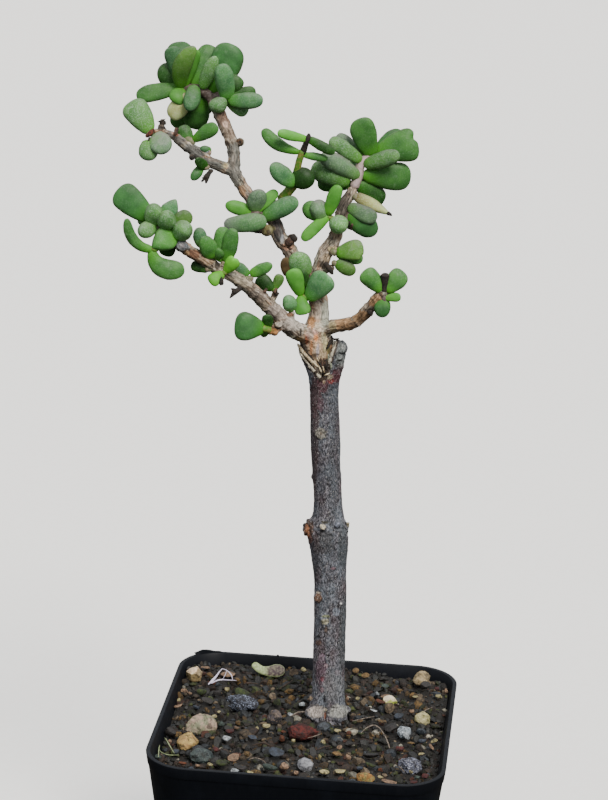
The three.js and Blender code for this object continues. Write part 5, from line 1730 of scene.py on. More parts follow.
@dataclass
class Rootstock:
    """Tall bare stem with a lobed foot, a ring where it was cut once, and a cleft top that holds the graft.

    Attributes:
        voxel: How finely its surface is meshed.
        cleft: How far right and up the cleft's bottom and the tops of its two lips are seen.
        cleft_reach: How far past the lips the cleft's cutter goes, as a share of their length.
        cleft_depth: The stem's depth from front to back at the cleft.
        ring_up: The height of the ring.
        ring_tall: Its half-height.
        lips_up: Where the rough bark of the lips starts.
        slit_right: Where the slit between the foot's front lobes is.
        slit_top: How far up it goes.
        stations: Height, distance to the right and diameter, from the foot to the lips.
        knobs: Right, up, depth and diameter of what stands out of the stem.
        lobes: The same for the foot's lobes, which are broken to flatter faces.
        patches: Its scars, stains and knots, and tall patches of painted shade and light down its sides, from
            the lips down.
        seed: The seed of the random draw.
    """

    voxel: float = 0.235
    cleft: tuple[tuple[float, float], ...] = ((-4.6, 94.5), (-2.3, 103.2), (-11.4, 101.6))
    cleft_reach: float = 1.5
    cleft_depth: float = 9.6
    ring_up: float = 52.8
    ring_tall: float = 2.4
    lips_up: float = 92.0
    slit_right: float = -1.1
    slit_top: float = 5.2
    seed: int = 3
    stations: tuple[Place, ...] = (
        (-14, 0, 10.4), (-0.5, 0, 10.2), (1.6, -0.3, 10.2), (3.4, -0.4, 9.6), (4.8, -0.3, 8.9),
        (10, -0.3, 8.4), (20, -0.45, 8.5), (30, -0.5, 8.5), (40, -1, 8.3), (45, -1.3, 9.3),
        (50, -1.8, 10.5), (53, -2.3, 10.6), (54.4, -2.2, 9.6), (57, -1.9, 7.8), (60, -2.2, 7.2),
        (70, -2.95, 7.4), (78.5, -3.5, 7.8), (85, -3.85, 7.3), (90, -4.15, 7.4), (93, -4.3, 7.6),
        (95, -4.2, 8.8), (97.5, -4.5, 10.4), (100, -5, 11.6), (101.8, -5.1, 12.6), (102.6, -5.1, 12.8),
    )
    knobs: tuple[Station, ...] = (
        (-6.6, 52.6, -0.5, 3.4), (-8.0, 53.4, -0.5, 1.4), (-7.2, 54.9, -0.6, 1.2), (-6.1, 54.0, -1.6, 1.4),
        (-7.5, 51.5, -0.7, 1.4), (-6.3, 49.3, -0.7, 1.5), (-5.7, 47.4, -0.4, 1.7), (-6.1, 66.9, -0.3, 1.4),
        (2.4, 53.2, 0.5, 2.4), (3.2, 54.4, -0.4, 1.1), (3.1, 52.2, -0.4, 1.1), (0.6, 54.1, -4.1, 1.8),
        (-3.3, 53.2, -5.0, 2.0), (-4.6, 78.6, -3.2, 2.0), (-3.8, 33.8, -2.7, 2.4), (-2.0, 27.9, -3.6, 2.6),
        (-1.8, 26.0, -3.5, 2.0), (-4.3, 9.1, -0.4, 1.4), (-4.6, 5.0, -0.8, 1.8),
        (-0.3, 101.9, -1.0, 3.4), (0.0, 101.3, -3.0, 2.6), (-0.9, 98.9, -3.0, 2.8), (-0.6, 97.2, -2.6, 2.6),
        (-0.6, 99.4, 1.4, 3.0), (-1.0, 102.6, -2.6, 2.2),
    )
    lobes: tuple[Station, ...] = (
        (-3.6, 0.6, -2.6, 5.4), (2.2, 0.9, -2.7, 5.6), (4.0, 1.4, 0.6, 4.0), (-4.2, 0.4, 1.2, 4.2),
        (0.0, 0.2, 3.6, 5.6),
    )
    # The tall dark maroon patches down the stem's left side are painted shade, and the tall blue-grey ones on
    # its right are partly the bark's grey and partly painted light. The light grey patch at the top of the
    # right lip is partly a painted highlight.
    patches: tuple[Patch, ...] = (
        Patch(-6.4, 73, 1.3, 16, "#4a2f2c", 0.65), Patch(-0.9, 70, 1.4, 18, "#60646b", 0.5),
        Patch(-4.2, 66, 1.2, 9, "#6b6570", 0.4), Patch(-6.2, 89, 1.6, 6.0, "#4a2622", 0.75),
        Patch(-4.6, 91.6, 1.5, 2.2, "#64353a", 0.7), Patch(-1.9, 88.6, 1.5, 4.0, "#60666e", 0.7),
        Patch(-4.9, 86.4, 0.9, 2.2, "#6e4b55", 0.6), Patch(-1.4, 94.0, 1.2, 2.0, "#6b3338", 0.75),
        Patch(-2.5, 92.8, 0.9, 0.7, "#8e2f22", 0.8), Patch(-4.3, 92.8, 0.3, 0.9, "#d0b48e", 0.8),
        Patch(-3.0, 93.9, 0.9, 0.7, "#cdbb9c", 0.8), Patch(-0.2, 96.2, 1.0, 1.3, "#6d4448", 0.7),
        Patch(-0.4, 99.8, 1.5, 3.6, "#8d938f", 0.75), Patch(-0.5, 98.3, 0.9, 0.3, "#15130f"),
        Patch(0.1, 100.3, 1.0, 0.25, "#15130f"), Patch(-1.3, 96.9, 0.5, 0.5, "#15130f"),
        Patch(0.6, 102.4, 0.8, 0.9, "#b3b5b0", 0.7), Patch(-10.2, 98.6, 0.5, 3.0, "#9b9794", 0.7),
        Patch(-5.9, 82, 0.9, 2.6, "#553531", 0.6), Patch(-4.6, 78.8, 1.5, 1.5, "#a8a292", 0.7, 0.22),
        Patch(-4.6, 78.6, 0.45, 0.45, "#5a4c3c"), Patch(-7.0, 52.4, 1.4, 2.4, "#5f4534", 0.85, 0.1),
        Patch(-7.4, 52.6, 0.6, 1.3, "#a3663a", 0.8), Patch(-6.8, 51.0, 0.4, 1.0, "#a3663a", 0.7),
        Patch(-8.1, 53.6, 0.5, 0.6, "#1d130e"), Patch(-7.3, 55.2, 0.4, 0.5, "#1d130e"),
        Patch(-6.1, 54.3, 0.35, 0.7, "#33251a"), Patch(-6.4, 49.8, 0.7, 1.2, "#7d5140", 0.7),
        Patch(-2.4, 50.4, 1.9, 1.9, "#443f3a", 0.6), Patch(-2.7, 48.0, 2.6, 2.2, "#4a4541", 0.5),
        Patch(-3.3, 53.3, 0.75, 0.75, "#ded2b6", rise=0.1), Patch(-2.9, 54.5, 1.0, 0.45, "#3f3a28", 0.85),
        Patch(-1.3, 54.0, 0.25, 0.9, "#101013"), Patch(0.5, 54.0, 0.8, 0.8, "#888d9c", 0.8, 0.1),
        Patch(-4.6, 52.6, 1.1, 0.4, "#7c8089", 0.7), Patch(1.2, 52.6, 2.0, 0.4, "#858990", 0.7),
        Patch(3.4, 54.2, 0.6, 0.7, "#b9ac88", 0.8), Patch(3.3, 52.1, 0.5, 0.5, "#121011"),
        Patch(2.1, 48, 1.3, 6, "#4f5759", 0.6), Patch(-4.9, 45, 1.0, 7, "#4b3c3c", 0.5),
        Patch(3.0, 24, 1.2, 12, "#4f5758", 0.55), Patch(-0.1, 41.9, 0.7, 0.5, "#97707a", 0.7),
        Patch(-3.8, 33.6, 1.1, 1.4, "#7a5a42", 0.85, 0.2), Patch(-3.8, 35.0, 0.9, 0.3, "#b5a58f", 0.8),
        Patch(2.2, 32.2, 0.3, 0.3, "#e9e9e6"), Patch(0.9, 29.7, 1.0, 1.2, "#8a93a0", 0.7),
        Patch(-1.6, 28.4, 1.2, 0.4, "#6f7250", 0.85), Patch(-1.8, 26.9, 1.1, 0.8, "#c9c2a2", 0.85, 0.12),
        Patch(-1.5, 24.7, 0.5, 1.0, "#7a6350", 0.7), Patch(-3.4, 22.8, 0.5, 0.4, "#121014"),
        Patch(-3.3, 20.9, 0.9, 0.9, "#6f4f3e", 0.7), Patch(-2.4, 13.0, 1.5, 5.0, "#83566a", 0.5),
        Patch(-2.4, 16.6, 0.9, 1.0, "#a08a98", 0.6), Patch(-1.1, 14.4, 0.6, 0.6, "#b79aa0", 0.7),
        Patch(1.9, 12.4, 0.7, 0.9, "#a48d96", 0.6), Patch(-2.0, 10.6, 0.6, 0.8, "#7c2f38", 0.8),
        Patch(-1.9, 7.5, 0.5, 0.8, "#7c2f38", 0.8), Patch(1.0, 8.4, 3.0, 4.4, "#94979a", 0.55),
        Patch(-5.0, 5.0, 0.7, 0.7, "#a08a6e", 0.8), Patch(-3.4, 1.2, 2.5, 2.0, "#c2b5aa", 0.8),
        Patch(2.6, 1.4, 2.7, 2.1, "#aeaea6", 0.75), Patch(-0.7, 1.8, 0.4, 0.4, "#d5c9ae"),
        Patch(-0.9, 0.2, 0.35, 1.0, "#8e5436"), Patch(-3.4, 2.9, 2.0, 0.22, "#1d181a", 0.8),
        Patch(1.0, 2.5, 1.9, 0.22, "#1d181a", 0.8), Patch(-1.2, 5.0, 0.25, 1.6, "#19161a"),
    )

    def trunk(self) -> Piece:
        """Models the plain stem: a circle drawn up through the stations, flatter at the cleft.

        Returns:
            The stem.
        """
        low, middle, width = self.stations[0]
        trunk = fresh(bpy.ops.mesh.primitive_circle_add, vertices=40, radius=width / 2, fill_type="NGON",
                      location=(middle, 0, low))
        bpy.ops.object.transform_apply(location=True, rotation=False, scale=False)
        bpy.ops.object.mode_set(mode="EDIT")
        bpy.ops.mesh.select_all(action="SELECT")
        for station in self.stations[1:]:
            move = (station[1] - middle, 0, station[0] - low)
            bpy.ops.mesh.extrude_region_move(TRANSFORM_OT_translate={"value": move})
            grow = station[2] / width
            bpy.ops.transform.resize(value=(grow, grow, 1), center_override=(station[1], 0, station[0]))
            low, middle, width = station
        bpy.ops.object.mode_set(mode="OBJECT")
        outward(trunk)
        modify(trunk, "SUBSURF", levels=2)
        points = points_of(trunk)
        above = points[:, 2] > self.cleft[0][1] - 3.0
        limit = self.cleft_depth / 2
        points[above, 1] = limit * np.tanh(points[above, 1] / limit * 1.2) / math.tanh(1.2 * 1.3)
        put_points(trunk, points)
        return trunk

    def wedge(self) -> Piece:
        """Models the cutter of the cleft: a triangle drawn through from front to back.

        Returns:
            The cutter.
        """
        bottom = Vector((self.cleft[0][0], 0, self.cleft[0][1]))
        wedge = fresh(bpy.ops.mesh.primitive_circle_add, vertices=3, radius=1, fill_type="NGON")
        for vertex, (right, up) in zip(wedge.data.vertices, self.cleft):
            corner = Vector((right, 0, up))
            vertex.co = bottom + (corner - bottom) * (1 + self.cleft_reach) + Vector((0, -15, 0))
        bpy.ops.object.mode_set(mode="EDIT")
        bpy.ops.mesh.select_all(action="SELECT")
        bpy.ops.mesh.extrude_region_move(TRANSFORM_OT_translate={"value": (0, 30, 0)})
        bpy.ops.object.mode_set(mode="OBJECT")
        outward(wedge)
        return wedge

    def roughen(self, stem: Piece) -> None:
        """Gives the bark its wrinkles, lumps, pits and the slit between the foot's lobes.

        Args:
            stem: The plain stem.
        """
        points, normals = points_of(stem), normals_of(stem)
        up = points[:, 2]
        right, seen_up = seen_places(points)
        ring = np.exp(-((up - self.ring_up) / self.ring_tall) ** 2)
        lips = np.clip((up - self.lips_up) / 5.0, 0, 1)
        push = 0.09 * ripple(points, (0.5, 0.5, 1.2)) + 0.05 * ripple(points, (0.4, 0.4, 0.8), 7.0)
        push += 0.16 * ripple(points, (2.2, 2.2, 5.0), 3.0)
        push += (0.5 * ring + 0.35 * lips) * ripple(points, (0.9, 0.9, 1.1), 5.0)
        push -= 0.25 * ring * np.clip(ripple(points, 0.6, 9.0), 0, 1)
        slit = np.exp(-((right - self.slit_right) / 0.5) ** 2)
        slit *= np.clip((self.slit_top - seen_up) / 1.5, 0, 1)
        push -= 0.9 * slit * (normals[:, 1] < -0.2) * (seen_up > -2)
        put_points(stem, points + normals * push[:, None])

    def paint_cut(self, stem: Piece) -> None:
        """Colours the cut faces of the cleft: weathered brown, with pale wood along their edges.

        Args:
            stem: The stem, with its patches painted.
        """
        points = points_of(stem)
        paint = np.empty(len(points) * 4, np.float32)
        stem.data.attributes["paint"].data.foreach_get("color", paint)
        paint = paint.reshape(-1, 4)
        bottom = np.array(self.cleft[0])
        for corner, pale_from, pale_to in zip(self.cleft[1:], (4.4, 2.9), (0.0, 2.2)):
            way = np.array(corner) - bottom
            way /= np.linalg.norm(way)
            offset = points[:, (0, 2)] - bottom
            along = offset @ way
            off = np.abs(offset @ np.array((-way[1], way[0])))
            wander = 0.2 * ripple(points, (0.8, 0.8, 0.8), 3.0)
            cover = np.clip((1.1 + wander - off) / 0.25, 0, 1) * (along > -0.3)
            inner = cover * np.clip((0.62 + wander - off) / 0.2, 0, 1)
            pale = inner * np.maximum(along > pale_from, (along > 0.8) & (along < pale_to))
            fibre = 0.5 + 0.5 * ripple(points, (0.3, 0.5, 1.2), 6.0)
            for share, hue in ((cover, "#46382f"), (pale, "#e3d9c2")):
                tone = np.array(linear(hue)[:3]) * (0.6 + 0.5 * fibre)[:, None]
                paint[:, :3] += (tone - paint[:, :3]) * share[:, None]
            paint[:, 3] = np.maximum(paint[:, 3], cover)
        put_values(stem, "paint", paint)

    def build(self) -> None:
        """Makes the rootstock and settles it."""
        draw = random.Random(self.seed)
        parts = [self.trunk(), *(ball(seen(knob[:3]), knob[3]) for knob in self.knobs)]
        for *place, width in self.lobes:
            lobe = fresh(bpy.ops.mesh.primitive_ico_sphere_add, subdivisions=4, radius=width / 2)
            points = cleaved(points_of(lobe), draw, 9, 0.55, 0.85)
            put_points(lobe, points + np.array(seen(place)))
            parts.append(lobe)
        stem = joined(parts)
        modify(stem, "REMESH", mode="VOXEL", voxel_size=self.voxel * 1.4)
        cutter = self.wedge()
        modify(stem, "BOOLEAN", operation="DIFFERENCE", object=cutter, solver="EXACT")
        bpy.data.objects.remove(cutter)
        modify(stem, "REMESH", mode="VOXEL", voxel_size=self.voxel)
        modify(stem, "SMOOTH", factor=0.5, iterations=2)
        self.roughen(stem)
        paint_patches(stem, self.patches)
        self.paint_cut(stem)
        settle(stem, "bare_rootstock", "rootstock_bark", [FissuredBark().material()], ["rootstock"],
               on_plant=True)


# Scion wood. A station is right, up, depth and diameter, where the limb's middle is seen.

FOOT_LIMB: tuple[Station, ...] = (
    (-4.9, 94.6, -1, 1.8), (-5.2, 95.4, -1, 3.4), (-5.8, 97, -0.6, 5.4), (-6.3, 100, 0, 7.2),
    (-6.7, 102.4, 0, 8.2), (-6.8, 103.4, 0, 8.2),
)
TRUNK_LIMB: tuple[Station, ...] = (
    (-6.7, 102.4, 0, 8), (-6.8, 104, 0, 8.2), (-6.5, 106.5, 0, 7), (-6.3, 108.6, 0.2, 5.6),
    (-6.1, 111.4, 0.4, 4.9), (-6.8, 115, 0.6, 4.9), (-8.4, 118, 1, 4.5), (-10.5, 120.5, 1.5, 4.3),
    (-12.8, 124.7, 2.2, 4), (-14.4, 127.1, 2.8, 3.8), (-16.8, 130.4, 3.4, 3.9), (-17.9, 133.6, 4, 3.5),
    (-21.5, 137, 4.6, 3.3), (-24.5, 140.3, 5, 3.3), (-26.7, 143.2, 5.4, 3.1), (-28.5, 146.8, 5.8, 3.3),
    (-28.5, 150, 6.2, 3.1), (-29.1, 153.5, 6.6, 3.2), (-30.4, 156.5, 7, 3.2), (-31.8, 159.5, 7.4, 3.3),
    (-33, 162, 7.8, 3.2), (-34, 163.6, 8.1, 2.8),
)
LOW_LEFT_LIMB: tuple[Station, ...] = (
    (-7, 104.4, -0.2, 5), (-9.4, 105, -1, 4.8), (-12.2, 106, -2, 4.7), (-15, 108.3, -3, 4.5),
    (-18.8, 112, -4.4, 4), (-23.5, 116.3, -6, 3.6), (-26.1, 118.3, -7, 3.3), (-29, 119.9, -8, 3.1),
    (-33.2, 122, -9.4, 3), (-35.5, 123.5, -10.2, 2.9), (-39.1, 125.6, -11.4, 3), (-41.2, 127.1, -12.1, 3.2),
    (-43, 128.4, -12.6, 2.8),
)
HIGH_LEFT_LIMB: tuple[Station, ...] = (
    (-28.4, 146.3, 5.8, 2.6), (-30.5, 147, 5.4, 3), (-32.5, 147.8, 4.6, 2.9), (-35, 148.7, 3.6, 2.9),
    (-38, 150.9, 2.4, 3), (-40.3, 152.5, 1.6, 2.9), (-42.2, 153.8, 1, 2.6), (-44.2, 155, 0.5, 1.9),
    (-46.3, 155.6, 0, 1.7), (-48.3, 155.7, -0.5, 1.6),
)
RIGHT_LIMB: tuple[Station, ...] = (
    (-6.8, 115, 0.7, 4.2), (-6.9, 117.5, 0.8, 4.1), (-7, 120, 1.4, 3.9), (-6.4, 122.6, 2, 3.8),
    (-4.9, 126.7, 3, 4.1), (-3.1, 129.4, 3.6, 3.6), (-1.9, 134, 4.4, 3.1), (-1, 138.3, 5.2, 2.9),
    (0.5, 141.2, 5.8, 2.8), (1.2, 142.8, 6, 2.7),
)
LOW_RIGHT_LIMB: tuple[Station, ...] = (
    (-5.4, 106.0, -0.4, 3.8), (-3.3, 106.8, -1, 3.6), (-2.1, 107.3, -1.4, 3.5), (3, 108.7, -3, 3.1),
    (5.6, 111.2, -4, 3.1), (7.8, 114, -5, 3.1), (9, 115.6, -5.5, 2.9),
)
SIDE_STUBS: tuple[tuple[Station, ...], ...] = (
    ((-19, 134.6, 4, 2.4), (-17.8, 137.2, 3.4, 2.1), (-16.9, 138.8, 2.8, 2.1)),
    ((-15, 108, -3, 2.8), (-16.2, 106.9, -3.2, 2.6), (-17.3, 105.9, -3.3, 2.4), (-18.4, 105.7, -3.5, 2.1)),
    ((-18.4, 112.2, -4.3, 1.8), (-17.7, 114.4, -4, 1.5), (-17.3, 115.6, -3.9, 1.7)),
    ((-13, 107.6, -2.2, 2), (-13.1, 109.4, -2.3, 1.6), (-13.1, 110.4, -2.4, 1.7)),
    ((-6.2, 121.4, 1.6, 2), (-4.4, 122, 1.4, 1.9), (-3.4, 122.5, 1.2, 1.8)),
)
WOOD_KNOBS: tuple[Station, ...] = (
    (-27.1, 153.8, 6.4, 2.1), (-46.6, 156.9, -0.1, 1.5), (-38.9, 149.8, 2, 1.7), (-35.4, 151, 3.2, 2.6),
    (-31, 118.9, -8.7, 1.6), (-13.7, 129.8, 3, 2.2), (6.7, 111, -4.2, 1.7), (-3.4, 127.6, 2.4, 2.2),
    (-43, 154.8, -0.2, 1.4), (-22.6, 137.2, 3.6, 1.6), (-15.4, 128.2, 1.6, 1.6), (-9.6, 119.2, 0, 1.6),
    (-27.2, 118.2, -8.2, 1.4), (-20.2, 113.8, -6.0, 1.6), (-8.6, 106.4, -2.6, 2.2), (-4.6, 107.8, -1.8, 1.6),
    (-16.3, 107.3, -4.6, 1.8), (-17.2, 105.3, -3.6, 2.0), (-19.7, 131.6, 0.8, 2.9),
    (-41.1, 126.9, -13.2, 3.0), (9.8, 116.4, -5.9, 1.9),
)


@dataclass
class ScionWood:
    """Wood of the grafted crown: trunk, limbs and stubs grown together, ringed by old leaf scars.

    Attributes:
        voxel: How finely its surface is meshed.
        scar_ring: The space between two rings of leaf scars.
        patches: Its scars, stains and knots, from the graft outwards.
    """

    voxel: float = 0.2
    scar_ring: float = 2.7
    patches: tuple[Patch, ...] = (
        Patch(-6.4, 100, 3.0, 3.8, "#dcbc98", 0.8), Patch(-6.9, 104.5, 3.2, 3.2, "#dcb48e", 0.65),
        Patch(-9.6, 101.6, 1.2, 2.0, "#8f7d6a", 0.75), Patch(-4.6, 98.6, 1.4, 2.0, "#cdb894", 0.7),
        Patch(-9.0, 103.7, 0.5, 1.5, "#c0673f", 0.85), Patch(-6.7, 104.2, 0.6, 1.1, "#cf7d40", 0.85),
        Patch(-7.8, 101.2, 0.4, 2.4, "#d28c58", 0.8), Patch(-7.6, 108.2, 1.5, 1.7, "#cf9560", 0.8),
        Patch(-6.9, 105.8, 0.9, 0.9, "#d99f93", 0.6), Patch(-6.2, 100.6, 0.4, 1.9, "#b8b4c0", 0.7),
        Patch(-4.3, 102.7, 0.6, 2.4, "#cfc693", 0.75), Patch(-5.0, 104.3, 0.45, 1.6, "#a7a684", 0.75),
        Patch(-3.5, 101.4, 0.4, 1.8, "#8f8a52", 0.8), Patch(-3.4, 104.9, 0.7, 0.5, "#efe6c8", 0.8),
        Patch(-5.6, 107.0, 1.7, 1.4, "#e4dac4", 0.7), Patch(-4.6, 110.4, 1.4, 3.8, "#b7baaa", 0.8),
        Patch(-6.6, 111.4, 1.1, 3.0, "#d3c4b4", 0.6), Patch(-3.3, 109.4, 0.4, 1.4, "#5c5246", 0.7),
        Patch(-7.9, 113.2, 0.6, 1.6, "#b08a6e", 0.6), Patch(-16.3, 107.3, 0.9, 0.8, "#a89a86", 0.8, 0.2),
        Patch(-17.8, 105.4, 1.6, 1.2, "#a5703c", 0.85, 0.1), Patch(-16.9, 106.5, 1.2, 0.35, "#2a2018"),
        Patch(-12.6, 107.5, 3.6, 2.1, "#e0d5c8", 0.75), Patch(-16.8, 110.6, 2.8, 2.2, "#c0b2a8", 0.65),
        Patch(-11.0, 103.6, 1.2, 0.9, "#8a7342", 0.7), Patch(-8.3, 105.2, 1.0, 1.6, "#c7b3ab", 0.6),
        Patch(-10.6, 105.6, 0.3, 0.9, "#1d1611"), Patch(-13.4, 109.9, 1.0, 0.5, "#7a4a2c", 0.8),
        Patch(-17.2, 131.8, 1.9, 3.2, "#3a3c40", 0.85), Patch(-18.9, 129.6, 0.8, 1.6, "#a8947c", 0.7),
        Patch(-15.9, 129.3, 0.5, 1.3, "#93989f", 0.65), Patch(-14.6, 127.6, 1.6, 1.1, "#d2a184", 0.85),
        Patch(-19.8, 131.9, 1.7, 1.7, "#6d6a3c", 0.85), Patch(-19.4, 131.2, 0.6, 0.6, "#1d1611", 0.8),
        Patch(-20.9, 136.4, 1.7, 1.6, "#5d6066", 0.65), Patch(-24.6, 139.6, 1.5, 1.5, "#7f7d7b", 0.6),
        Patch(-26.2, 141.4, 1.0, 1.8, "#a9825f", 0.7), Patch(-27.4, 140.4, 0.35, 2.2, "#231b16"),
        Patch(-28.4, 146.6, 1.9, 4.4, "#6a6b66", 0.8), Patch(-30.7, 147.8, 0.9, 0.7, "#b9a878", 0.8),
        Patch(-34.0, 147.9, 3.2, 1.9, "#62635f", 0.85), Patch(-38.6, 151.0, 2.9, 2.0, "#676865", 0.85),
        Patch(-43.0, 154.4, 3.0, 1.7, "#6c6a66", 0.8), Patch(-29.8, 156.6, 1.7, 2.6, "#84705f", 0.75),
        Patch(-31.2, 160.0, 1.9, 2.8, "#7d5f50", 0.75), Patch(-46.7, 157.0, 1.3, 1.1, "#2b2320", 0.85),
        Patch(-30.8, 158.2, 0.7, 0.9, "#c9aa98", 0.8), Patch(-27.3, 153.8, 0.9, 0.9, "#5a3d26", rise=0.1),
        Patch(-27.2, 153.8, 0.4, 0.4, "#15100c"), Patch(-28.6, 151.2, 1.8, 2.4, "#6a6b66", 0.8),
        Patch(-49.3, 155.8, 1.0, 0.9, "#7c3f26"), Patch(-43.0, 155.3, 0.8, 0.6, "#8c4a30"),
        Patch(-43.6, 155.6, 0.5, 0.4, "#d0a692"), Patch(-35.3, 151.6, 0.9, 0.8, "#77838a"),
        Patch(-39.0, 149.7, 0.7, 0.6, "#2c2119"), Patch(-3.3, 127.2, 1.1, 0.95, "#c9b48c", rise=0.22),
        Patch(-3.3, 127.1, 0.4, 0.35, "#1d1611"), Patch(-13.7, 129.8, 1.0, 1.0, "#1c1714"),
        Patch(6.7, 111.4, 0.7, 0.6, "#33261e"), Patch(-0.9, 138.6, 1.7, 4.2, "#3a3633", 0.8),
        Patch(-2.4, 132.0, 1.5, 2.6, "#94775a", 0.6), Patch(-4.5, 125.0, 1.6, 1.2, "#d2b896", 0.7),
        Patch(-5.6, 123.4, 1.8, 1.0, "#3a332e", 0.7), Patch(-7.0, 120.4, 1.9, 1.7, "#2c2824", 0.7),
        Patch(-9.9, 120.0, 1.8, 1.8, "#4d463f", 0.6), Patch(-17.0, 115.4, 0.8, 0.7, "#2a211a"),
        Patch(-35.2, 123.2, 2.4, 1.3, "#b08f6c", 0.7), Patch(-38.2, 124.9, 2.0, 1.3, "#7a4f35", 0.8),
        Patch(-41.2, 126.9, 1.9, 1.8, "#6f777f", 0.8), Patch(-39.9, 125.2, 0.7, 0.7, "#c9a070", 0.8),
        Patch(-32.0, 122.4, 0.7, 1.2, "#15100c", 0.85), Patch(-26.6, 118.0, 3.4, 1.7, "#d2c4a8", 0.6),
        Patch(-21.4, 114.6, 2.4, 1.6, "#8f7f78", 0.5), Patch(0.4, 107.9, 3.2, 1.8, "#b98f66", 0.85),
        Patch(-2.6, 107.2, 1.0, 1.5, "#c9bb8e", 0.7), Patch(4.4, 110.0, 2.4, 1.8, "#a07a52", 0.8),
        Patch(2.6, 108.2, 1.2, 0.4, "#3c3026", 0.6), Patch(6.5, 111.7, 0.9, 0.6, "#1f1712", 0.85),
        Patch(8.0, 114.2, 1.7, 1.7, "#b08456", 0.8), Patch(8.9, 115.9, 1.0, 0.9, "#8d6a4a", 0.7),
    )

    def lines(self) -> list[GrownLine]:
        """Draws the middle lines of all the limbs and stubs."""
        limbs = (FOOT_LIMB, TRUNK_LIMB, LOW_LEFT_LIMB, HIGH_LEFT_LIMB, RIGHT_LIMB, LOW_RIGHT_LIMB)
        return [GrownLine.through(stations) for stations in (*limbs, *SIDE_STUBS)]

    def grain(self, points: np.ndarray, lines: Sequence[GrownLine]) -> np.ndarray:
        """Finds for each point its place across and along the nearest limb.

        Args:
            points: Rows of x, y, z in the plant's frame.
            lines: The limbs' middle lines.

        Returns:
            Rows of two distances across the limb and one along it, in millimetres.
        """
        spots: list[tuple[float, ...]] = []
        for index, line in enumerate(lines):
            across = Vector((0, 1, 0))
            run = 40.0 * index
            for i, place in enumerate(line.places):
                after = line.places[min(i + 1, len(line.places) - 1)]
                ahead = (after - line.places[max(i - 1, 0)]).normalized()
                across = (across - ahead * across.dot(ahead)).normalized()
                spots.append((*place, *across, *ahead.cross(across), *ahead, run))
                run += (after - place).length
        tree = kdtree.KDTree(len(spots))
        for i, spot in enumerate(spots):
            tree.insert(spot[:3], i)
        tree.balance()
        nearest = np.array(spots)[[tree.find(place)[1] for place in points.tolist()]]
        offset = points - nearest[:, :3]
        grain = np.stack([(offset * nearest[:, k:k + 3]).sum(axis=1) for k in (3, 6, 9)], axis=1)
        grain[:, 2] += nearest[:, 12]
        return grain

    def roughen(self, wood: Piece, grain: np.ndarray) -> None:
        """Gives the wood its leaf-scar rings, lumps, splits and flakes.

        Args:
            wood: The plain wood.
            grain: The grain of each of its points.
        """
        points, normals = points_of(wood), normals_of(wood)
        along = grain[:, 2] + 0.8 * ripple(points, 2.0, 4.0)
        ring = np.exp(-((np.mod(along, self.scar_ring) / self.scar_ring - 0.5) / 0.16) ** 2)
        patchy = np.clip(0.5 + 1.2 * ripple(points, 3.0, 6.0), 0, 1)
        push = 0.24 * ring * patchy + 0.2 * ripple(points, 2.4, 1.0)
        push += 0.06 * ripple(grain, (0.6, 0.6, 2.4), 2.0) + 0.04 * ripple(points, 0.45, 8.0)
        split = np.clip(ripple(grain, (0.7, 0.7, 4.0), 11.0) - 0.3, 0, 1)
        push -= 0.45 * split
        put_points(wood, points + normals * push[:, None])

    def build(self) -> None:
        """Makes the crown's wood and settles it."""
        lines = self.lines()
        bodies = [line.body() for line in lines]
        wood = joined([*bodies, *(ball(leaning(knob[:3]), knob[3]) for knob in WOOD_KNOBS)])
        modify(wood, "REMESH", mode="VOXEL", voxel_size=self.voxel)
        modify(wood, "SMOOTH", factor=0.5, iterations=3)
        grain = self.grain(points_of(wood), lines)
        self.roughen(wood, grain)
        paint_patches(wood, self.patches)
        put_values(wood, "grain", grain)
        normals = normals_of(wood)
        # The share of painted shade, most on the undersides and left sides, away from the key light.
        put_values(wood, "under", np.clip(0.25 - 0.9 * normals[:, 2] - 0.45 * normals[:, 0], 0, 1))
        settle(wood, "crown_wood", "scion_bark", [FlakyBark().material()], ["scion_wood"], on_plant=True)


# Dead bits

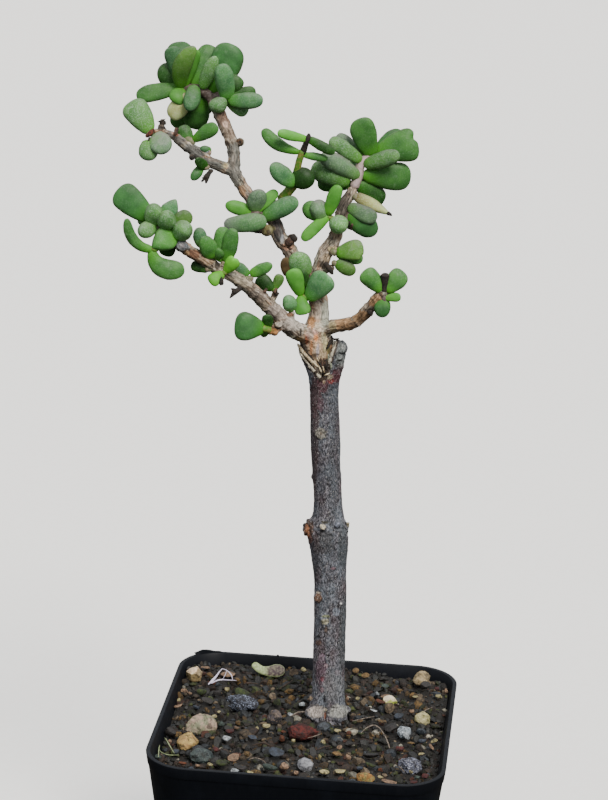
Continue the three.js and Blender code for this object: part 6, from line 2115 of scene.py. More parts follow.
# Splinters in the graft, and two wide black fills of painted shade in the cleft, as they are seen without the
# crown's lean: skin, and right, up, depth and width.
SPLINTERS: tuple[tuple[str, tuple[Station, ...]], ...] = (
    ("char_and_shade", ((-2.5, 104.0, -2.4, 0.5), (-3.1, 103.0, -3.2, 0.8), (-3.8, 101.4, -3.6, 0.5))),
    ("char_and_shade", ((-0.9, 104.1, -2.4, 0.3), (-1.5, 103.9, -2.8, 0.6), (-2.4, 104.0, -2.6, 0.5))),
    ("char_and_shade", ((-11.0, 103.5, -1.4, 0.4), (-10.2, 102.2, -2.2, 0.6), (-9.3, 100.8, -3.0, 0.4))),
    ("char_and_shade", ((-9.0, 100.3, -3.1, 0.4), (-7.8, 98.9, -3.8, 0.5), (-6.6, 97.6, -4.1, 0.4))),
    ("char_and_shade", ((-6.0, 98.6, -3.8, 0.4), (-5.6, 97.6, -4.2, 0.6), (-5.0, 96.4, -4.3, 0.6),
              (-4.6, 95.2, -4.2, 0.4))),
    ("char_and_shade", ((-3.9, 98.6, -3.9, 0.4), (-3.8, 97.2, -4.2, 0.8), (-3.5, 95.6, -4.2, 0.5))),
    ("char_and_shade", ((-4.9, 97.9, -4.0, 0.3), (-4.5, 96.8, -4.3, 0.45), (-4.2, 95.6, -4.2, 0.3))),
    ("brown", ((-8.4, 100.0, -3.0, 0.4), (-7.6, 98.6, -3.7, 0.6), (-6.9, 97.8, -3.9, 0.4))),
    ("brown", ((-5.3, 98.8, -3.9, 0.4), (-4.9, 97.6, -4.2, 0.6), (-4.7, 96.6, -4.3, 0.4))),
    ("brown", ((-4.6, 98.8, -3.8, 0.5), (-4.3, 98.0, -4.0, 0.7), (-4.1, 97.0, -4.2, 0.4))),
    # Two wide black fills in the middle of the cleft, beside the scion's foot: painted shade in its gaps.
    ("char_and_shade", ((-3.4, 104.4, 0.5, 2.4), (-3.8, 101.0, 0.4, 2.8), (-4.4, 97.6, 0.4, 2.4))),
    ("char_and_shade", ((-9.6, 101.6, 0.6, 1.2), (-8.0, 99.0, 0.6, 1.8), (-6.2, 96.8, 0.4, 2.2))),
    ("cream", ((-5.8, 96.8, -4.5, 0.25), (-5.4, 95.8, -4.6, 0.5), (-5.0, 95.0, -4.5, 0.25))),
    ("cream", ((-11.3, 102.4, -1.1, 0.4), (-10.8, 101.7, -1.6, 0.9), (-9.8, 100.4, -2.5, 1.0),
               (-8.3, 98.7, -3.6, 0.9), (-7.0, 97.4, -4.2, 0.8), (-6.0, 96.5, -4.5, 0.5))),
    ("cream", ((-7.2, 98.2, -4.0, 0.25), (-6.7, 97.7, -4.2, 0.4), (-6.2, 97.4, -4.2, 0.25))),
    ("cream", ((-4.2, 94.2, -4.4, 0.3), (-3.6, 94.6, -4.5, 0.55), (-3.0, 95.0, -4.3, 0.3))),
    ("cream", ((-4.7, 96.6, -4.6, 0.2), (-4.5, 95.8, -4.6, 0.35), (-4.3, 95.0, -4.5, 0.2))),
    ("cream", ((-6.3, 98.9, -4.0, 0.2), (-6.0, 98.2, -4.2, 0.35), (-5.6, 97.6, -4.2, 0.2))),
    ("moss_and_shade", ((-3.4, 99.8, -3.9, 0.4), (-3.2, 98.4, -4.2, 0.7), (-3.1, 97.0, -4.2, 0.4))),
    ("moss_and_shade", ((-2.9, 97.8, -4.3, 0.4), (-2.6, 96.8, -4.5, 0.7), (-2.8, 95.8, -4.3, 0.4))),
)

# Withered shoots and scales on the crown, and one black strip of painted shade on the trunk: skin, and right,
# up, depth and width.
WITHERED: tuple[tuple[str, tuple[Station, ...]], ...] = (
    ("char_and_shade", ((-11.5, 151.6, -1.2, 1.7), (-11.0, 153.4, -1.7, 1.5), (-10.4, 155.2, -2.2, 1.7),
              (-10.1, 156.3, -2.4, 0.8))),
    ("char_and_shade", ((10.0, 116.4, -6.0, 1.3), (10.1, 118.6, -6.5, 1.5), (10.1, 121.0, -7.0, 2.4))),
    ("char_and_shade", ((-45.5, 156.0, 0, 0.7), (-46.0, 156.8, 0, 0.6), (-46.4, 157.7, 0, 0.8))),
    ("char_and_shade", ((-33.9, 146.4, 2.4, 0.9), (-35.0, 145.2, 1.8, 1.2), (-36.4, 143.5, 1.6, 0.5))),
    ("char_and_shade", ((-34.2, 146.4, 2.4, 1.0), (-35.0, 144.6, 1.6, 1.1), (-35.4, 143.2, 1.4, 0.5))),
    ("char_and_shade", ((-26.2, 116.4, -9.0, 1.3), (-27.3, 115.5, -9.6, 1.2), (-28.3, 114.4, -9.8, 0.8),
              (-28.7, 113.8, -9.8, 0.4))),
    ("char_and_shade", ((-26.9, 115.9, -9.4, 1.1), (-27.6, 115.9, -9.8, 0.9), (-28.4, 116.3, -9.8, 0.5))),
    ("brown", ((-14.6, 128.4, 0.8, 2.0), (-13.6, 129.3, 0.5, 2.1))),
    ("char_and_shade", ((-13.3, 129.7, 0.4, 2.4), (-12.8, 130.1, 0.4, 2.2))),
    # A black strip where the trunk lies in the shade of the leaf before it: painted shade.
    ("char_and_shade", ((-5.0, 123.6, -0.6, 1.4), (-3.6, 121.8, -0.8, 1.5), (-3.1, 120.9, -0.8, 0.7))),
    ("char_and_shade", ((10.2, 137.0, 3.8, 1.1), (10.9, 136.6, 4.0, 0.7), (11.2, 136.4, 4.0, 0.3))),
    ("rust", ((-50.3, 154.4, -2.2, 0.8), (-49.4, 155.2, -2.4, 1.2), (-48.6, 156.2, -2.0, 0.8))),
    ("brown", ((-43.2, 155.2, -1.0, 1.0), (-42.8, 156.6, -1.2, 1.1))),
    ("char_and_shade", ((-49.4, 154.0, -1.0, 0.9), (-49.7, 153.2, -1.4, 0.7))),
    ("char_and_shade", ((0.3, 133.4, 2.6, 0.8), (0.5, 134.4, 2.0, 0.9))),
    ("brown", ((1.0, 132.8, 2.6, 0.7), (1.4, 133.8, 2.0, 0.8))),
    ("brown", ((-14.9, 127.6, 1.6, 0.5), (-13.8, 127.1, 0.7, 0.6), (-12.7, 126.9, 1.6, 0.5))),
    ("brown", ((-17.1, 116.6, -5.4, 0.7), (-17.6, 115.6, -5.8, 0.9))),
    ("brown", ((-19.6, 116.4, -6.2, 0.8), (-20.1, 115.6, -6.6, 0.9))),
    ("char_and_shade", ((-31.2, 119.4, -10.2, 0.9), (-31.0, 118.0, -10.6, 1.2), (-30.9, 117.3, -10.4, 1.1))),
    ("char_and_shade", ((-20.6, 131.4, 1.2, 1.4), (-22.6, 131.4, 1.2, 1.2), (-24.6, 131.6, 0.8, 0.8))),
)

# Dead flowers: right, up, depth, width, and how far each leans to the left, in degrees.
FLOWERS: tuple[tuple[float, float, float, float, float], ...] = (
    (-46.4, 157.9, 0, 1.9, 15), (-35.4, 144.6, 1.4, 1.6, 140), (-27.7, 115.4, -10.0, 1.3, 160),
    (6.8, 111.3, -5.9, 1.3, -120), (-17.0, 115.3, -5.4, 1.2, 30), (0.2, 134.2, 2.2, 1.2, -30),
    (-38.8, 149.4, 0.6, 1.1, 170), (-49.8, 153.0, -1.2, 1.0, 170),
)

BIT_SKINS = {
    # This black is also laid as painted shade, in the cleft and on the trunk.
    "char_and_shade": DriedSkin("black_withered_flower_and_shade", "#32271f", "#0f0c0a"),
    "brown": DriedSkin("brown_withered_scale", "#5c4233", "#2c1f18"),
    "cream": DriedSkin("split_pale_wood", "#d8caa9", "#8f7858", 0.75),
    "rust": DriedSkin("rust_brown_scar", "#6e3420", "#30130c"),
    "moss_and_shade": DriedSkin("green_grey_splinter", "#969b87", "#4a4f42"),
}


@dataclass
class DeadBits:
    """Splinters in the graft, withered shoots and dead flowers of the crown, and black strips of painted shade
    in the cleft and on the trunk.

    Attributes:
        sides: How many sides a dead flower has.
        rings: The height and radius of its rings, from its foot over its rim and down into the cup.
        rough: How far the bits' surface is roughened.
    """

    sides: int = 10
    rings: tuple[tuple[float, float], ...] = (
        (0.0, 0.16), (0.15, 0.38), (0.4, 0.5), (0.62, 0.34), (0.8, 0.5), (0.72, 0.36), (0.5, 0.2),
    )
    rough: float = 0.13

    def flower(self) -> Piece:
        """Models one dead flower: a shrivelled cup with a ragged rim.

        Returns:
            The flower, one unit wide.
        """
        flower = fresh(bpy.ops.mesh.primitive_circle_add, vertices=self.sides, radius=self.rings[0][1],
                       fill_type="NGON")
        bpy.ops.object.mode_set(mode="EDIT")
        bpy.ops.mesh.select_all(action="SELECT")
        for (low, narrow), (high, broad) in zip(self.rings, self.rings[1:]):
            bpy.ops.mesh.extrude_region_move(TRANSFORM_OT_translate={"value": (0, 0, high - low)})
            grow = broad / narrow
            bpy.ops.transform.resize(value=(grow, grow, 1), center_override=(0, 0, high))
        bpy.ops.object.mode_set(mode="OBJECT")
        outward(flower)
        points = points_of(flower)
        points[:, :2] *= 1.0 + 0.5 * ripple(points, 0.3, 2.0)[:, None]
        points[:, 2] += 0.2 * ripple(points, 0.25, 5.0) - self.rings[2][0]
        put_points(flower, points)
        return flower

    def build(self) -> None:
        """Makes all the dead bits and settles them, one piece of each colour."""
        points, faces = taken_apart(self.flower())
        heap = []
        for *place, width, lean in FLOWERS:
            turn = Matrix.Rotation(math.radians(-lean), 3, "Y") @ Matrix.Rotation(place[0], 3, "Z")
            heap.append((points @ np.array(turn).T * width + np.array(leaning(place)), faces, 1.0))
        settle(heaped(heap), "dead_flowers", "dry_litter", [BIT_SKINS["char_and_shade"].material()], on_plant=True,
               sharp=60)
        for kind, skin in BIT_SKINS.items():
            lines = [GrownLine.through(line, placed=seen) for name, line in SPLINTERS if name == kind]
            lines += [GrownLine.through(line) for name, line in WITHERED if name == kind]
            bits = joined([line.body(12) for line in lines])
            places, normals = points_of(bits), normals_of(bits)
            put_points(bits, places + normals * (self.rough * ripple(places, 0.4, 4.0))[:, None])
            settle(bits, f"{kind}_bits", "dry_litter", [skin.material()], on_plant=True, sharp=50)


# Leaves

class LeafForm(Enum):
    """The leaf's outlines: how wide it is at the root, where it is widest, and how blunt its tip is."""

    SPOON = (0.44, 0.66, 2.5)
    WEDGE = (0.46, 0.72, 2.35)
    BALL = (0.6, 0.5, 2.1)
    STRAP = (0.66, 0.58, 2.5)
    HEART = (0.42, 0.72, 2.6)
    POINTED = (0.75, 0.45, 1.35)


@dataclass(frozen=True)
class Leaf:
    """One fat leaf.

    Attributes:
        root: Where it starts, as it is seen.
        tip: Where it ends, as it is seen.
        wide: Its greatest width in millimetres.
        look: Its finish.
        form: Its outline.
        thick: Its thickness as a share of its width.
        roll: How far it is turned about its own length, in degrees.
        via: A place that its middle passes, if it is bowed.
        notch: How deep the notch in its tip is, as a share of its length, and where across the leaf it is.
        tone: How light it is beside others of its finish, partly its own tone and partly painted light and
            shade for how it is lit in the crown.
    """

    root: Place
    tip: Place
    wide: float
    look: Leafage
    form: LeafForm = LeafForm.SPOON
    thick: float = 0.52
    roll: float = 0.0
    via: Optional[Place] = None
    notch: tuple[float, float] = (0.0, 0.0)
    tone: float = 1.0


@dataclass(frozen=True)
class Shoot:
    """A leafy shoot or bunch: its young stems, its leaves and the skin of its stems, by how old they are, with
    painted shade for stems deep in the crown.
    """

    stems: tuple[tuple[Station, ...], ...]
    leaves: tuple[Leaf, ...]
    age: StemLook = StemLook.CORKED


LIME, FRESH, MATURE, RICH, DEEP, BLOOMED, MOTTLED, OLIVE, DULL, TWOFOLD, PALE, DRY = Leafage
WEDGE, BALL = LeafForm.WEDGE, LeafForm.BALL
STRAP, HEART, POINTED = LeafForm.STRAP, LeafForm.HEART, LeafForm.POINTED

SHOOTS: dict[str, Shoot] = {
    "crown_leaves": Shoot(
        (
            ((-33.4, 162.9, 8, 3), (-34.8, 165, 8.4, 2.8), (-38, 166.6, 8.4, 2.8), (-42, 166.6, 8.2, 2.2)),
            ((-34.4, 164.4, 8.2, 2.6), (-32, 165, 8, 2.6), (-29.8, 164.8, 8, 2.2)),
        ),
        (
            Leaf((-41, 166.8, 9), (-42.9, 178.2, 12.6), 7, RICH),
            Leaf((-41.3, 166.8, 8.6), (-44.6, 176.9, 8), 5.2, BLOOMED, roll=-15, tone=0.85),
            Leaf((-41.7, 166.9, 9), (-47.1, 172.2, 10.6), 6, DEEP, BALL, tone=1.3),
            Leaf((-41.1, 166.8, 7.8), (-38.5, 176.5, 5.4), 4, FRESH, roll=12, tone=0.7),
            Leaf((-41.6, 166.7, 7.4), (-38.5, 177, 3), 4.8, OLIVE, BALL, via=(-41.9, 172.2, 4)),
            Leaf((-41.6, 166.9, 8), (-52.9, 164.3, 7), 4.7, MATURE, roll=15, tone=0.82),
            Leaf((-41.4, 166.9, 8), (-43.5, 163.1, 4.6), 4.8, FRESH, tone=0.7),
            Leaf((-38.5, 167.6, 6.4), (-39.9, 161.1, 2.8), 4.3, BLOOMED, BALL, 0.7, tone=0.8),
            Leaf((-38.6, 165.8, 7.2), (-44.5, 159.3, 8), 4.9, PALE, tone=1.3),
            Leaf((-36.5, 165.2, 9.2), (-38.9, 156.8, 12), 6.4, MATURE, tone=0.85),
            Leaf((-38, 165.6, 9.4), (-43.4, 157, 15), 5, MATURE, tone=0.95),
            Leaf((-38.6, 166.8, 9.2), (-34.6, 177.6, 13), 6.2, MATURE, tone=0.85),
            Leaf((-34.2, 165.6, 8.8), (-29.4, 178, 10.5), 8.4, RICH, WEDGE, roll=-10, tone=1.05),
            Leaf((-36.7, 166.8, 6.8), (-33.5, 174.9, 3.2), 3.8, MOTTLED, BALL, tone=1.1),
            Leaf((-30.4, 164.3, 7.4), (-32.2, 173, 3.8), 4.9, BLOOMED, STRAP, 0.7, 10, tone=1.25),
            Leaf((-30.6, 165.8, 8.4), (-27.6, 170.1, 9.4), 4.4, DEEP, tone=1.2),
            Leaf((-29.6, 165.3, 8.6), (-23.5, 166.5, 9.5), 3.6, DEEP, tone=1.3),
            Leaf((-30.4, 164.1, 7.4), (-21.7, 164.4, 5.4), 4.2, BLOOMED, STRAP, 0.7),
            Leaf((-30.6, 163.9, 8), (-25.4, 161.2, 8.6), 3.8, MOTTLED, tone=0.95),
            Leaf((-33, 164, 7), (-32.2, 162.1, 2.4), 4.8, MOTTLED, BALL, 0.8),
            Leaf((-31.4, 165.2, 9), (-30.4, 171, 13), 3.8, DEEP),
            Leaf((-37, 166.2, 9.4), (-37.4, 171.5, 16), 5, MATURE),
            Leaf((-33, 165.2, 9.2), (-30, 169.4, 15.5), 5, RICH),
            Leaf((-41, 166.4, 9.4), (-44.5, 168.5, 15.5), 4.5, MATURE),
            Leaf((-35.4, 165, 9.4), (-36.6, 160.6, 15), 4.5, DEEP),
        ),
        StemLook.SHADED,
    ),
    "high_left_tip_leaves": Shoot(
        (((-48.9, 155.6, -0.7, 1.8), (-49.5, 155.4, -0.9, 2.2), (-49.9, 154.9, -1.1, 1.6)),),
        (
            Leaf((-49.2, 155.4, -0.9), (-54.6, 162.9, 0.4), 6.7, MOTTLED, tone=0.95),
            Leaf((-48.5, 154.9, -1.2), (-44.9, 150.8, -4.6), 5.6, DULL, BALL, tone=1.15),
            Leaf((-49.5, 153.6, -1.1), (-50, 148.3, -2.6), 5, MOTTLED, BALL, tone=0.85),
        ),
    ),
    "high_left_upper_leaves": Shoot(
        (((-40.4, 154, 1.4, 1.8), (-39.6, 153.8, 1.4, 2), (-38.7, 153, 1.8, 1.8)),),
        (
            Leaf((-39.5, 153.6, 1.6), (-41.7, 157.4, 3.4), 3.7, DEEP, STRAP, roll=15, tone=1.5),
            Leaf((-38.9, 153.7, 1.4), (-32.8, 157.7, -0.2), 3.7, MATURE),
        ),
    ),
    "high_left_lower_leaves": Shoot(
        (((-34.9, 147.2, 3.2, 1.5), (-35.9, 147.1, 2.6, 1.6)),),
        (
            Leaf((-35.2, 147, 3), (-38, 149.2, 0.2), 2.7, DEEP, BALL, tone=1.4),
            Leaf((-36.5, 147.2, 2.8), (-38.9, 143.8, 1), 2.6, RICH, BALL),
            Leaf((-34.2, 151.5, 2.8), (-37, 151.9, 2.2), 1.8, BLOOMED, BALL, 0.8, tone=0.8),
        ),
    ),
    "low_left_tip_leaves": Shoot(
        (
            ((-41.9, 127.6, -12.3, 3), (-44.4, 129.4, -12.9, 2.8), (-47, 131.4, -13.4, 2.6),
             (-49, 133.6, -13.4, 2.2)),
            ((-44.4, 129.6, -12.9, 2.4), (-44.2, 131.8, -12.8, 2.2), (-43.6, 133, -12.4, 1.8)),
        ),
        (
            Leaf((-48.6, 133.4, -13.2), (-57.4, 140.8, -12), 6.9, RICH, WEDGE, 0.45, tone=1.15),
            Leaf((-48.4, 131.8, -13.4), (-48.2, 137.2, -16.4), 4.6, MOTTLED, BALL, 0.9),
            Leaf((-45.4, 134, -12.6), (-42.7, 138.8, -11.4), 4.4, BLOOMED, POINTED, tone=1.15),
            Leaf((-44.8, 131.2, -13.6), (-44.9, 135.3, -18), 4.5, MOTTLED, BALL, 0.85),
            Leaf((-43.2, 131.8, -12.4), (-38.9, 135.4, -11.6), 4.4, OLIVE, BALL, tone=0.75),
            Leaf((-42.2, 129, -13.2), (-39.8, 132.4, -16.8), 5, MOTTLED, BALL, 0.85, tone=1.1),
            Leaf((-47.6, 131.6, -13.8), (-51.9, 129.8, -17), 4, MOTTLED, BALL, 0.85),
            Leaf((-43.2, 130.4, -13.8), (-48.4, 126, -18), 6, MATURE, POINTED, 0.6, tone=1.3),
            Leaf((-43.8, 128.8, -12.6), (-45.2, 124.2, -10.6), 4, DEEP),
            Leaf((-45.8, 130.6, -12.8), (-46.6, 133.4, -6), 4.8, MATURE),
            Leaf((-43.9, 129.2, -12.4), (-42.2, 129.4, -5.6), 4.5, DEEP),
            Leaf((-48.4, 132.8, -12.4), (-51.4, 134.6, -7.4), 4.5, MATURE),
        ),
    ),
    "low_left_hanging_leaves": Shoot(
        (((-45.6, 128.2, -13.4, 2), (-47, 126.6, -13.8, 1.8), (-48.2, 125.6, -14, 1.7)),),
        (
            Leaf((-48, 125.7, -14), (-54.9, 133.5, -15), 2.7, MATURE, STRAP, 0.8, via=(-53, 127.8, -14.6),
                 tone=0.95),
            Leaf((-48.5, 126, -14), (-40.3, 121, -14.4), 5, MATURE, thick=0.5, via=(-46.3, 121.4, -14.4),
                 tone=0.9),
        ),
        StemLook.GREEN,
    ),
    "low_left_top_leaves": Shoot(
        (((-33.4, 123.6, -10.2, 2), (-34.6, 124.6, -10.8, 2.4), (-35.8, 126, -10.6, 2)),),
        (
            Leaf((-36, 126.6, -10.4), (-37, 131.8, -9.2), 3.4, BLOOMED, BALL, 0.8, tone=0.85),
            Leaf((-33, 124.2, -11.2), (-35.8, 129.4, -13.4), 4.5, MATURE, BALL, 0.7, tone=1.3),
            Leaf((-32.8, 123.9, -10.8), (-31.6, 126.4, -12.6), 3.4, MATURE, BALL),
        ),
        StemLook.SHADED,
    ),
    "low_left_under_leaf": Shoot(
        (((-33.8, 121.2, -9.4, 1.6), (-34.9, 121.2, -9.4, 1.6)),),
        (Leaf((-34.2, 121, -9.4), (-38.7, 122.1, -8.6), 2.8, DEEP, STRAP),),
    ),
    "low_left_paired_leaves": Shoot(
        (((-30.8, 122.6, -8.4, 2), (-29.6, 122.6, -8.4, 2)),),
        (
            Leaf((-31, 123, -8.2), (-30.9, 132.2, -7.4), 4.2, MATURE, STRAP, 0.7, tone=1.15),
            Leaf((-29.9, 122.8, -8.8), (-28.3, 131.8, -9.6), 4, MATURE, STRAP, 0.7),
        ),
    ),
    "low_left_new_leaves": Shoot(
        (((-30.1, 120.5, -9.6, 1.7), (-30.2, 120.5, -10.4, 1.7)),),
        (
            Leaf((-30.1, 120.4, -10), (-27.4, 124.2, -12.2), 3.6, LIME, notch=(0.08, -0.2)),
            Leaf((-30.3, 120.5, -10), (-33.9, 117.6, -12.2), 3.4, LIME, WEDGE, tone=0.75),
        ),
        StemLook.GREEN,
    ),
    "low_left_middle_leaves": Shoot(
        (((-24.8, 119, -6.8, 1.6), (-23.4, 119, -6.6, 1.6)),),
        (
            Leaf((-24.2, 119.8, -6.9), (-27.6, 122.6, -7.6), 2.8, BLOOMED, STRAP),
            Leaf((-23.8, 120.1, -6.8), (-18.3, 122.9, -7.8), 3.1, MATURE, BALL, 0.6, tone=1.3),
        ),
    ),
    "middle_leaves": Shoot(
        (((-20.6, 135.6, 2.9, 2.4), (-22.4, 136, 1.4, 2.4), (-24.2, 134.6, 0, 2)),),
        (
            Leaf((-22.9, 136.2, 1), (-22, 142, -0.6), 5, DULL, BALL, roll=20, tone=0.95),
            Leaf((-23, 136.2, 1), (-17.6, 141.8, 1.8), 3, FRESH, STRAP, tone=0.9),
            Leaf((-23.2, 136, 1), (-30.4, 137.9, 0.4), 3.6, FRESH, BALL, 0.6, tone=0.8),
            Leaf((-21.2, 134.8, 2), (-12.4, 139.6, -0.8), 4.6, BLOOMED, STRAP, 0.7, tone=1.1),
            Leaf((-30.6, 132.5, -1.2), (-20, 134, -1.6), 4.7, TWOFOLD, STRAP, 0.75),
            Leaf((-24.4, 133.6, 0.4), (-26.4, 132.6, 0), 3.4, DULL, BALL),
        ),
        StemLook.SHADED,
    ),
    "twig_leaves": Shoot(
        (
            ((-16.5, 139.6, 2.6, 2.5), (-14.8, 141.8, 1.6, 2.5), (-13.5, 143.4, 1, 2.3),
             (-12.8, 147, -0.2, 1.9), (-12.2, 150, -1, 1.8), (-11.6, 152, -1.4, 1.8)),
        ),
        (
            Leaf((-13.2, 143.3, -0.6), (-19.3, 148.5, -1.6), 4.6, BLOOMED, BALL, 0.75, tone=1.15),
            Leaf((-14.2, 144.9, -0.4), (-8.3, 145.2, -1.2), 5.5, DEEP, BALL, 0.6, tone=0.6),
            Leaf((-11.9, 151.7, -1.2), (-21.4, 157.3, -0.2), 3.3, MATURE, thick=0.7,
                 via=(-17.7, 153.6, -0.8)),
            Leaf((-10.5, 155, -2.2), (-17.9, 156.5, -4.6), 2.6, FRESH, STRAP, 0.7, tone=1.05),
            Leaf((-10.3, 155.2, -2.2), (-3.6, 151.8, -2.4), 2.6, DEEP, STRAP, 0.7, tone=1.3),
            Leaf((-11.5, 151.1, -1.2), (-5.3, 150.3, -1.2), 2.1, MATURE, STRAP, 0.8, tone=1.1),
        ),
        StemLook.GREEN,
    ),
    "right_crown_leaves": Shoot(
        (
            ((1.5, 143.6, 6.2, 2.6), (2.2, 145.4, 6.4, 2.5), (3.1, 149.4, 7, 2.4), (5, 151.3, 7.2, 2.4),
             (6.8, 152.3, 7.2, 2)),
        ),
        (
            Leaf((3.4, 150.7, 7.4), (-3.2, 156.4, 8.8), 3.6, DULL, STRAP, 0.8),
            Leaf((3, 150, 6.4), (-4.9, 155.3, 4.4), 3.8, MOTTLED, STRAP, 0.85),
            Leaf((5.8, 151.2, 6.8), (2.2, 160.7, 4.8), 6.5, MATURE, WEDGE, 0.45, tone=0.95),
            Leaf((5, 151.3, 8), (3.6, 158.2, 13), 4.8, RICH),
            Leaf((6.3, 152, 8.2), (13.4, 157.2, 10.4), 5.4, RICH),
            Leaf((6.5, 152.2, 6.8), (16.9, 155, 6), 8.4, MATURE, HEART, 0.42, notch=(0.09, -0.36)),
            Leaf((3.8, 149, 6.2), (12.4, 152, 2), 4.2, MOTTLED, STRAP, 0.85, tone=0.9),
            Leaf((3.4, 146.4, 6.8), (15.5, 146.4, 8.8), 7.2, MATURE, WEDGE, roll=10, tone=0.9),
            Leaf((2.5, 144.2, 7), (8.8, 139.6, 9), 5.6, DEEP, WEDGE, tone=1.5),
            Leaf((2.6, 146, 5.8), (-7, 151.2, 2.6), 4.6, DULL, STRAP, 0.8, tone=1.05),
            Leaf((0.4, 144.6, 5.8), (-9.3, 148, 6.2), 5.9, MOTTLED, STRAP, 0.75, roll=-12, tone=0.85),
            Leaf((1.7, 144, 6.8), (-7.6, 143.9, 9), 4, DEEP, tone=1.4),
            Leaf((4.4, 150.6, 8), (7.4, 153.8, 14), 5, MATURE),
            Leaf((3.4, 148.2, 7.8), (0.4, 147.6, 13.5), 5, RICH),
            Leaf((2.6, 145.8, 7.4), (6, 144.4, 13.4), 4.2, DEEP),
        ),
        StemLook.PINK,
    ),
    "right_limb_left_leaves": Shoot(
        (((-3.5, 134.9, 3.8, 1.8), (-4.9, 135.6, 3.4, 1.7)),),
        (
            Leaf((-6, 134.8, 3.4), (-7.8, 139.8, 3.8), 4.6, DULL, BALL, 0.8, tone=1.05),
            Leaf((-4.9, 136, 3), (-2.3, 143.7, 1.4), 3.5, FRESH, STRAP, 0.6),
            Leaf((-4.6, 136, 3.2), (-11, 129.4, 2.2), 3.1, FRESH, STRAP, 0.6, tone=0.9),
            Leaf((-6.2, 135.2, 4.4), (-10.9, 138.6, 5.4), 4.6, MATURE, BALL, 0.7, tone=1.2),
        ),
        StemLook.GREEN,
    ),
    "right_limb_front_leaf": Shoot(
        (((-2.1, 134.2, 3, 2.2), (-2.1, 134.2, 2, 2.2)),),
        (Leaf((-2, 135.4, 2.4), (-1.9, 132.3, -2), 4.8, MOTTLED, BALL, 0.95, tone=1.35),),
    ),
    "right_limb_right_leaves": Shoot(
        (((-0.4, 135, 4.2, 2.2), (0.6, 136.4, 4.4, 2), (0.9, 137.6, 4.8, 1.8)),),
        (
            Leaf((0.2, 138.4, 4.2), (7.4, 135.2, 2.6), 4.2, DULL, STRAP, 0.7, tone=0.75),
            Leaf((0, 136.4, 4), (7.6, 131.8, 4.4), 5.8, RICH, BALL, 0.6, tone=0.9),
        ),
        StemLook.SHADED,
    ),
    "right_limb_pale_leaf": Shoot(
        (((1.7, 141, 5.2, 2), (2.2, 140.8, 5, 1.9)),),
        (Leaf((1.6, 141.3, 5), (10.7, 136.7, 4.2), 3.2, PALE, POINTED, 0.7),),
    ),
    "right_limb_low_leaves": Shoot(
        (((-3.4, 126.8, 1.6, 2), (-2.6, 126.4, 1.2, 1.9)),),
        (
            Leaf((-2.3, 126.4, 1.4), (4.5, 127.6, 0.2), 5.3, OLIVE, WEDGE, 0.5, -12, notch=(0.08, 0.75),
                 tone=1.15),
            Leaf((-2.3, 125.8, 1.8), (4.4, 125, 2.6), 3.3, MATURE),
        ),
    ),
    "right_limb_short_leaf": Shoot(
        (((-3, 123.8, 1.3, 1.6), (-2.2, 123.6, 0.9, 1.6)),),
        (Leaf((-2.4, 124, 0.9), (2.6, 121.4, 0.2), 3.7, OLIVE, BALL, 0.7, tone=0.75),),
    ),
    "trunk_front_leaf": Shoot(
        (((-12.2, 121.6, 0.4, 2.2), (-12.6, 122, -0.8, 2)),),
        (
            Leaf((-10.2, 119.9, -0.2), (-12.4, 126.1, -3.4), 6.1, MOTTLED, BALL, 0.55, tone=1.25),
            Leaf((-14.3, 119.9, -0.6), (-15.1, 124.8, -1.8), 3, DRY, BALL, tone=1.2),
        ),
        StemLook.SHADED,
    ),
    "trunk_leaves": Shoot(
        (((-9.4, 114.4, -0.8, 2.2), (-10.3, 114.9, 0.2, 2.2), (-9.8, 115.4, 2, 2)),),
        (
            Leaf((-10.9, 115, -0.6), (-13.4, 121.8, -3.8), 4.4, FRESH, WEDGE, tone=1.05),
            Leaf((-9.8, 117.4, -1.8), (-10.6, 121.6, -3), 2.8, DEEP, BALL, tone=1.3),
            Leaf((-11.1, 115.1, -0.6), (-10.1, 110, -3.2), 4, FRESH, WEDGE, tone=0.78),
            Leaf((-9.8, 115.4, 1.6), (-11.2, 120.6, 6.6), 4.2, DEEP),
            Leaf((-9.1, 114.1, -1), (-4.1, 120.5, -5.2), 6.5, BLOOMED, thick=0.42, tone=1.75),
        ),
        StemLook.GREEN,
    ),
    "stub_leaf": Shoot(
        (),
        (
            Leaf((-13, 111, -2.4), (-14.3, 114.8, -4.4), 3.7, BLOOMED, BALL, 0.85, tone=1.7),
        ),
    ),
    "fork_leaves": Shoot(
        (((-17.5, 115.9, -4, 1.6), (-17.5, 116.5, -3.9, 1.5)),),
        (
            Leaf((-17.7, 116.3, -4), (-22, 119.4, -3), 4, DEEP, tone=0.9),
            Leaf((-17.5, 116.3, -3.9), (-16.1, 120.4, -3.4), 2.6, OLIVE, tone=0.8),
        ),
        StemLook.GREEN,
    ),
    "trunk_left_leaves": Shoot(
        (((-18, 105.8, -3.5, 2), (-19, 105.9, -3.7, 2), (-20.2, 106.1, -3.9, 1.8)),),
        (
            Leaf((-19.7, 106.1, -3.8), (-27.4, 106.7, -5), 7.1, RICH, HEART, 0.45, tone=1.15),
            Leaf((-18.9, 106.4, -3.4), (-19.3, 109.8, -4.6), 2.9, DEEP, STRAP, tone=1.2),
            Leaf((-18.6, 105.6, -2.6), (-20.8, 104.6, -0.8), 2.2, OLIVE),
        ),
        StemLook.GREEN,
    ),
    "low_right_tip_leaves": Shoot(
        (
            ((9.3, 116, -5.6, 2.2), (10.2, 116.6, -5.7, 2.2)),
            ((10, 116.2, -5.6, 2), (10.3, 114.4, -5.4, 1.9)),
        ),
        (
            Leaf((9.6, 116.8, -5.8), (4.7, 122, -6.4), 4.8, MATURE, WEDGE, 0.6, tone=1.15),
            Leaf((10.4, 116.8, -5.6), (14.7, 122.2, -4.8), 5, MATURE, WEDGE, 0.6, tone=1.1),
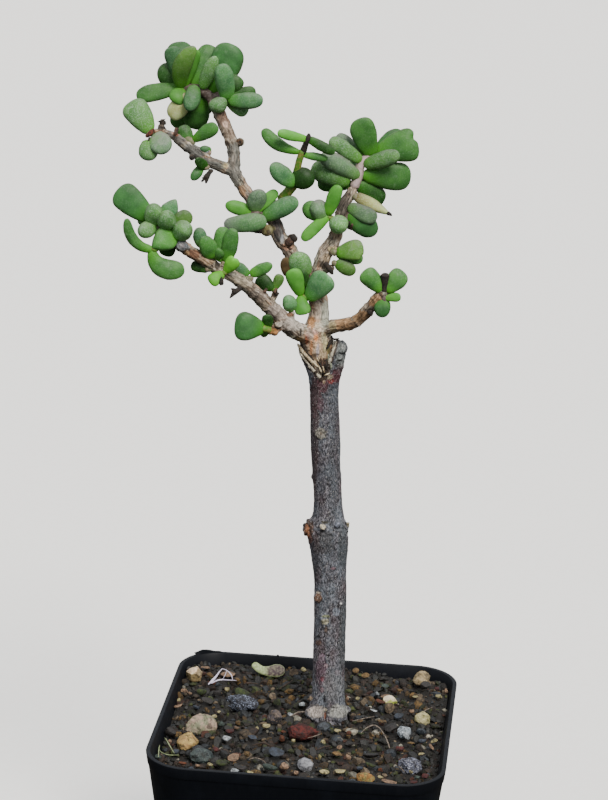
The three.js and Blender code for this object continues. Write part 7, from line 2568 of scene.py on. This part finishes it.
            Leaf((10.2, 115, -5.8), (14.3, 115.5, -7.4), 2.3, FRESH),
            Leaf((10.2, 114.9, -5.6), (9.5, 110, -6.4), 4.1, RICH, BALL, 0.6),
            Leaf((10.2, 116.2, -4.8), (10.6, 119, 0), 4, MATURE),
        ),
        StemLook.SHADED,
    ),
    "back_low_leaves": Shoot(
        (((-12.2, 123.8, 4.4, 2), (-12.2, 123.9, 5, 2)),),
        (Leaf((-12.2, 123.9, 4.6), (-11.6, 125, 9.6), 4.6, MATURE),),
    ),
    "back_middle_leaves": Shoot(
        (((-21.4, 136.8, 6.4, 2), (-20.9, 136.9, 7, 2)),),
        (
            Leaf((-21.4, 136.9, 6.6), (-22, 140.4, 12), 4.4, MATURE),
            Leaf((-21, 136.8, 6.6), (-17.2, 138.1, 11.6), 3.8, BLOOMED),
        ),
    ),
    "back_right_leaves": Shoot(
        (((-2, 134.6, 6, 2), (-1.6, 135, 6.6, 2)),),
        (
            Leaf((-2, 134.7, 6.2), (-2.2, 133.6, 11.6), 4.2, MATURE),
            Leaf((-1.6, 135, 6.4), (3.6, 134, 11.4), 4.2, MOTTLED),
        ),
    ),
    "back_trunk_leaf": Shoot(
        (((-7.2, 116.4, 3.2, 2), (-7.2, 116.5, 3.8, 2)),),
        (Leaf((-7.2, 116.5, 3.4), (-6.4, 118.4, 9), 4.6, MATURE),),
    ),
}


@dataclass
class Foliage:
    """All the leafy shoots, each a piece of its own, with its leaves copied from one blank.

    Attributes:
        sides: How many faces the blank has round it.
        rings: How many rings it has along it.
        across: The blank's outline from above: its half-width at the root, where it is widest and how
            blunt it is.
        through: The same for its outline from the side.
        seed: The seed of the random draw.
        skins: The materials that have been made, by name.
    """

    sides: int = 28
    rings: int = 22
    across: tuple[float, float, float] = (0.42, 0.66, 2.5)
    through: tuple[float, float, float] = (0.5, 0.56, 2.1)
    seed: int = 5
    skins: dict[str, bpy.types.Material] = field(default_factory=dict)

    def bulge(self, share: np.ndarray, root: float, widest: float, blunt: float) -> np.ndarray:
        """Gives the half-width of a leaf's outline at shares of its length.

        Args:
            share: Places along it, from 0 at the root to 1 at the tip.
            root: Its half-width at the root.
            widest: Where it is widest.
            blunt: How blunt the tip is: 2 is an ellipse.

        Returns:
            The half-widths, at most 1.
        """
        before = np.clip(share / widest, 0, 1)
        past = np.clip((share - widest) / (1 - widest), 0, 1)
        rise = root + (1 - root) * np.sin(before * math.pi / 2) ** 1.2
        return np.where(share < widest, rise, (1 - past ** blunt) ** (1 / blunt))

    def blank(self) -> Piece:
        """Models the leaf that all are copied from, drawn out ring by ring from a disc.

        Returns:
            The leaf, one unit long and two wide.
        """
        blank = fresh(bpy.ops.mesh.primitive_circle_add, vertices=self.sides, radius=1.0, fill_type="NGON",
                      rotation=(math.pi / 2, 0, 0))
        bpy.ops.object.transform_apply(location=False, rotation=True, scale=False)
        bpy.ops.object.mode_set(mode="EDIT")
        bpy.ops.mesh.select_all(action="SELECT")
        along, wide, thick = 0.0, 1.0, 1.0
        for ring in range(self.rings):
            share = (1 - math.cos(math.pi * ring / self.rings)) / 2
            across = float(self.bulge(share, *self.across))
            through = float(self.bulge(share, *self.through))
            if ring:
                bpy.ops.mesh.extrude_region_move(TRANSFORM_OT_translate={"value": (0, share - along, 0)})
            bpy.ops.transform.resize(value=(across / wide, 1, through / thick),
                                     center_override=(0, share, 0))
            along, wide, thick = share, across, through
        bpy.ops.mesh.extrude_region_move(TRANSFORM_OT_translate={"value": (0, 1 - along, 0)})
        bpy.ops.mesh.merge(type="CENTER")
        bpy.ops.object.mode_set(mode="OBJECT")
        outward(blank)
        return blank

    def place(self, leaf: Leaf, blank: np.ndarray, draw: random.Random) -> np.ndarray:
        """Carries the blank's points to where a leaf grows, with small faults of its own.

        Args:
            leaf: The leaf.
            blank: The blank's points.
            draw: The random draw.

        Returns:
            The leaf's points in the plant's frame.
        """
        start, end = leaning(leaf.root), leaning(leaf.tip, leaf.root)
        middle = leaning(leaf.via, leaf.root) if leaf.via else (start + end) / 2
        bow = middle * 2 - start / 2 - end / 2
        to_eye = (EYE - middle).normalized()
        x, t, z = blank.T
        first, bent, last = (np.array(v) for v in (start, bow, end))
        along = t[:, None]
        spine = (1 - along) ** 2 * first + 2 * (1 - along) * along * bent + along ** 2 * last
        ahead = 2 * (1 - along) * (bent - first) + 2 * along * (last - bent)
        ahead /= np.linalg.norm(ahead, axis=1)[:, None]
        side = np.cross(ahead, np.array(to_eye))
        side /= np.linalg.norm(side, axis=1)[:, None]
        face = np.cross(side, ahead)
        turn = math.radians(leaf.roll)
        side, face = (way * math.cos(turn) + np.cross(ahead, way) * math.sin(turn) for way in (side, face))
        length = (end - start).length
        root, widest, blunt = leaf.form.value
        plain = np.maximum(self.bulge(t, *self.across), 1e-3)
        own = (root + draw.uniform(-0.04, 0.06), widest + draw.uniform(-0.05, 0.05), blunt)
        x = x * np.minimum(self.bulge(t, *own) / plain, 1.6)
        closing = 0.35 + 0.65 * np.sqrt(np.clip(t / 0.1, 0, 1))
        x, z = x * closing, z * closing
        skew = draw.uniform(-0.07, 0.07) * np.sin(math.pi * t)
        deep, across = leaf.notch
        dent = deep * length * np.exp(-((x - across) / 0.2) ** 2) * np.clip((t - 0.6) / 0.4, 0, 1) ** 2
        curl = draw.uniform(-0.02, 0.06) * length * (t ** 2 - t) * 2
        dish = draw.uniform(-0.04, 0.1) * leaf.wide * x ** 2 * np.sin(math.pi * t)
        points = spine + side * ((x + skew) * leaf.wide / 2)[:, None] - ahead * dent[:, None]
        points += face * (z * leaf.wide * leaf.thick / 2 + curl + dish)[:, None]
        lumps = 0.05 * leaf.wide * leaf.thick * ripple(points, 0.35 * leaf.wide, draw.uniform(0, 50))
        out = side * x[:, None] + face * z[:, None]
        return points + out * (lumps * np.sin(math.pi * np.clip(t, 0, 1)))[:, None]

    def shoot(self, name: str, shoot: Shoot, blank: Piece, draw: random.Random) -> None:
        """Makes one shoot and settles it.

        Args:
            name: The name of its solid.
            shoot: What grows on it.
            blank: The leaf that all are copied from.
            draw: The random draw.
        """
        shape = points_of(blank)
        edge = np.abs(shape[:, 0]) / np.maximum(self.bulge(shape[:, 1], *self.across), 0.05)
        parts = []
        for leaf in shoot.leaves:
            made = added(name, blank.data.copy())
            put_points(made, self.place(leaf, shape, draw))
            put_values(made, "along", shape[:, 1])
            # The tone is partly the leaf's own and partly painted light and shade, lighter or darker for how
            # the leaf is lit in the crown.
            put_values(made, "tone", np.full(len(shape), leaf.tone * draw.uniform(0.92, 1.08)))
            put_values(made, "sky", np.clip(normals_of(made)[:, 2], 0, 1))
            put_values(made, "edge", edge)
            made.data.materials.append(self.skin(leaf.look))
            parts.append(made)
        for stations in shoot.stems:
            stem = GrownLine.through(stations).body(12)
            points, normals = points_of(stem), normals_of(stem)
            knuckles = 0.1 * ripple(points, 1.1, 3.0)
            put_points(stem, points + normals * knuckles[:, None])
            stem.data.materials.append(self.skin(shoot.age))
            parts.append(stem)
        settle(joined(parts), name, "leaf_skin", (), [name], on_plant=True)

    def skin(self, look: Union[Leafage, StemLook]) -> bpy.types.Material:
        """Gives the material of a look, which is made once.

        Args:
            look: The look of a leaf or a stem.

        Returns:
            Its material.
        """
        if look.value.name not in self.skins:
            self.skins[look.value.name] = look.value.material()
        return self.skins[look.value.name]

    def build(self) -> None:
        """Makes all the shoots."""
        draw = random.Random(self.seed)
        blank = self.blank()
        for name, shoot in SHOOTS.items():
            self.shoot(name, shoot, blank, draw)
        bpy.data.objects.remove(blank)


# Surroundings

@dataclass
class Studio:
    """Plain pale floor, soft light and the camera at the photograph's angle.

    Attributes:
        eye: Where the camera is, in the pot's frame.
        azimuth: How far round to the right it is, in degrees.
        elevation: How far down it looks, in degrees.
        roll: How far it is turned about its line of sight, in degrees.
        lens: Its focal length.
        sensor: The width of its sensor.
        dome: The strength of the dome.
        key: The strength of the key.
    """

    eye: Place = (56.50, -612.18, 353.69)
    azimuth: float = VIEW_TURN
    elevation: float = 17.303
    roll: float = 1.865
    lens: float = 115.18
    sensor: float = 36.0
    dome: float = 1.35
    key: float = 4.2

    def camera(self) -> None:
        """Sets the camera."""
        camera = added("camera", bpy.data.cameras.new("camera"))
        camera.data.lens = self.lens
        camera.data.sensor_width = self.sensor
        camera.data.clip_start = 0.01
        turn, rise, roll = (math.radians(a) for a in (self.azimuth, self.elevation, self.roll))
        back = Vector((math.sin(turn) * math.cos(rise), -math.cos(turn) * math.cos(rise), math.sin(rise)))
        level = (-back).cross(Vector((0, 0, 1))).normalized()
        upright = level.cross(-back)
        right = level * math.cos(roll) + upright * math.sin(roll)
        up = upright * math.cos(roll) - level * math.sin(roll)
        camera.matrix_world = Matrix.Translation(Vector(self.eye) * MM) @ Matrix(
            (right, up, back)).transposed().to_4x4()
        bpy.context.scene.camera = camera

    def floor(self) -> None:
        """Lays the floor."""
        floor = fresh(bpy.ops.mesh.primitive_plane_add, size=12.0)
        floor.name = "floor"
        paper = Skin("pale_matte_paper")
        tooth = paper.add("TexNoise", {"Vector": paper.place, "Scale": 1 / 3.0, "Detail": 3.0})
        tone = paper.tinted(linear("#f3f2ef"), tooth, linear("#f8f7f5"))
        floor.data.materials.append(paper.finished(Base_Color=tone, Roughness=0.95))
        # The floor doesn't light the pot from below or show in its gloss, as if black card lay round the pot.
        floor.visible_diffuse = False
        floor.visible_glossy = False

    def lights(self) -> None:
        """Sets a soft key from above on the right and a cool dome that is brightest overhead."""
        world = bpy.data.worlds.new("surround")
        bpy.context.scene.world = world
        world.use_nodes = True
        tree = world.node_tree
        way = add_node(tree, "TexCoord").outputs["Generated"]
        height = add_node(tree, "SeparateXYZ", {"Vector": way}).outputs["Z"]
        share = add_node(tree, "MapRange", {"Value": height, "From Min": -1.0, "From Max": 1.0})
        dome = add_node(tree, "ValToRGB", {"Fac": share})
        colour_stops(dome, ((0.0, "#38352f"), (0.45, "#4f4d48"), (0.56, "#b4bac2"), (1.0, "#ffffff")))
        fill(tree, tree.nodes["Background"], {"Color": dome, "Strength": self.dome})
        key = added("key", bpy.data.lights.new("key", "SUN"))
        key.data.energy = self.key
        key.data.angle = math.radians(22)
        key.data.color = linear("#fffaf2")[:3]
        key.rotation_euler = (math.radians(40), math.radians(16), math.radians(12))

    def build(self) -> None:
        """Sets up the surroundings."""
        self.camera()
        self.floor()
        self.lights()


def main() -> None:
    """Builds the plant, its pot and its surroundings."""
    logging.basicConfig(level=logging.INFO, format="%(message)s")
    for builder in (Studio, NurseryPot, SoilBed, LooseStones, Litter, Rootstock, ScionWood, DeadBits,
                    Foliage):
        builder().build()
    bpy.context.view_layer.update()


if __name__ == "__main__":
    main()
